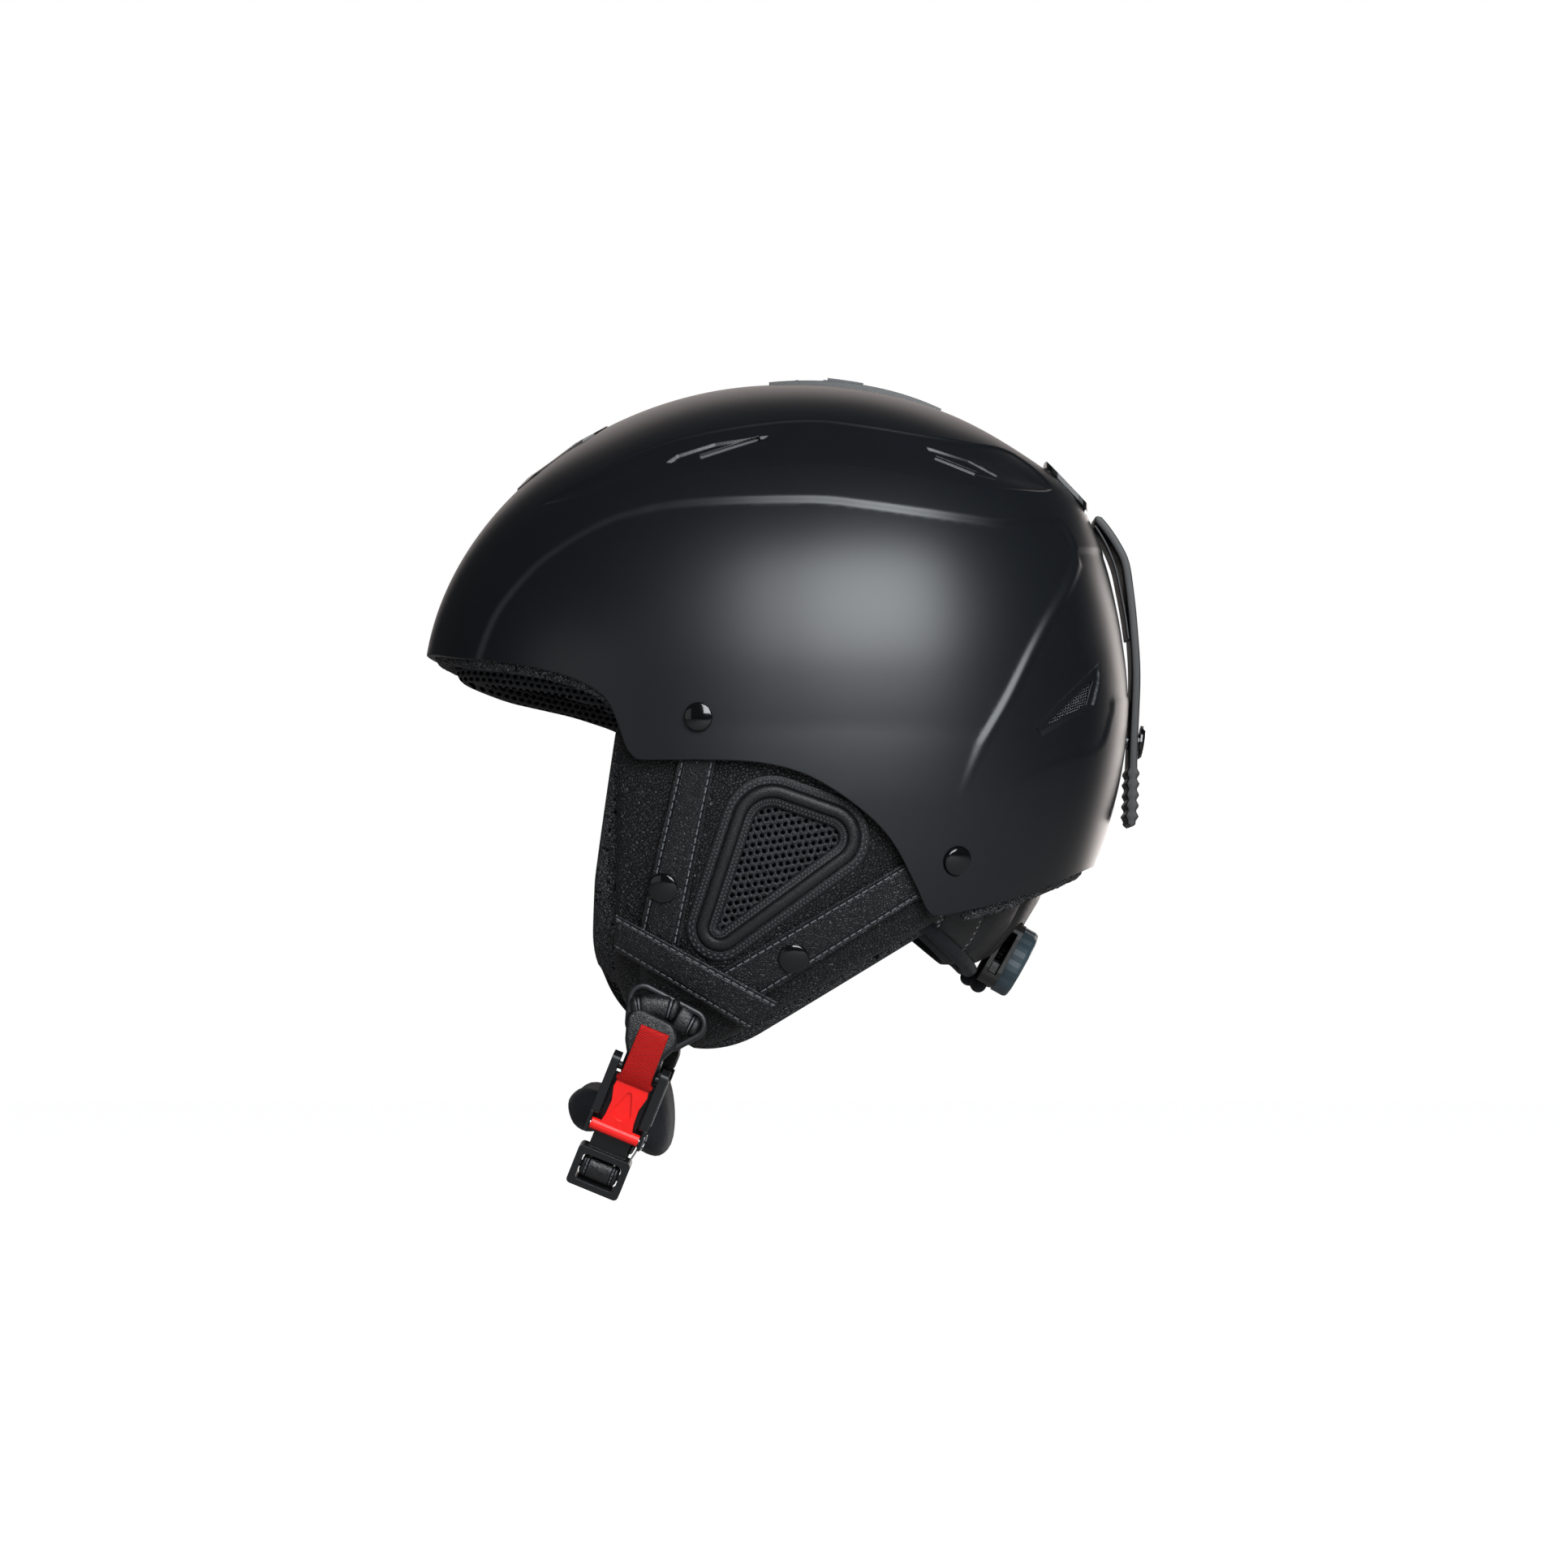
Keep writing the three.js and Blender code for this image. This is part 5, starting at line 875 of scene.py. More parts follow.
# %% Belt outlines and plates bent to them
EAR_PAD = [(-0.365, -0.19, 0.074), (-0.2285, -0.9075, 0.249), (0.37, -0.7, 0.091), (0.07, -0.44, 0.2575)]
EAR_LINING = [(-0.365, -0.19, 0.088), (-0.205, -0.671, 0.345), (-0.2077, -0.8183, 0.352), (0.37, -0.7, 0.108),
              (0.07, -0.44, 0.275)]
EAR_RING = [(-0.158, -0.788, 0.05), (0.131, -0.508, 0.079), (-0.018, -0.475, 0.104)]
LEATHER_DEPTH = STRAP_DEPTH + 1.8 + 0.3
LINING_DEPTH = LEATHER_DEPTH + 9 + 1.7 + 5.2


def circles_of(shares):
    """Circles in millimetres from shares of the reach and the crown's height."""
    return [(a * (SHELL_FRONT if a < 0 else SHELL_REAR), b * CROWN_HEIGHT, r * CROWN_HEIGHT) for a, b, r in shares]


def belt(circles, turns, grow=0.0):
    """Points of the belt line whose outward directions are the given angles."""
    ways = np.stack([np.cos(turns), np.sin(turns)], -1)
    table = np.array(circles)
    best = np.argmax(ways @ table[:, :2].T + table[:, 2], axis=1)
    reach = table[best, 2] + grow
    return table[best, :2] + ways * reach[:, None]


def within_belt(circles, flat):
    """How far points of the side view lie inside a belt line, in millimetres."""
    turns = np.linspace(0, math.tau, 120, endpoint=False)
    ways = np.stack([np.cos(turns), np.sin(turns)], -1)
    table = np.array(circles)
    reach = (ways @ table[:, :2].T + table[:, 2]).max(axis=1)
    return (reach - flat @ ways.T).min(axis=1)


PLATE = 100.0


def dense_turns(circles):
    """Closely spaced angles, the length of the belt line up to each of them, and its points."""
    fine = np.linspace(0, math.tau, 4000, endpoint=False)
    line = belt(circles, fine)
    gaps = np.linalg.norm(np.roll(line, -1, axis=0) - line, axis=1)
    return fine, np.concatenate([[0], np.cumsum(gaps)]), line


def wrap_to_belt(shape, circles, depth, side=LEFT, shares=False, lift=None):
    """Moves a turned plate on to the helmet. A plate's angle runs evenly along the belt line, its
    radius past 100 is growth in millimetres, or a share of the outline, and its height stands out."""
    fine, lengths, line = dense_turns(circles)
    closed = np.vstack([line, line[:1]])
    whole = lengths[-1]
    centre = line.mean(axis=0)
    co = np.array([v.co for v in shape.verts])
    turn = np.mod(np.arctan2(co[:, 1], co[:, 0]), math.tau)
    run = turn / math.tau * whole
    radius = np.hypot(co[:, 0], co[:, 1])
    on_line = np.stack([np.interp(run, lengths, closed[:, i]) for i in (0, 1)], -1)
    way_at = np.interp(run, lengths, np.append(fine, math.tau))
    ways = np.stack([np.cos(way_at), np.sin(way_at)], -1)
    if shares:
        flat = centre + (on_line - centre) * (radius / PLATE)[:, None]
    else:
        flat = on_line + ways * (radius - PLATE)[:, None]
    height = co[:, 2] if lift is None else co[:, 2] + lift(flat)
    out = side_reach(flat[:, 0], flat[:, 1], depth) + height
    layer = shape.loops.layers.uv.new("UVMap")
    for face in shape.faces:
        mid = face.calc_center_median()
        base = math.atan2(mid.y, mid.x) % math.tau
        for loop in face.loops:
            own = math.atan2(loop.vert.co.y, loop.vert.co.x) % math.tau
            own += math.tau * round((base - own) / math.tau)
            reach = math.hypot(loop.vert.co.x, loop.vert.co.y) - PLATE
            loop[layer].uv = (own / math.tau * whole * mm, reach * mm)
    for vert, (x, z), y in zip(shape.verts, flat, out):
        vert.co = (x, -y, z)
    bmesh.ops.recalc_face_normals(shape, faces=shape.faces)
    return on_side(shape, side)


pad_circles, ring_circles = circles_of(EAR_PAD), circles_of(EAR_RING)
print("leather panel runs", round(dense_turns(pad_circles)[1][-1]), "mm round its edge")

# %% [markdown]
# The padded ring is one strip of leather pressed in a mould: a flat skirt with two rows of small
# dots, a groove, a round bead, and a slope with dots again down to the mesh. The bead and groove
# are shape, because they catch long highlights. The dots are a bump that follows the strip.

# %% Dotted ring leather
def dotted_leather():
    leather = Finish("dotted_leather")
    place = leather.place()
    # the second colour is the painted shade of the creases
    color, height, normal = hide(leather, place, 1.1, 0.05, (0.0115, 0.0118, 0.0128), (0.006, 0.006, 0.0065))
    along, across, _ = leather.parts(leather.along())
    dots = None
    for middle, shift in ((3.9, 0), (5.1, 0.73), (-2.8, 0), (-4.0, 0.73)):
        u = (along + shift * mm).wrapped(1.46 * mm) - 0.73 * mm
        v = across - middle * mm
        away = leather.node("ShaderNodeMath", {"operation": "SQRT"}, {0: u * u + v * v})
        dot = 1 - away.ramp(0.22 * mm, 0.5 * mm)
        dots = dot if dots is None else dots + dot
    color = leather.mix(dots, color, (0.06, 0.062, 0.068))
    normal = leather.bump(dots, 0.5, 0.9, normal)
    return leather.surface(color, 0.45 + 0.06 * height, Normal=normal, Specular_IOR_Level=0.42)


ring_leather = dotted_leather()


# %% Ear pads, their rings, mesh windows and linings
def ring_profile():
    """Section of the pressed ring, from under its skirt over the bead to the mesh."""
    bead = [(PLATE + 0.4 + 2.15 * math.cos(t), 0.3 + 1.6 * math.sin(t)) for t in np.radians(np.linspace(4, 176, 13))]
    skirt = [(PLATE + 6.6, -0.4), (PLATE + 6.5, 0.35), (PLATE + 6.0, 0.7), (PLATE + 3.5, 0.8), (PLATE + 2.95, 0.6),
             (PLATE + 2.75, 0.1)]
    slope = [(PLATE - 1.9, 0.0), (PLATE - 2.15, 0.45), (PLATE - 4.5, 0.0), (PLATE - 5.1, -0.5), (PLATE - 5.4, -2.4),
             (PLATE - 4, -3.5), (PLATE, -3.5)]
    return skirt + bead + slope


def turned_ring(profile, steps):
    """A bmesh ring from a closed profile."""
    shape = bmesh.new()
    verts = [shape.verts.new((radius, 0, height)) for radius, height in profile]
    edges = [shape.edges.new(pair) for pair in zip(verts, verts[1:] + verts[:1])]
    bmesh.ops.spin(shape, geom=verts + edges, cent=(0, 0, 0), axis=(0, 0, 1), dvec=(0, 0, 0),
                   angle=math.tau, steps=steps, use_merge=True)
    bmesh.ops.remove_doubles(shape, verts=shape.verts, dist=1e-4)
    bmesh.ops.recalc_face_normals(shape, faces=shape.faces)
    return shape


def cushion_profile(thickness, edge_share, bulge=0.0, rings=14):
    """Section of a pad from the middle of its face round the edge to the middle of its back."""
    shares_out = np.linspace(0, 1 - edge_share, rings)
    front = [(PLATE * s, thickness / 2 + bulge * (1 - (s / (1 - edge_share)) ** 2)) for s in shares_out]
    edge = [(PLATE * (1 - edge_share + edge_share * math.cos(t)), thickness / 2 * math.sin(t))
            for t in np.radians(np.linspace(78, -78, 10))]
    back = [(r, -thickness / 2) for r, _ in front[::-1]]
    return front + edge + back


def make_ear_pad(side_name, side):
    leather = turned(cushion_profile(8.6, 0.07, rings=44), 160)
    pressed = lambda flat: -6 * np.clip((within_belt(ring_circles, flat) + 1.5) / 3.5, 0, 1)
    wrap_to_belt(leather, pad_circles, LEATHER_DEPTH + 4.4, side, True, pressed)
    pad = piece(f"ear_leather_{side_name}", leather, pad_leather, stands_for=[f"ear_pad_{side_name}"],
                smooth=60)
    ring = turned_ring(ring_profile(), 220)
    wrap_to_belt(ring, ring_circles, LEATHER_DEPTH, side)
    piece(f"ear_bead_{side_name}", ring, ring_leather, stands_for=[f"ear_ring_{side_name}"],
          smooth=60)
    window_cloth = turned(cushion_profile(1.2, 0.04, 0.8), 96)
    inside_ring = circles_of([(a, b, r - 0.036) for a, b, r in EAR_RING])
    wrap_to_belt(window_cloth, inside_ring, LEATHER_DEPTH + 2.4, side, shares=True)
    cloth = piece(f"ear_window_{side_name}", window_cloth, ear_mesh_cloth,
                  stands_for=[f"ear_mesh_{side_name}"])
    lining = turned(cushion_profile(11, 0.09), 160)
    wrap_to_belt(lining, circles_of(EAR_LINING), LINING_DEPTH, side, shares=True)
    soft = piece(f"ear_fleece_{side_name}", lining, edge_fleece, stands_for=[f"ear_lining_{side_name}"],
                 smooth=60)


for side_name, side in SIDES.items():
    make_ear_pad(side_name, side)
print("ear pads made")

# %% [markdown]
# Three leather straps lie on each ear pad: one comes straight down from the rim, one runs forward
# from the rear of the rim, and a wide cross band ties both to the foot of the pad. Each is a strip
# between four corners of the side view. A grid is laid out flat, bent on to the surface and given
# its thickness, and its flat coordinates are kept as the strip coordinates that the stitches use.

# %% Straps bent to the surface
FRONT_STRAP = [(-0.252, -0.2), (-0.152, -0.2), (-0.268, -0.86), (-0.385, -0.84)]
REAR_STRAP = [(0.378, -0.562), (0.42, -0.67), (-0.079, -1.03), (-0.168, -0.926)]
CROSS_BAND = [(-0.438, -0.742), (-0.443, -0.855), (-0.086, -1.107), (0.001, -1.018)]


def flat_strip(length, width, at, along=90, across=14, crown=0.35):
    """A strip without thickness: at(u, v, rise) gives its points for shares along and across."""
    shape = bmesh.new()
    bmesh.ops.create_grid(shape, x_segments=along, y_segments=across, size=0.5)
    co = np.array([v.co for v in shape.verts])
    co[:, :2] /= np.abs(co[:, :2]).max(axis=0) * 2
    layer = shape.loops.layers.uv.new("UVMap")
    for vert, place in zip(shape.verts, co):
        vert.co = place
    for face in shape.faces:
        for loop in face.loops:
            loop[layer].uv = ((loop.vert.co.x + 0.5) * length * mm, loop.vert.co.y * width * mm)
    rise = crown * (1 - (np.abs(co[:, 1]) * 2) ** 4)
    for vert, place in zip(shape.verts, at(co[:, 0] + 0.5, co[:, 1] + 0.5, rise)):
        vert.co = place
    return shape


def between(corners, depth):
    """Points of a four-cornered patch of the near side, for shares along and across."""
    start_a, start_b, end_b, end_a = (np.array(c) for c in side_outline(corners))

    def at(u, v, rise):
        edge_a = start_a + (end_a - start_a) * u[:, None]
        edge_b = start_b + (end_b - start_b) * u[:, None]
        flat = edge_a + (edge_b - edge_a) * v[:, None]
        out = side_reach(flat[:, 0], flat[:, 1], depth) + rise
        return np.stack([flat[:, 0], -out, flat[:, 1]], -1)

    length = np.linalg.norm((end_a + end_b - start_a - start_b) / 2)
    width = np.linalg.norm(start_b - start_a)
    return at, length, width


def thicken(made, thickness, round_edge=0.5):
    """Gives a sheet its thickness inwards and rounds its edges."""
    wall = made.modifiers.new("wall", "SOLIDIFY")
    wall.thickness = thickness * mm
    wall.offset = -1
    wall.use_even_offset = True
    edge = made.modifiers.new("edge", "BEVEL")
    edge.width = round_edge * mm
    edge.segments = 3
    edge.limit_method = "ANGLE"
    edge.angle_limit = math.radians(50)
    settle(made)
    made.data.shade_smooth()
    made.data.set_sharp_from_angle(angle=math.radians(60))
    return made


def face_out(shape, side):
    """Makes a near-side sheet face away from the helmet, on the side it is for."""
    total = sum(face.normal.y for face in shape.faces)
    if total > 0:
        bmesh.ops.reverse_faces(shape, faces=shape.faces)
    return on_side(shape, side)


def make_strap(name, corners, depth, side_name, side, thickness=1.8, crown=0.35):
    at, length, width = between(corners, depth)
    sheet = flat_strip(length, width, at, crown=crown)
    sheet.normal_update()
    half = width / 2
    leather = stitched_leather(f"{name}_leather", half) if side == LEFT else bpy.data.materials[f"{name}_leather"]
    made = piece(f"{name}_hide_{side_name}", face_out(sheet, side), leather,
                 stands_for=[f"{name}_{side_name}"])
    return thicken(made, thickness)


for side_name, side in SIDES.items():
    make_strap("front_strap", FRONT_STRAP, STRAP_DEPTH, side_name, side)
    make_strap("rear_strap", REAR_STRAP, STRAP_DEPTH, side_name, side)
    make_strap("cross_band", CROSS_BAND, STRAP_DEPTH - 2.3, side_name, side, 2, 1.1)
print("straps made")

# %% [markdown]
# Behind the rear opening of the shell lies a plate of fine mesh. It follows the inside of the
# shell and reaches a little under the edge of the opening on every side.

# %% Mesh behind the rear openings
REAR_MESH = [(0.706, -0.173), (0.774, -0.066), (0.864, 0.013), (0.864, -0.102)]


def make_rear_mesh(side_name, side):
    at, length, width = between(REAR_MESH, SHELL_WALL + 0.2)
    sheet = flat_strip(length, width, at, 30, 20, crown=0)
    sheet.normal_update()
    made = piece(f"rear_grid_{side_name}", face_out(sheet, side), vent_mesh_cloth,
                 stands_for=[f"rear_mesh_{side_name}"])
    thicken(made, 0.8, 0.1)


for side_name, side in SIDES.items():
    make_rear_mesh(side_name, side)
print("rear meshes made")

# %% [markdown]
# A lip shows inside each of the four long slots near the crown, painted light grey as the highlight
# that the slot's edge catches. It is a narrow plate just under the shell's floor there, so the slot
# stays open behind its edge.

# %% Lips of the long slots
SLOT_LIPS = {"front": [(-0.217, 0.703), (-0.212, 0.691), (-0.052, 0.756), (-0.054, 0.767)],
             "rear": [(0.43, 0.707), (0.427, 0.696), (0.539, 0.646), (0.547, 0.657)]}


def make_slot_lip(name, corners, side_name, side):
    at, length, width = between(corners, SHELL_WALL - 0.4)
    sheet = flat_strip(length, width, at, 40, 4, crown=0.1)
    sheet.normal_update()
    # the lip's light grey is a painted highlight
    made = piece(f"slot_lip_{name}_{side_name}", face_out(sheet, side), lip_highlight_grey)
    thicken(made, 0.8, 0.1)


for side_name, side in SIDES.items():
    for name, corners in SLOT_LIPS.items():
        make_slot_lip(name, corners, side_name, side)
print("slot lips made")

# %% [markdown]
# Most hard parts keep the exact solids of the CAD model, because their shapes are already right:
# the vent's trim and slider, the grille, the buckle, the dial and its racks, and the foam liner.
# They only get a material each, and the rounded edges that the shader draws. Smooth shading stops
# at every edge sharper than 30 degrees, so a flat face stays flat and a turned one stays round.

# %% Materials of the CAD solids
HARD_PARTS = {
    rail_black: ["front_vent_trim", "exhaust_cover"],
    slider_black: ["vent_slider", "slider_keeper", "exhaust_grille"],
    trim_black: ["buckle_body", "buckle_tongue"],
    signal_red: ["release_lever"],
    steel: ["lever_pin", "goggle_snap_stud"],
    cap_black: ["goggle_snap_cap"],
    dial_blue: ["fit_dial"],
    housing_brown: ["dial_housing", "dial_pinion", "rack_left", "rack_right"],
    foam: ["impact_liner"],
}


def finish_solid(node, finish):
    """A CAD solid in a material of this scene."""
    node.data.materials.clear()
    node.data.materials.append(finish)
    node.data.shade_smooth()
    node.data.set_sharp_from_angle(angle=math.radians(30))


for finish, names in HARD_PARTS.items():
    for name in names:
        finish_solid(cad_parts[name], finish)
print("solids with a finish:", sum(len(names) for names in HARD_PARTS.values()))

# %% [markdown]
# The crown rail is drawn anew, because it is a thin frame that follows the shell and fades out at
# both ends. In its middle it leaves a long room where the slider runs.

# %% Crown rail
RAIL_HALF, RAIL_ROOM = 34.4, (-26.4, 28.2)
RAIL_INNER, RAIL_OUTER = 7.7, 13.3


def rail_outline(start, end, steps=20):
    """Side view of a stretch of the rail, by the distance along the vent's arc."""
    top, foot = [], []
    for along in np.linspace(start, end, steps + 1):
        x, z = arc_outline(along, along, VENT_RADIUS, VENT_RADIUS, 0)[0]
        tilt = math.degrees(math.atan2(x, z))
        stand = 0.3 + 1.3 * (1 - (abs(along) / RAIL_HALF) ** 2)
        for row, depth in ((top, -stand), (foot, 1.2)):
            point = mid_point(tilt, depth)
            row.append((point[0], point[2]))
    return top + foot[::-1]


for name, start, end, low, high in (("near", -RAIL_HALF, RAIL_HALF, -RAIL_OUTER, -RAIL_INNER),
                                    ("far", -RAIL_HALF, RAIL_HALF, RAIL_INNER, RAIL_OUTER),
                                    ("front", -RAIL_HALF, RAIL_ROOM[0], -RAIL_INNER, RAIL_INNER),
                                    ("back", RAIL_ROOM[1], RAIL_HALF, -RAIL_INNER, RAIL_INNER)):
    piece(f"rail_{name}", prism(rail_outline(start, end), low, high), rail_black, stands_for=["vent_rail"])
print("crown rail made")

# %% [markdown]
# Inside the shell the foam liner carries soft pads, and a fleece roll closes the gap along the rim
# in front and at the back. Rolls and linings run round the head, so they are laid out by an angle
# about the upright axis and a height above the rim, and not in the side view: at the forehead the
# side view has no width left to measure in.

# %% Round the head along the rim
def round_reach(turn, z, depth):
    """Level distance of the surface from the upright axis, at an angle from the rear and a height."""
    turn, z, depth = np.broadcast_arrays(np.asarray(turn, float), np.asarray(z, float), np.asarray(depth, float))
    inside, outside = np.zeros(turn.shape), np.full(turn.shape, 1.3 * SHELL_FRONT)
    for _ in range(30):
        middle = (inside + outside) / 2
        points = np.stack([middle * np.cos(turn), middle * np.sin(turn), z], -1).reshape(-1, 3)
        length = np.maximum(np.linalg.norm(points, axis=1), 1e-9)
        within = (length < head_radius(points / length[:, None]) - depth.ravel()).reshape(turn.shape)
        inside, outside = np.where(within, middle, inside), np.where(within, outside, middle)
    return (inside + outside) / 2


def rim_heights(turns):
    """Height of the shell's rim at angles from the rear, eased over its sharpest steps."""
    line = np.array(side_outline(RIM))
    low, high = np.full(turns.shape, -100.0), np.full(turns.shape, 30.0)
    for _ in range(24):
        middle = (low + high) / 2
        rim = np.interp(round_reach(turns, middle, 0) * np.cos(turns), line[:, 0], line[:, 1])
        low, high = np.where(middle < rim, middle, low), np.where(middle < rim, high, middle)
    heights = (low + high) / 2
    padded_out = np.pad(heights, 2, mode="edge")
    return np.convolve(padded_out, np.ones(5) / 5, mode="valid")


def rim_roll(name, middle_turn, half_turn, section, finish, stands_for, stations=110, rough=0.0):
    """A closed roll along the rim. Its section is a loop of (depth, rise) points in millimetres."""
    turns = np.radians(middle_turn) + np.radians(half_turn) * np.linspace(-1, 1, stations)
    heights = rim_heights(turns)
    section = np.array(section, float)
    middle = section.mean(axis=0)
    ends = np.clip(np.minimum(np.arange(stations), np.arange(stations)[::-1]) / 3, 0, 1)
    share = np.sqrt(1 - (1 - ends) ** 2)[:, None] * 0.98 + 0.02
    depth = middle[0] + (section[None, :, 0] - middle[0]) * share
    z = heights[:, None] + middle[1] + (section[None, :, 1] - middle[1]) * share
    around = np.broadcast_to(turns[:, None], z.shape)
    reach = round_reach(around, z, depth)
    points = np.stack([reach * np.cos(around), reach * np.sin(around), z], -1)
    if rough:
        points += np.random.default_rng(7).normal(0, rough, points.shape)
    shape = bmesh.new()
    grid = [[shape.verts.new(p) for p in row] for row in points]
    count = len(section)
    for row, following in zip(grid, grid[1:]):
        for i in range(count):
            shape.faces.new((row[i], row[(i + 1) % count], following[(i + 1) % count], following[i]))
    shape.faces.new(grid[0])
    shape.faces.new(grid[-1][::-1])
    bmesh.ops.recalc_face_normals(shape, faces=shape.faces)
    made = piece(name, shape, finish, stands_for=stands_for, smooth=70)
    return made


def oval(middle_depth, middle_rise, half_depth, half_rise, steps=22, power=2.6):
    """Points of a rounded section, fuller than an ellipse."""
    turns = np.linspace(0, math.tau, steps, endpoint=False)
    fuller = lambda v: np.sign(v) * np.abs(v) ** (2 / power)
    return np.stack([middle_depth + half_depth * fuller(np.cos(turns)),
                     middle_rise + half_rise * fuller(np.sin(turns))], -1)


EDGE_ROLL = oval(8, 1, 4.1, 5.4)
BROW_FOLD = flowing([(12.2, 2), (12.4, -6), (15, -10.4), (20, -10), (24.6, -3), (27.6, 12), (28, 26),
                     (26, 35), (22, 37), (21.4, 28), (20, 12), (15, 6)], 3)
rim_roll("front_edging_fleece", 180, 63, EDGE_ROLL, edge_fleece, ["front_edging"], rough=0.1)
rim_roll("rear_edging_fleece", 0, 47, oval(6, -1.6, 2.7, 4), edge_fleece, ["rear_edging"], rough=0.1)
rim_roll("brow_lining", 180, 64, BROW_FOLD, brow_mesh_cloth, ["brow_pad"])

# %% [markdown]
# The other comfort pads are flat cushions held by the liner. One face lies on the foam and the
# other swells towards the head, and both meet in a thin edge.

# %% Comfort pads
def cushion(name, at, finish, stands_for, steps=(36, 18), thickness=6.0):
    """A pad from at(u, v, stand), which gives points at a stand above the foam."""
    shape = bmesh.new()
    for face_share in (0, 1):
        made = bmesh.ops.create_grid(shape, x_segments=steps[0], y_segments=steps[1], size=0.5)["verts"]
        co = np.array([v.co for v in made])
        co /= np.abs(co).max(axis=0).clip(1e-9) * 2
        u, v = co[:, 0], co[:, 1]
        profile = np.clip((1 - np.abs(2 * u) ** 8) * (1 - np.abs(2 * v) ** 6), 0, 1) ** 0.4
        for vert, point in zip(made, at(u + 0.5, v + 0.5, thickness * profile * face_share)):
            vert.co = point
    bmesh.ops.remove_doubles(shape, verts=shape.verts, dist=0.01)
    bmesh.ops.recalc_face_normals(shape, faces=shape.faces)
    made = piece(name, shape, finish, stands_for=stands_for, smooth=70)
    return made


COMFORT_DEPTH = 21.8


def pad_round_head(turns, heights):
    """Points for a pad that spans angles from the rear and heights, in degrees and millimetres."""
    def at(u, v, stand):
        turn = np.radians(turns[0] + (turns[1] - turns[0]) * u)
        z = heights[0] + (heights[1] - heights[0]) * v
        reach = round_reach(turn, z, COMFORT_DEPTH + stand)
        return np.stack([reach * np.cos(turn), reach * np.sin(turn), z], -1)
    return at


def crown_pad_at(u, v, stand):
    x, y = (u - 0.5) * 112, (v - 0.5) * 84
    low, high = np.zeros(len(x)), np.full(len(x), 130.0)
    for _ in range(28):
        z = (low + high) / 2
        points = np.stack([x, y, z], -1)
        length = np.linalg.norm(points, axis=1).clip(1e-9)
        within = length < head_radius(points / length[:, None]) - COMFORT_DEPTH - stand
        low, high = np.where(within, z, low), np.where(within, high, z)
    return np.stack([x, y, low], -1)


cushion("nape_cushion", pad_round_head((-48, 48), (-50, 28)), inner_fleece, ["nape_pad"], (60, 26))
cushion("side_cushion_left", pad_round_head((-122, -58), (4, 42)), inner_fleece, ["side_pad_left"])
cushion("side_cushion_right", pad_round_head((58, 122), (4, 42)), inner_fleece, ["side_pad_right"])
cushion("crown_cushion", crown_pad_at, inner_fleece, ["crown_pad"])
print("linings made")

# %% [markdown]
# The chin strap hangs from two plastic rings. Leather hangers are folded round the top of each ring
# and stuffed, so they look like two small cushions with a stitch line at each end. Everything below
# the rings swings with the strap: the loop, the buckle, the red lever with its webbing tab, the
# chin band and the velvet chin pad. Each of these is a section moved along a path, which is also
# how the real ones are made, and one function does it for all of them.

# %% Sections moved along a path
YOKE = Vector((-43, 79, -132.2))
SWING = Matrix.Translation((YOKE.x, 0, YOKE.z)) @ Matrix.Rotation(math.radians(22.3), 4, "Y")
BUCKLE = SWING @ Matrix.Translation((-2.5, -79, -18.6)) @ Matrix.Rotation(math.radians(18), 4, "X")
RING_RADIUS = 12.9


def strip_layer(shape):
    """The layer of strip coordinates of a bmesh."""
    return shape.loops.layers.uv.get("UVMap") or shape.loops.layers.uv.new("UVMap")


def path_sweep(shape, centres, ways_a, ways_b, section, scales, place=Matrix.Identity(4), lengths=None):
    """Adds a closed tube to a bmesh. Section points are (a, b), scales are (a, b) for each station."""
    layer = strip_layer(shape)
    section = np.array(section, float)
    centres = np.array(centres, float)
    steps = np.linalg.norm(np.diff(centres, axis=0), axis=1)
    runs = np.concatenate([[0], np.cumsum(steps)]) if lengths is None else lengths
    around = np.concatenate([[0], np.cumsum(np.linalg.norm(np.roll(section, -1, axis=0) - section, axis=1))])
    rows = []
    for centre, a, b, (scale_a, scale_b) in zip(centres, ways_a, ways_b, scales):
        points = centre + np.outer(section[:, 0] * scale_a, a) + np.outer(section[:, 1] * scale_b, b)
        rows.append([shape.verts.new(place @ Vector(p)) for p in points])
    count = len(section)
    for k, (row, following) in enumerate(zip(rows, rows[1:])):
        for i in range(count):
            face = shape.faces.new((row[i], row[(i + 1) % count], following[(i + 1) % count], following[i]))
            marks = ((runs[k], i), (runs[k], i + 1), (runs[k + 1], i + 1), (runs[k + 1], i))
            for loop, (run, j) in zip(face.loops, marks):
                loop[layer].uv = (run * mm, (around[j] - around[-1] / 2) * mm)
    shape.faces.new(rows[0])
    shape.faces.new(rows[-1][::-1])
    return shape


def rounded_box(width, height, power=4.0, steps=32):
    """Section of a soft strap: a box with corners rounded away."""
    turns = np.linspace(0, math.tau, steps, endpoint=False) - math.pi / 2
    fuller = lambda v: np.sign(v) * np.abs(v) ** (2 / power)
    return np.stack([width / 2 * fuller(np.cos(turns)), height / 2 * fuller(np.sin(turns))], -1)


def swelling(share, power=5, floor=0.12):
    """Full in the middle of a path and pinched at its ends, for shares from -1 to 1."""
    return floor + (1 - floor) * (1 - np.abs(share) ** power) ** 0.45


# %% [markdown]
# Puffed leather is shinier than the pad, because it is stretched over its stuffing. Its seam runs
# across the cushion near both ends: the strip coordinate along the path says where a point is.

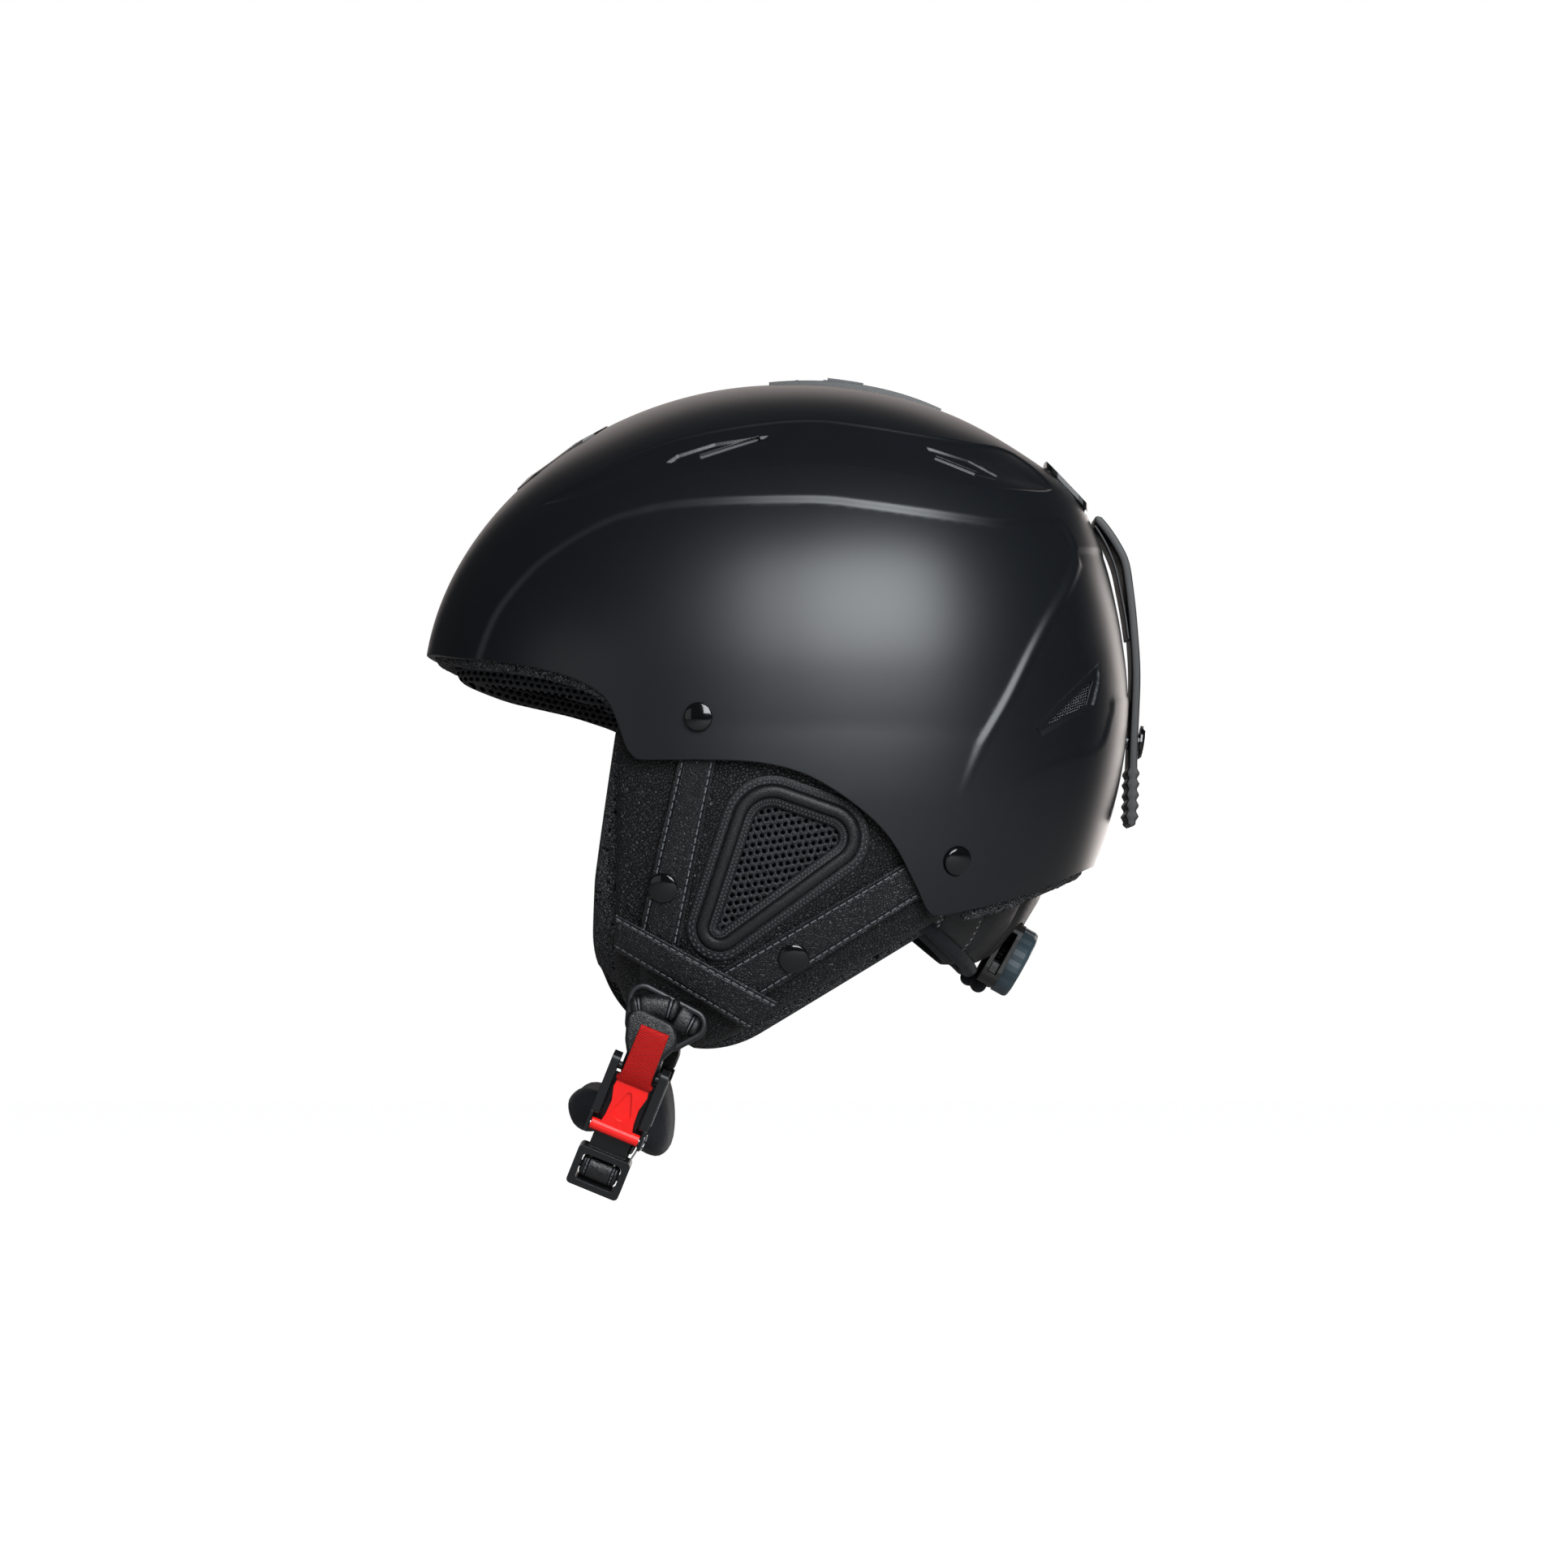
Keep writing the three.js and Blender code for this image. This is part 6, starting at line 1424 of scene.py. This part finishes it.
# %% Leather of the hangers and the chin band
def puffed_leather(name, length, inset=2.0, pitch=2.3):
    leather = Finish(name)
    place = leather.place()
    # the second colour is the painted shade of the creases
    color, height, normal = hide(leather, place, 0.7, 0.05, (0.008, 0.0082, 0.009), (0.005, 0.005, 0.0055))
    wrinkles = leather.noise(place, 4, 3, 0.6)
    normal = leather.bump(wrinkles, 0.7, 0.6, normal)
    along, around, _ = leather.parts(leather.along())
    thread, furrow = stitch_rows(around, along - length / 2 * mm, length / 2, inset, pitch)
    color = leather.mix(thread, color, (0.1, 0.1, 0.11))
    normal = leather.bump(thread - furrow * 1.5, 0.35, 0.9, normal)
    return leather.surface(color, 0.3 + 0.12 * height, Normal=normal, Specular_IOR_Level=0.6)


YOKE_FRAME = [(-50.8, -120.9, 4.7), (-32.8, -130.5, 4.9), (-40.3, -135.1, 4.4), (-51.8, -129.8, 4.4)]
LOBE_LENGTH = 18.2
hanger_leather = puffed_leather("hanger_leather", LOBE_LENGTH, 3.4)


def on_belt(circles, turns):
    """Points spread evenly along a belt line, and the outward ways there."""
    fine, lengths, line = dense_turns(circles)
    closed = np.vstack([line, line[:1]])
    run = np.mod(turns, math.tau) / math.tau * lengths[-1]
    at = np.stack([np.interp(run, lengths, closed[:, i]) for i in (0, 1)], -1)
    way = np.interp(run, lengths, np.append(fine, math.tau))
    return at, np.stack([np.cos(way), np.sin(way)], -1)


def belt_ring(circles, section, y, steps=130):
    """A flat ring along a belt line. Its section is a loop of points across it and out of it."""
    at, ways = on_belt(circles, np.linspace(0, math.tau, steps, endpoint=False))
    shape = bmesh.new()
    rows = []
    for (x, z), (way_x, way_z) in zip(at, ways):
        rows.append([shape.verts.new((x + way_x * grow, y + out, z + way_z * grow)) for grow, out in section])
    count = len(section)
    for row, following in zip(rows, rows[1:] + rows[:1]):
        for i in range(count):
            shape.faces.new((row[i], row[(i + 1) % count], following[(i + 1) % count], following[i]))
    bmesh.ops.recalc_face_normals(shape, faces=shape.faces)
    return shape


def lobe(shape, start, end, bow, heights, thickness, first_run, length):
    """A stuffed leather cushion along a line of the side view, from one half height to another."""
    shares = np.linspace(-1, 1, 41)
    t = (shares + 1) / 2
    line = np.array(start) + np.outer(t, np.array(end) - np.array(start))
    line[:, 1] += bow * (1 - shares ** 2)
    run = np.gradient(line, axis=0)
    run /= np.linalg.norm(run, axis=1)[:, None]
    seam = 0.16 * np.exp(-((first_run + t * length - LOBE_LENGTH + 3.4) / 0.7) ** 2)
    seam += 0.16 * np.exp(-((first_run + t * length - 3.4) / 0.7) ** 2)
    swell = swelling(shares, 9, 0.25) - seam
    tall = heights[0] + (heights[1] - heights[0]) * t
    centres = np.stack([line[:, 0], np.full(41, -79.6), line[:, 1]], -1)
    up = np.stack([-run[:, 1], np.zeros(41), run[:, 0]], -1)
    scales = np.stack([swell * thickness, swell * 2 * tall], -1)
    return path_sweep(shape, centres, np.tile((0, -1.0, 0), (41, 1)), up, rounded_box(1, 1, 2.5, 32), scales,
                      lengths=first_run + t * length)


def make_hanger(side_name, side):
    plastic = belt_ring(YOKE_FRAME, rounded_box(2.7, 5.2, 3.2, 20), -79)
    piece(f"yoke_frame_{side_name}", on_side(plastic, side), trim_black, stands_for=[f"yoke_ring_{side_name}"],
          smooth=50)
    shape = bmesh.new()
    lobe(shape, (-55.4, -124.5), (-37.4, -126), 1.5, (4.5, 4.9), 9.6, 0, LOBE_LENGTH)
    lobe(shape, (-38.7, -127.7), (-30.1, -132.2), 0, (6.3, 3.2), 8.6, LOBE_LENGTH - 10.2, 10.2)
    bmesh.ops.recalc_face_normals(shape, faces=shape.faces)
    root_at, length, width = between([(-0.375, -0.9), (-0.23, -0.94), (-0.215, -1.02), (-0.375, -1.0)], STRAP_DEPTH)
    root = flat_strip(length, width, root_at, 16, 20, crown=0.6)
    root.normal_update()
    made = piece(f"hanger_{side_name}", on_side(shape, side), hanger_leather,
                 stands_for=[f"yoke_hanger_{side_name}"], smooth=60)
    flap = piece(f"hanger_root_{side_name}", face_out(root, side), plain_leather,
                 stands_for=[f"yoke_hanger_{side_name}"])
    thicken(flap, 1.8)


for side_name, side in SIDES.items():
    make_hanger(side_name, side)

# %% Loop on the near ring, chin band and its roll
def cross_ways(centres):
    """For a path in a plane across the strap, the ways along X and square to the path."""
    run = np.gradient(np.array(centres, float), axis=0)
    run /= np.linalg.norm(run, axis=1)[:, None]
    across = np.tile((1.0, 0, 0), (len(run), 1))
    return across, np.cross(across, run)


def ring_tab(shape, sign, shift, foot, half_width=7.0):
    """A leather tab folded round the lower part of a ring and closed round a foot below it."""
    turns = np.linspace(0, math.tau, 36, endpoint=False)
    loop = belt([(sign * 79, -RING_RADIUS, 4.7), (sign * 79 + foot[0], foot[1], foot[2])], turns)
    middle = loop.mean(axis=0)
    shares = np.linspace(-1, 1, 21)
    scales = swelling(shares, 8, 0.45)
    centres = np.stack([shift + shares * half_width, np.full(21, middle[0]), np.full(21, middle[1])], -1)
    section = loop - middle
    return path_sweep(shape, centres, np.tile((0, 1.0, 0), (21, 1)), np.tile((0, 0, 1.0), (21, 1)), section,
                      np.stack([scales, scales], -1), SWING)


def round_tab(shape, circles, y, thickness):
    """Adds a flat tab with a belt outline, its edges rounded."""
    plate = turned(cushion_profile(thickness, 0.16, 0.3, 8), 72)
    co = np.array([v.co for v in plate.verts])
    at, _ = on_belt(circles, np.arctan2(co[:, 1], co[:, 0]))
    middle = np.array(circles)[:, :2].mean(axis=0)
    flat = middle + (at - middle) * (np.hypot(co[:, 0], co[:, 1]) / PLATE)[:, None]
    made = [shape.verts.new((a, y - out, b)) for (a, b), out in zip(flat, co[:, 2])]
    for face in plate.faces:
        shape.faces.new([made[v.index] for v in face.verts])
    plate.free()


near_loop = bmesh.new()
ring_tab(near_loop, LEFT, -2.5, (0.4, -18.6, 3.3))
round_tab(near_loop, [(-44.6, -135.5, 7.2), (-51.2, -135.9, 6.2), (-49.9, -141, 6.7), (-52.4, -128.6, 4.4)], -80.6, 7.6)
bmesh.ops.recalc_face_normals(near_loop, faces=near_loop.faces)
loop_leather = puffed_leather("loop_leather", 14, 2.2)
loop_piece = piece("near_loop", near_loop, loop_leather, "chin_strap", ["strap_loop_left"], 60)

LADDER_MIDDLE = 42.15
CHIN_DROP, CHIN_SAG, CHIN_HALF_SPAN = 38.5, 3, 44


def chin_route():
    """Middle of the chin band in the strap's frame, from the ladder to the far ring."""
    to_swing = SWING.inverted() @ BUCKLE
    start = [to_swing @ Vector((0, stand, -LADDER_MIDDLE)) for stand in (2.4, 7.5)]
    under = [Vector((-2, t * CHIN_HALF_SPAN, -CHIN_DROP - CHIN_SAG * (1 - t * t) - 8.6 * (1 - t ** 4) ** 0.25 - 1))
             for t in (-0.84, -0.5, 0, 0.5, 0.84)]
    foot = Vector((0, 79, -RING_RADIUS - 5.7))
    return start + under + [foot + Vector((0, -8, -7.5)), foot]


band_leather = stitched_leather("band_leather", 7.5)
route = np.array([tuple(p) for p in chin_route()])
# the curve helper is for plane points, so two of them carry the three coordinates
route_yz = np.array(flowing(route[:, 1:], 8, closed=False))
route_x = np.array(flowing(np.stack([route[:, 0], route[:, 2]], -1), 8, closed=False))[:, 0]
band_path = np.column_stack([route_x, route_yz])
across, out = cross_ways(band_path)
band = bmesh.new()
flat = np.ones((len(band_path), 2))
path_sweep(band, band_path, across, out, rounded_box(15, 2.4, 7, 40), flat, SWING)
ring_tab(band, RIGHT, 0, (0, -17.6, 2.4))
bmesh.ops.recalc_face_normals(band, faces=band.faces)
piece("chin_leather", band, band_leather, "chin_strap", ["chin_band"], 50)

roll = bmesh.new()
shares = np.linspace(-1, 1, 31)
roll_scale = swelling(shares, 10, 0.55) - 0.1 * np.exp(-((np.abs(shares) - 0.7) / 0.06) ** 2)
roll_centres = np.stack([shares * 7.4, np.full(31, 0.2), np.full(31, -LADDER_MIDDLE)], -1)
path_sweep(roll, roll_centres, np.tile((0, 1.0, 0), (31, 1)), np.tile((0, 0, 1.0), (31, 1)),
           rounded_box(7.8, 8.6, 2.4, 32), np.stack([roll_scale, roll_scale], -1), BUCKLE)
bmesh.ops.recalc_face_normals(roll, faces=roll.faces)
roll_leather = puffed_leather("roll_leather", 14.8, 2.2, 1.9)
piece("band_roll", roll, roll_leather, "chin_strap", ["chin_band"], 60)
print("loop, band and roll made")

# %% [markdown]
# The chin pad is a thick velvet roll folded over the band, so that from the side it shows a lobe on
# each side of the buckle. Its section is drawn in the side view and moved across under the chin,
# smaller at the ends and a little lower in the middle, where it hangs.

# %% Chin pad
PAD_SECTION = flowing([(-70, -154.5), (-76, -153.6), (-80.6, -157), (-81.6, -161.5), (-79.6, -167.4), (-75, -170.4),
                       (-69, -170), (-63.5, -171), (-57, -175.4), (-51.5, -179), (-46.6, -179.8), (-42.6, -176),
                       (-41.4, -168), (-42, -158.5), (-44, -151.5), (-47.5, -149.6), (-51, -153.6), (-54, -159),
                       (-59.5, -160.6), (-65, -158)], 3)


def chin_cushion():
    outline = np.array(PAD_SECTION)
    middle = outline.mean(axis=0)
    shares = np.linspace(-1, 1, 61)
    scales = (1 - np.abs(shares) ** 7) ** 0.4 * 0.9 + 0.1
    centres = np.stack([np.full(61, middle[0]), shares * 45.5, middle[1] - 3 * (1 - shares ** 2)], -1)
    shape = bmesh.new()
    path_sweep(shape, centres, np.tile((1.0, 0, 0), (61, 1)), np.tile((0, 0, 1.0), (61, 1)), outline - middle,
               np.stack([scales, scales], -1))
    bmesh.ops.recalc_face_normals(shape, faces=shape.faces)
    return shape


chin_cloth = piece("chin_cushion", chin_cushion(), velvet, "chin_strap", ["chin_pad"], 70)

# %% [markdown]
# The tab is a doubled ribbon of bright red webbing. Its weave is two sets of waves at a slant, one
# dark and one light, and its lower end flares where the ribbon spreads over the lever's edge.

# %% Red webbing tab
def red_webbing():
    cloth = Finish("red_webbing")
    along, across, _ = cloth.parts(cloth.along())
    slant = (along * 1.7 + across).wrapped(0.95 * mm) / (0.95 * mm) - 0.5
    cross = (along - across * 1.6).wrapped(0.8 * mm) / (0.8 * mm) - 0.5
    weave = 1 - (abs(slant) + abs(cross))
    fibre = cloth.noise(cloth.place(), 0.3, 2)
    color = cloth.mix(weave.ramp(0.1, 0.8), (0.3, 0.003, 0.003), (0.62, 0.01, 0.007))
    normal = cloth.bump(weave + 0.3 * fibre, 0.22)
    return cloth.surface(color, 0.62, Normal=normal, Specular_IOR_Level=0.2)


TAB_PLACES = [(-6.5, 20.4), (-6.8, 17.2), (-6.9, 12), (-6.7, 7), (-6.3, 2.2), (-5.4, -1.4), (-4.6, -3.2)]
TAB_LINE = flowing(TAB_PLACES, 6, closed=False)
TAB_WIDTHS = [(-3.2, 13.6), (-2.2, 14.2), (-1.2, 12.3), (2, 11.6), (20.4, 11.2)]
tab_points = np.array([(0, y, z) for y, z in TAB_LINE])
across, out = cross_ways(tab_points)
heights, widths = zip(*TAB_WIDTHS)
tab_scale = np.interp(tab_points[:, 2], heights, widths)
top_round = np.sqrt(np.clip((20.6 - tab_points[:, 2]) / 1.2, 0.08, 1))
tab = bmesh.new()
path_sweep(tab, tab_points, across, out, rounded_box(1, 2.3, 9, 44), np.stack([tab_scale, top_round], -1), BUCKLE)
bmesh.ops.recalc_face_normals(tab, faces=tab.faces)
piece("webbing_tab", tab, red_webbing(), "release_lever", ["pull_tab"], 50)

# %% [markdown]
# Two small bright things catch the eye beside the buckle: the end of the lever's pin with its ring,
# and the wire clip behind the ladder. They are bent steel wire about half a millimetre thick.

# %% Wire clip and pin ring
def wire(name, points, thickness, body="chin_strap", place=BUCKLE):
    path = np.array(points, float)
    run = np.gradient(path, axis=0)
    run /= np.linalg.norm(run, axis=1)[:, None]
    side_way = np.cross(run, (0.31, 1.0, 0.17))
    side_way /= np.linalg.norm(side_way, axis=1)[:, None]
    shape = bmesh.new()
    path_sweep(shape, path, side_way, np.cross(run, side_way), rounded_box(thickness, thickness, 2, 10),
               np.ones((len(path), 2)), place)
    bmesh.ops.recalc_face_normals(shape, faces=shape.faces)
    return piece(name, shape, steel, body, smooth=60)


ring_turns = np.linspace(0, 1.9 * math.pi, 28)
wire("pin_ring", [(11.5 + 0.4 * math.cos(t), -2.6 + 2.3 * math.cos(t), -24.2 + 2.9 * math.sin(t))
                  for t in ring_turns], 0.8)
wire("clip_wire", [(9.6, 1.8, -26), (10.4, 1.6, -28.5), (9.9, 1.2, -31.5), (9.2, 0.6, -34.6)], 0.7)
wire("rail_wire", [(11.7, -0.6, 1.5), (11.75, -1.6, -4), (11.75, -1.8, -11), (11.7, -1.4, -17.5)], 0.55)
print("chin strap dressed")

# %% [markdown]
# The neck pad is a band round the nape in three layers: a leather face quilted into panels, a thick
# velvet piping along its lower edge, and a velvet lining towards the neck. The fit dial sits in the
# middle of its back. In the side view its lower edge climbs towards the ear, so the height of the
# edge is found for every angle round the head by the same halving search that found the rim.

# %% Neck pad
NECK_HALF_TURN = 54
NECK_SEAMS = (21, 34, 46)


def neck_edge(turns, depth, drop=0.0):
    """Height of the pad's lower edge at angles from the rear."""
    low, high = np.full(turns.shape, -135.0), np.full(turns.shape, -80.0)
    for _ in range(24):
        middle = (low + high) / 2
        x = round_reach(turns, middle, depth) * np.cos(turns)
        above = middle > -94 - (x - 58) * 0.86 - drop
        low, high = np.where(above, low, middle), np.where(above, middle, high)
    return (low + high) / 2


def quilt(turn):
    """How far the leather is drawn in by the seams, in millimetres."""
    away = np.abs(np.abs(np.degrees(turn))[..., None] - np.array(NECK_SEAMS)).min(axis=-1)
    return 2.2 * np.exp(-(away / 1.0) ** 2) + 0.7 * np.exp(-(away / 2.4) ** 2)


def neck_layer(shape, outer, inner, top, drop, steps=(150, 34), puff=0.0, seams=False):
    """Adds a padded band between two depths, from a top height down to the lower edge."""
    layer = strip_layer(shape)
    u = np.linspace(-1, 1, steps[0])
    turns = np.radians(NECK_HALF_TURN) * u
    foot = neck_edge(turns, (outer + inner) / 2, drop)
    turns_cut = quilt(turns) if seams else np.zeros_like(turns)
    ring = np.linspace(0, math.tau, 2 * steps[1], endpoint=False)
    fuller = lambda v, p: np.sign(v) * np.abs(v) ** (2 / p)
    v, w = fuller(np.sin(ring), 9), fuller(np.cos(ring), 3.2)
    ends = (1 - np.abs(u) ** 24) ** 0.5 * 0.94 + 0.06
    grid = []
    for turn, low_z, cut, end in zip(turns, foot, turns_cut, ends):
        z = (top + low_z) / 2 + (top - low_z) / 2 * v
        half = (inner - outer) / 2
        swell = puff * (1 - v ** 2)
        depth = (outer + inner) / 2 - w * (half + np.where(w > 0, swell - cut, 0)) * end
        reach = round_reach(np.full(z.shape, turn), z, depth)
        grid.append(np.stack([reach * math.cos(turn), reach * math.sin(turn), z], -1))
    rows = [[shape.verts.new(p) for p in row] for row in grid]
    count = len(ring)
    for k in range(steps[0] - 1):
        for i in range(count):
            j = (i + 1) % count
            face = shape.faces.new((rows[k][i], rows[k][j], rows[k + 1][j], rows[k + 1][i]))
            for loop, (a, b) in zip(face.loops, ((k, i), (k, j), (k + 1, j), (k + 1, i))):
                loop[layer].uv = (math.degrees(turns[a]) * mm, grid[a][b][2] * mm)
    shape.faces.new(rows[0])
    shape.faces.new(rows[-1][::-1])
    bmesh.ops.recalc_face_normals(shape, faces=shape.faces)
    return shape


def quilted_leather():
    """Leather with rows of pinholes along its seams. The first coordinate is an angle, one a unit."""
    leather = Finish("quilted_leather")
    place = leather.place()
    # the second colour is the painted shade of the creases
    color, height, normal = hide(leather, place, 0.9, 0.06, (0.0085, 0.0085, 0.009), (0.005, 0.005, 0.0055))
    turn, level, _ = leather.parts(leather.along())
    holes = None
    for seam in NECK_SEAMS[1:]:
        for shift, start in ((1.5, 0.0), (2.4, 0.7)):
            across = (abs(turn) - (seam + shift) * mm) * 1.5
            along = (level + start * mm).wrapped(2.2 * mm) - 1.1 * mm
            away = leather.node("ShaderNodeMath", {"operation": "SQRT"}, {0: across * across + along * along})
            hole = 1 - away.ramp(0.34 * mm, 0.62 * mm)
            holes = hole if holes is None else holes + hole
    middle = 1 - abs(turn).ramp(19 * mm, 21 * mm)
    color = leather.mix(middle, color, (0.017, 0.015, 0.015))
    color = leather.mix(holes, color, (0.3, 0.3, 0.31))
    normal = leather.bump(holes * -1, 0.3, 0.9, normal)
    return leather.surface(color, 0.4 + 0.1 * height, Normal=normal, Specular_IOR_Level=0.55)


def make_neck_pad():
    face = neck_layer(bmesh.new(), 14, 21.5, -77, 0, puff=1.2, seams=True)
    leather = quilted_leather()
    made = piece("neck_leather", face, leather)
    room = loose("dial_room", prism(plate_outline(28, 57.4, 3), -13.6, 6, axis="Z"))
    room.matrix_world = Matrix(((-0.48481, 0, 0.87462, 0.0899), (0, 1, 0, 0),
                                (-0.87462, 0, -0.48481, -0.1056), (0, 0, 0, 1)))
    bpy.context.view_layer.update()
    carve(made, room, keep=True)
    dress(made, leather, stands_for=["neck_pad"], smooth=50)
    lining = neck_layer(bmesh.new(), 22, 28, -78, 7.5, puff=0.4)
    inner = piece("neck_velvet", lining, velvet, stands_for=["neck_pad"], smooth=60)
    carve(inner, room)
    dress(inner, velvet, stands_for=["neck_pad"], smooth=50)


make_neck_pad()

# %% Velvet piping and its knot
def neck_piping():
    turns = np.radians(np.linspace(-NECK_HALF_TURN - 1, NECK_HALF_TURN + 1, 160))
    heights = neck_edge(turns, 18) - 1.2
    reach = round_reach(turns, heights, 18)
    centres = np.stack([reach * np.cos(turns), reach * np.sin(turns), heights], -1)
    run = np.gradient(centres, axis=0)
    run /= np.linalg.norm(run, axis=1)[:, None]
    out = centres * (1, 1, 0)
    out /= np.linalg.norm(out, axis=1)[:, None]
    up = np.cross(run, out)
    up /= np.linalg.norm(up, axis=1)[:, None]
    random = np.random.default_rng(5)
    lumps = 1 + 0.05 * np.interp(np.arange(160), np.arange(0, 168, 8), random.normal(0, 1, 21))
    shape = bmesh.new()
    path_sweep(shape, centres, np.cross(up, run), up, rounded_box(6.2, 5.4, 2, 20), np.stack([lumps, lumps], -1))
    bmesh.ops.recalc_face_normals(shape, faces=shape.faces)
    made = piece("neck_piping", shape, velvet, stands_for=["neck_pad"], smooth=70)


def neck_knot():
    """The lump where the ends of the piping are tied, low at the rear."""
    shape = bmesh.new()
    for middle, size in (((78.2, -4, -115.6), (3.4, 5, 3.6)), ((75, 3, -113.4), (3.6, 5, 3.2))):
        ball = bmesh.ops.create_uvsphere(shape, u_segments=28, v_segments=18, radius=1)["verts"]
        bmesh.ops.scale(shape, vec=size, verts=ball)
        bmesh.ops.translate(shape, vec=middle, verts=ball)
    made = piece("neck_knot", shape, velvet, stands_for=["neck_pad"], smooth=70)


neck_piping()
neck_knot()
print("neck pad made")

# %% [markdown]
# The goggle strap is a thick rubber band that springs off the shell, with a thinner inner ply that
# parts from it near the top and comes back lower down. Its free end has wavy grip teeth on both
# faces. The middle line is a smooth curve through a few places given by tilt and by how far the
# band stands off the shell; the teeth are a wave added to the thickness near the end.

# %% Goggle strap
STRAP_PLACES = [(61.5, 1.2), (64, 1.7), (67, 2.15), (70, 2.35), (74, 1.95), (80, 1.45), (88, 1.24), (98, 1.24),
                (103, 1.6), (109, 2.4), (111.5, 2.8)]
RUBBER_THICKNESS, RUBBER_WIDTH = 3.6, 21


def rubber_line(places, share=0.5):
    points = []
    for tilt, stand in places:
        at = mid_point(tilt, -(stand - share) * RUBBER_THICKNESS)
        points.append((at[0], at[2]))
    return np.array(flowing(points, 18, closed=False))


def rubber_band(name, line, thickness, width, teeth=0.0, stands_for=()):
    run = np.gradient(line, axis=0)
    lengths = np.linalg.norm(run, axis=1)
    run /= lengths[:, None]
    along = np.concatenate([[0], np.cumsum(np.linalg.norm(np.diff(line, axis=0), axis=1))])
    left = along[-1] - along
    wave = teeth * np.clip((24 - left) / 1.5, 0, 1) * np.clip(left / 1.2, 0, 1)
    wave = wave * np.abs(np.mod(left / 4.2, 1) * 2 - 1) ** 1.2
    ends = np.sqrt(np.clip(np.minimum(along, left) / (thickness / 2), 0.02, 1))
    count = len(line)
    centres = np.stack([line[:, 0], np.zeros(count), line[:, 1]], -1)
    out = np.stack([-run[:, 1], np.zeros(count), run[:, 0]], -1)
    scale = np.stack([np.ones(count), (thickness + 2 * wave) * ends], -1)
    shape = bmesh.new()
    path_sweep(shape, centres, np.tile((0, 1.0, 0), (count, 1)), out, rounded_box(width, 1, 10, 48), scale)
    bmesh.ops.recalc_face_normals(shape, faces=shape.faces)
    return piece(name, shape, band_rubber, "goggle_strap", stands_for, 40)


rubber_band("goggle_band", rubber_line(STRAP_PLACES), RUBBER_THICKNESS - 0.1, RUBBER_WIDTH, 1.25, ["goggle_strap"])
INNER_PLACES = [(62.6, 0.75), (66, 1.1), (70, 1.22), (74, 0.98), (78, 0.82), (82, 0.74)]
rubber_band("goggle_inner_ply", rubber_line(INNER_PLACES, 0.5), 1.1, RUBBER_WIDTH - 3)
print("goggle strap made")
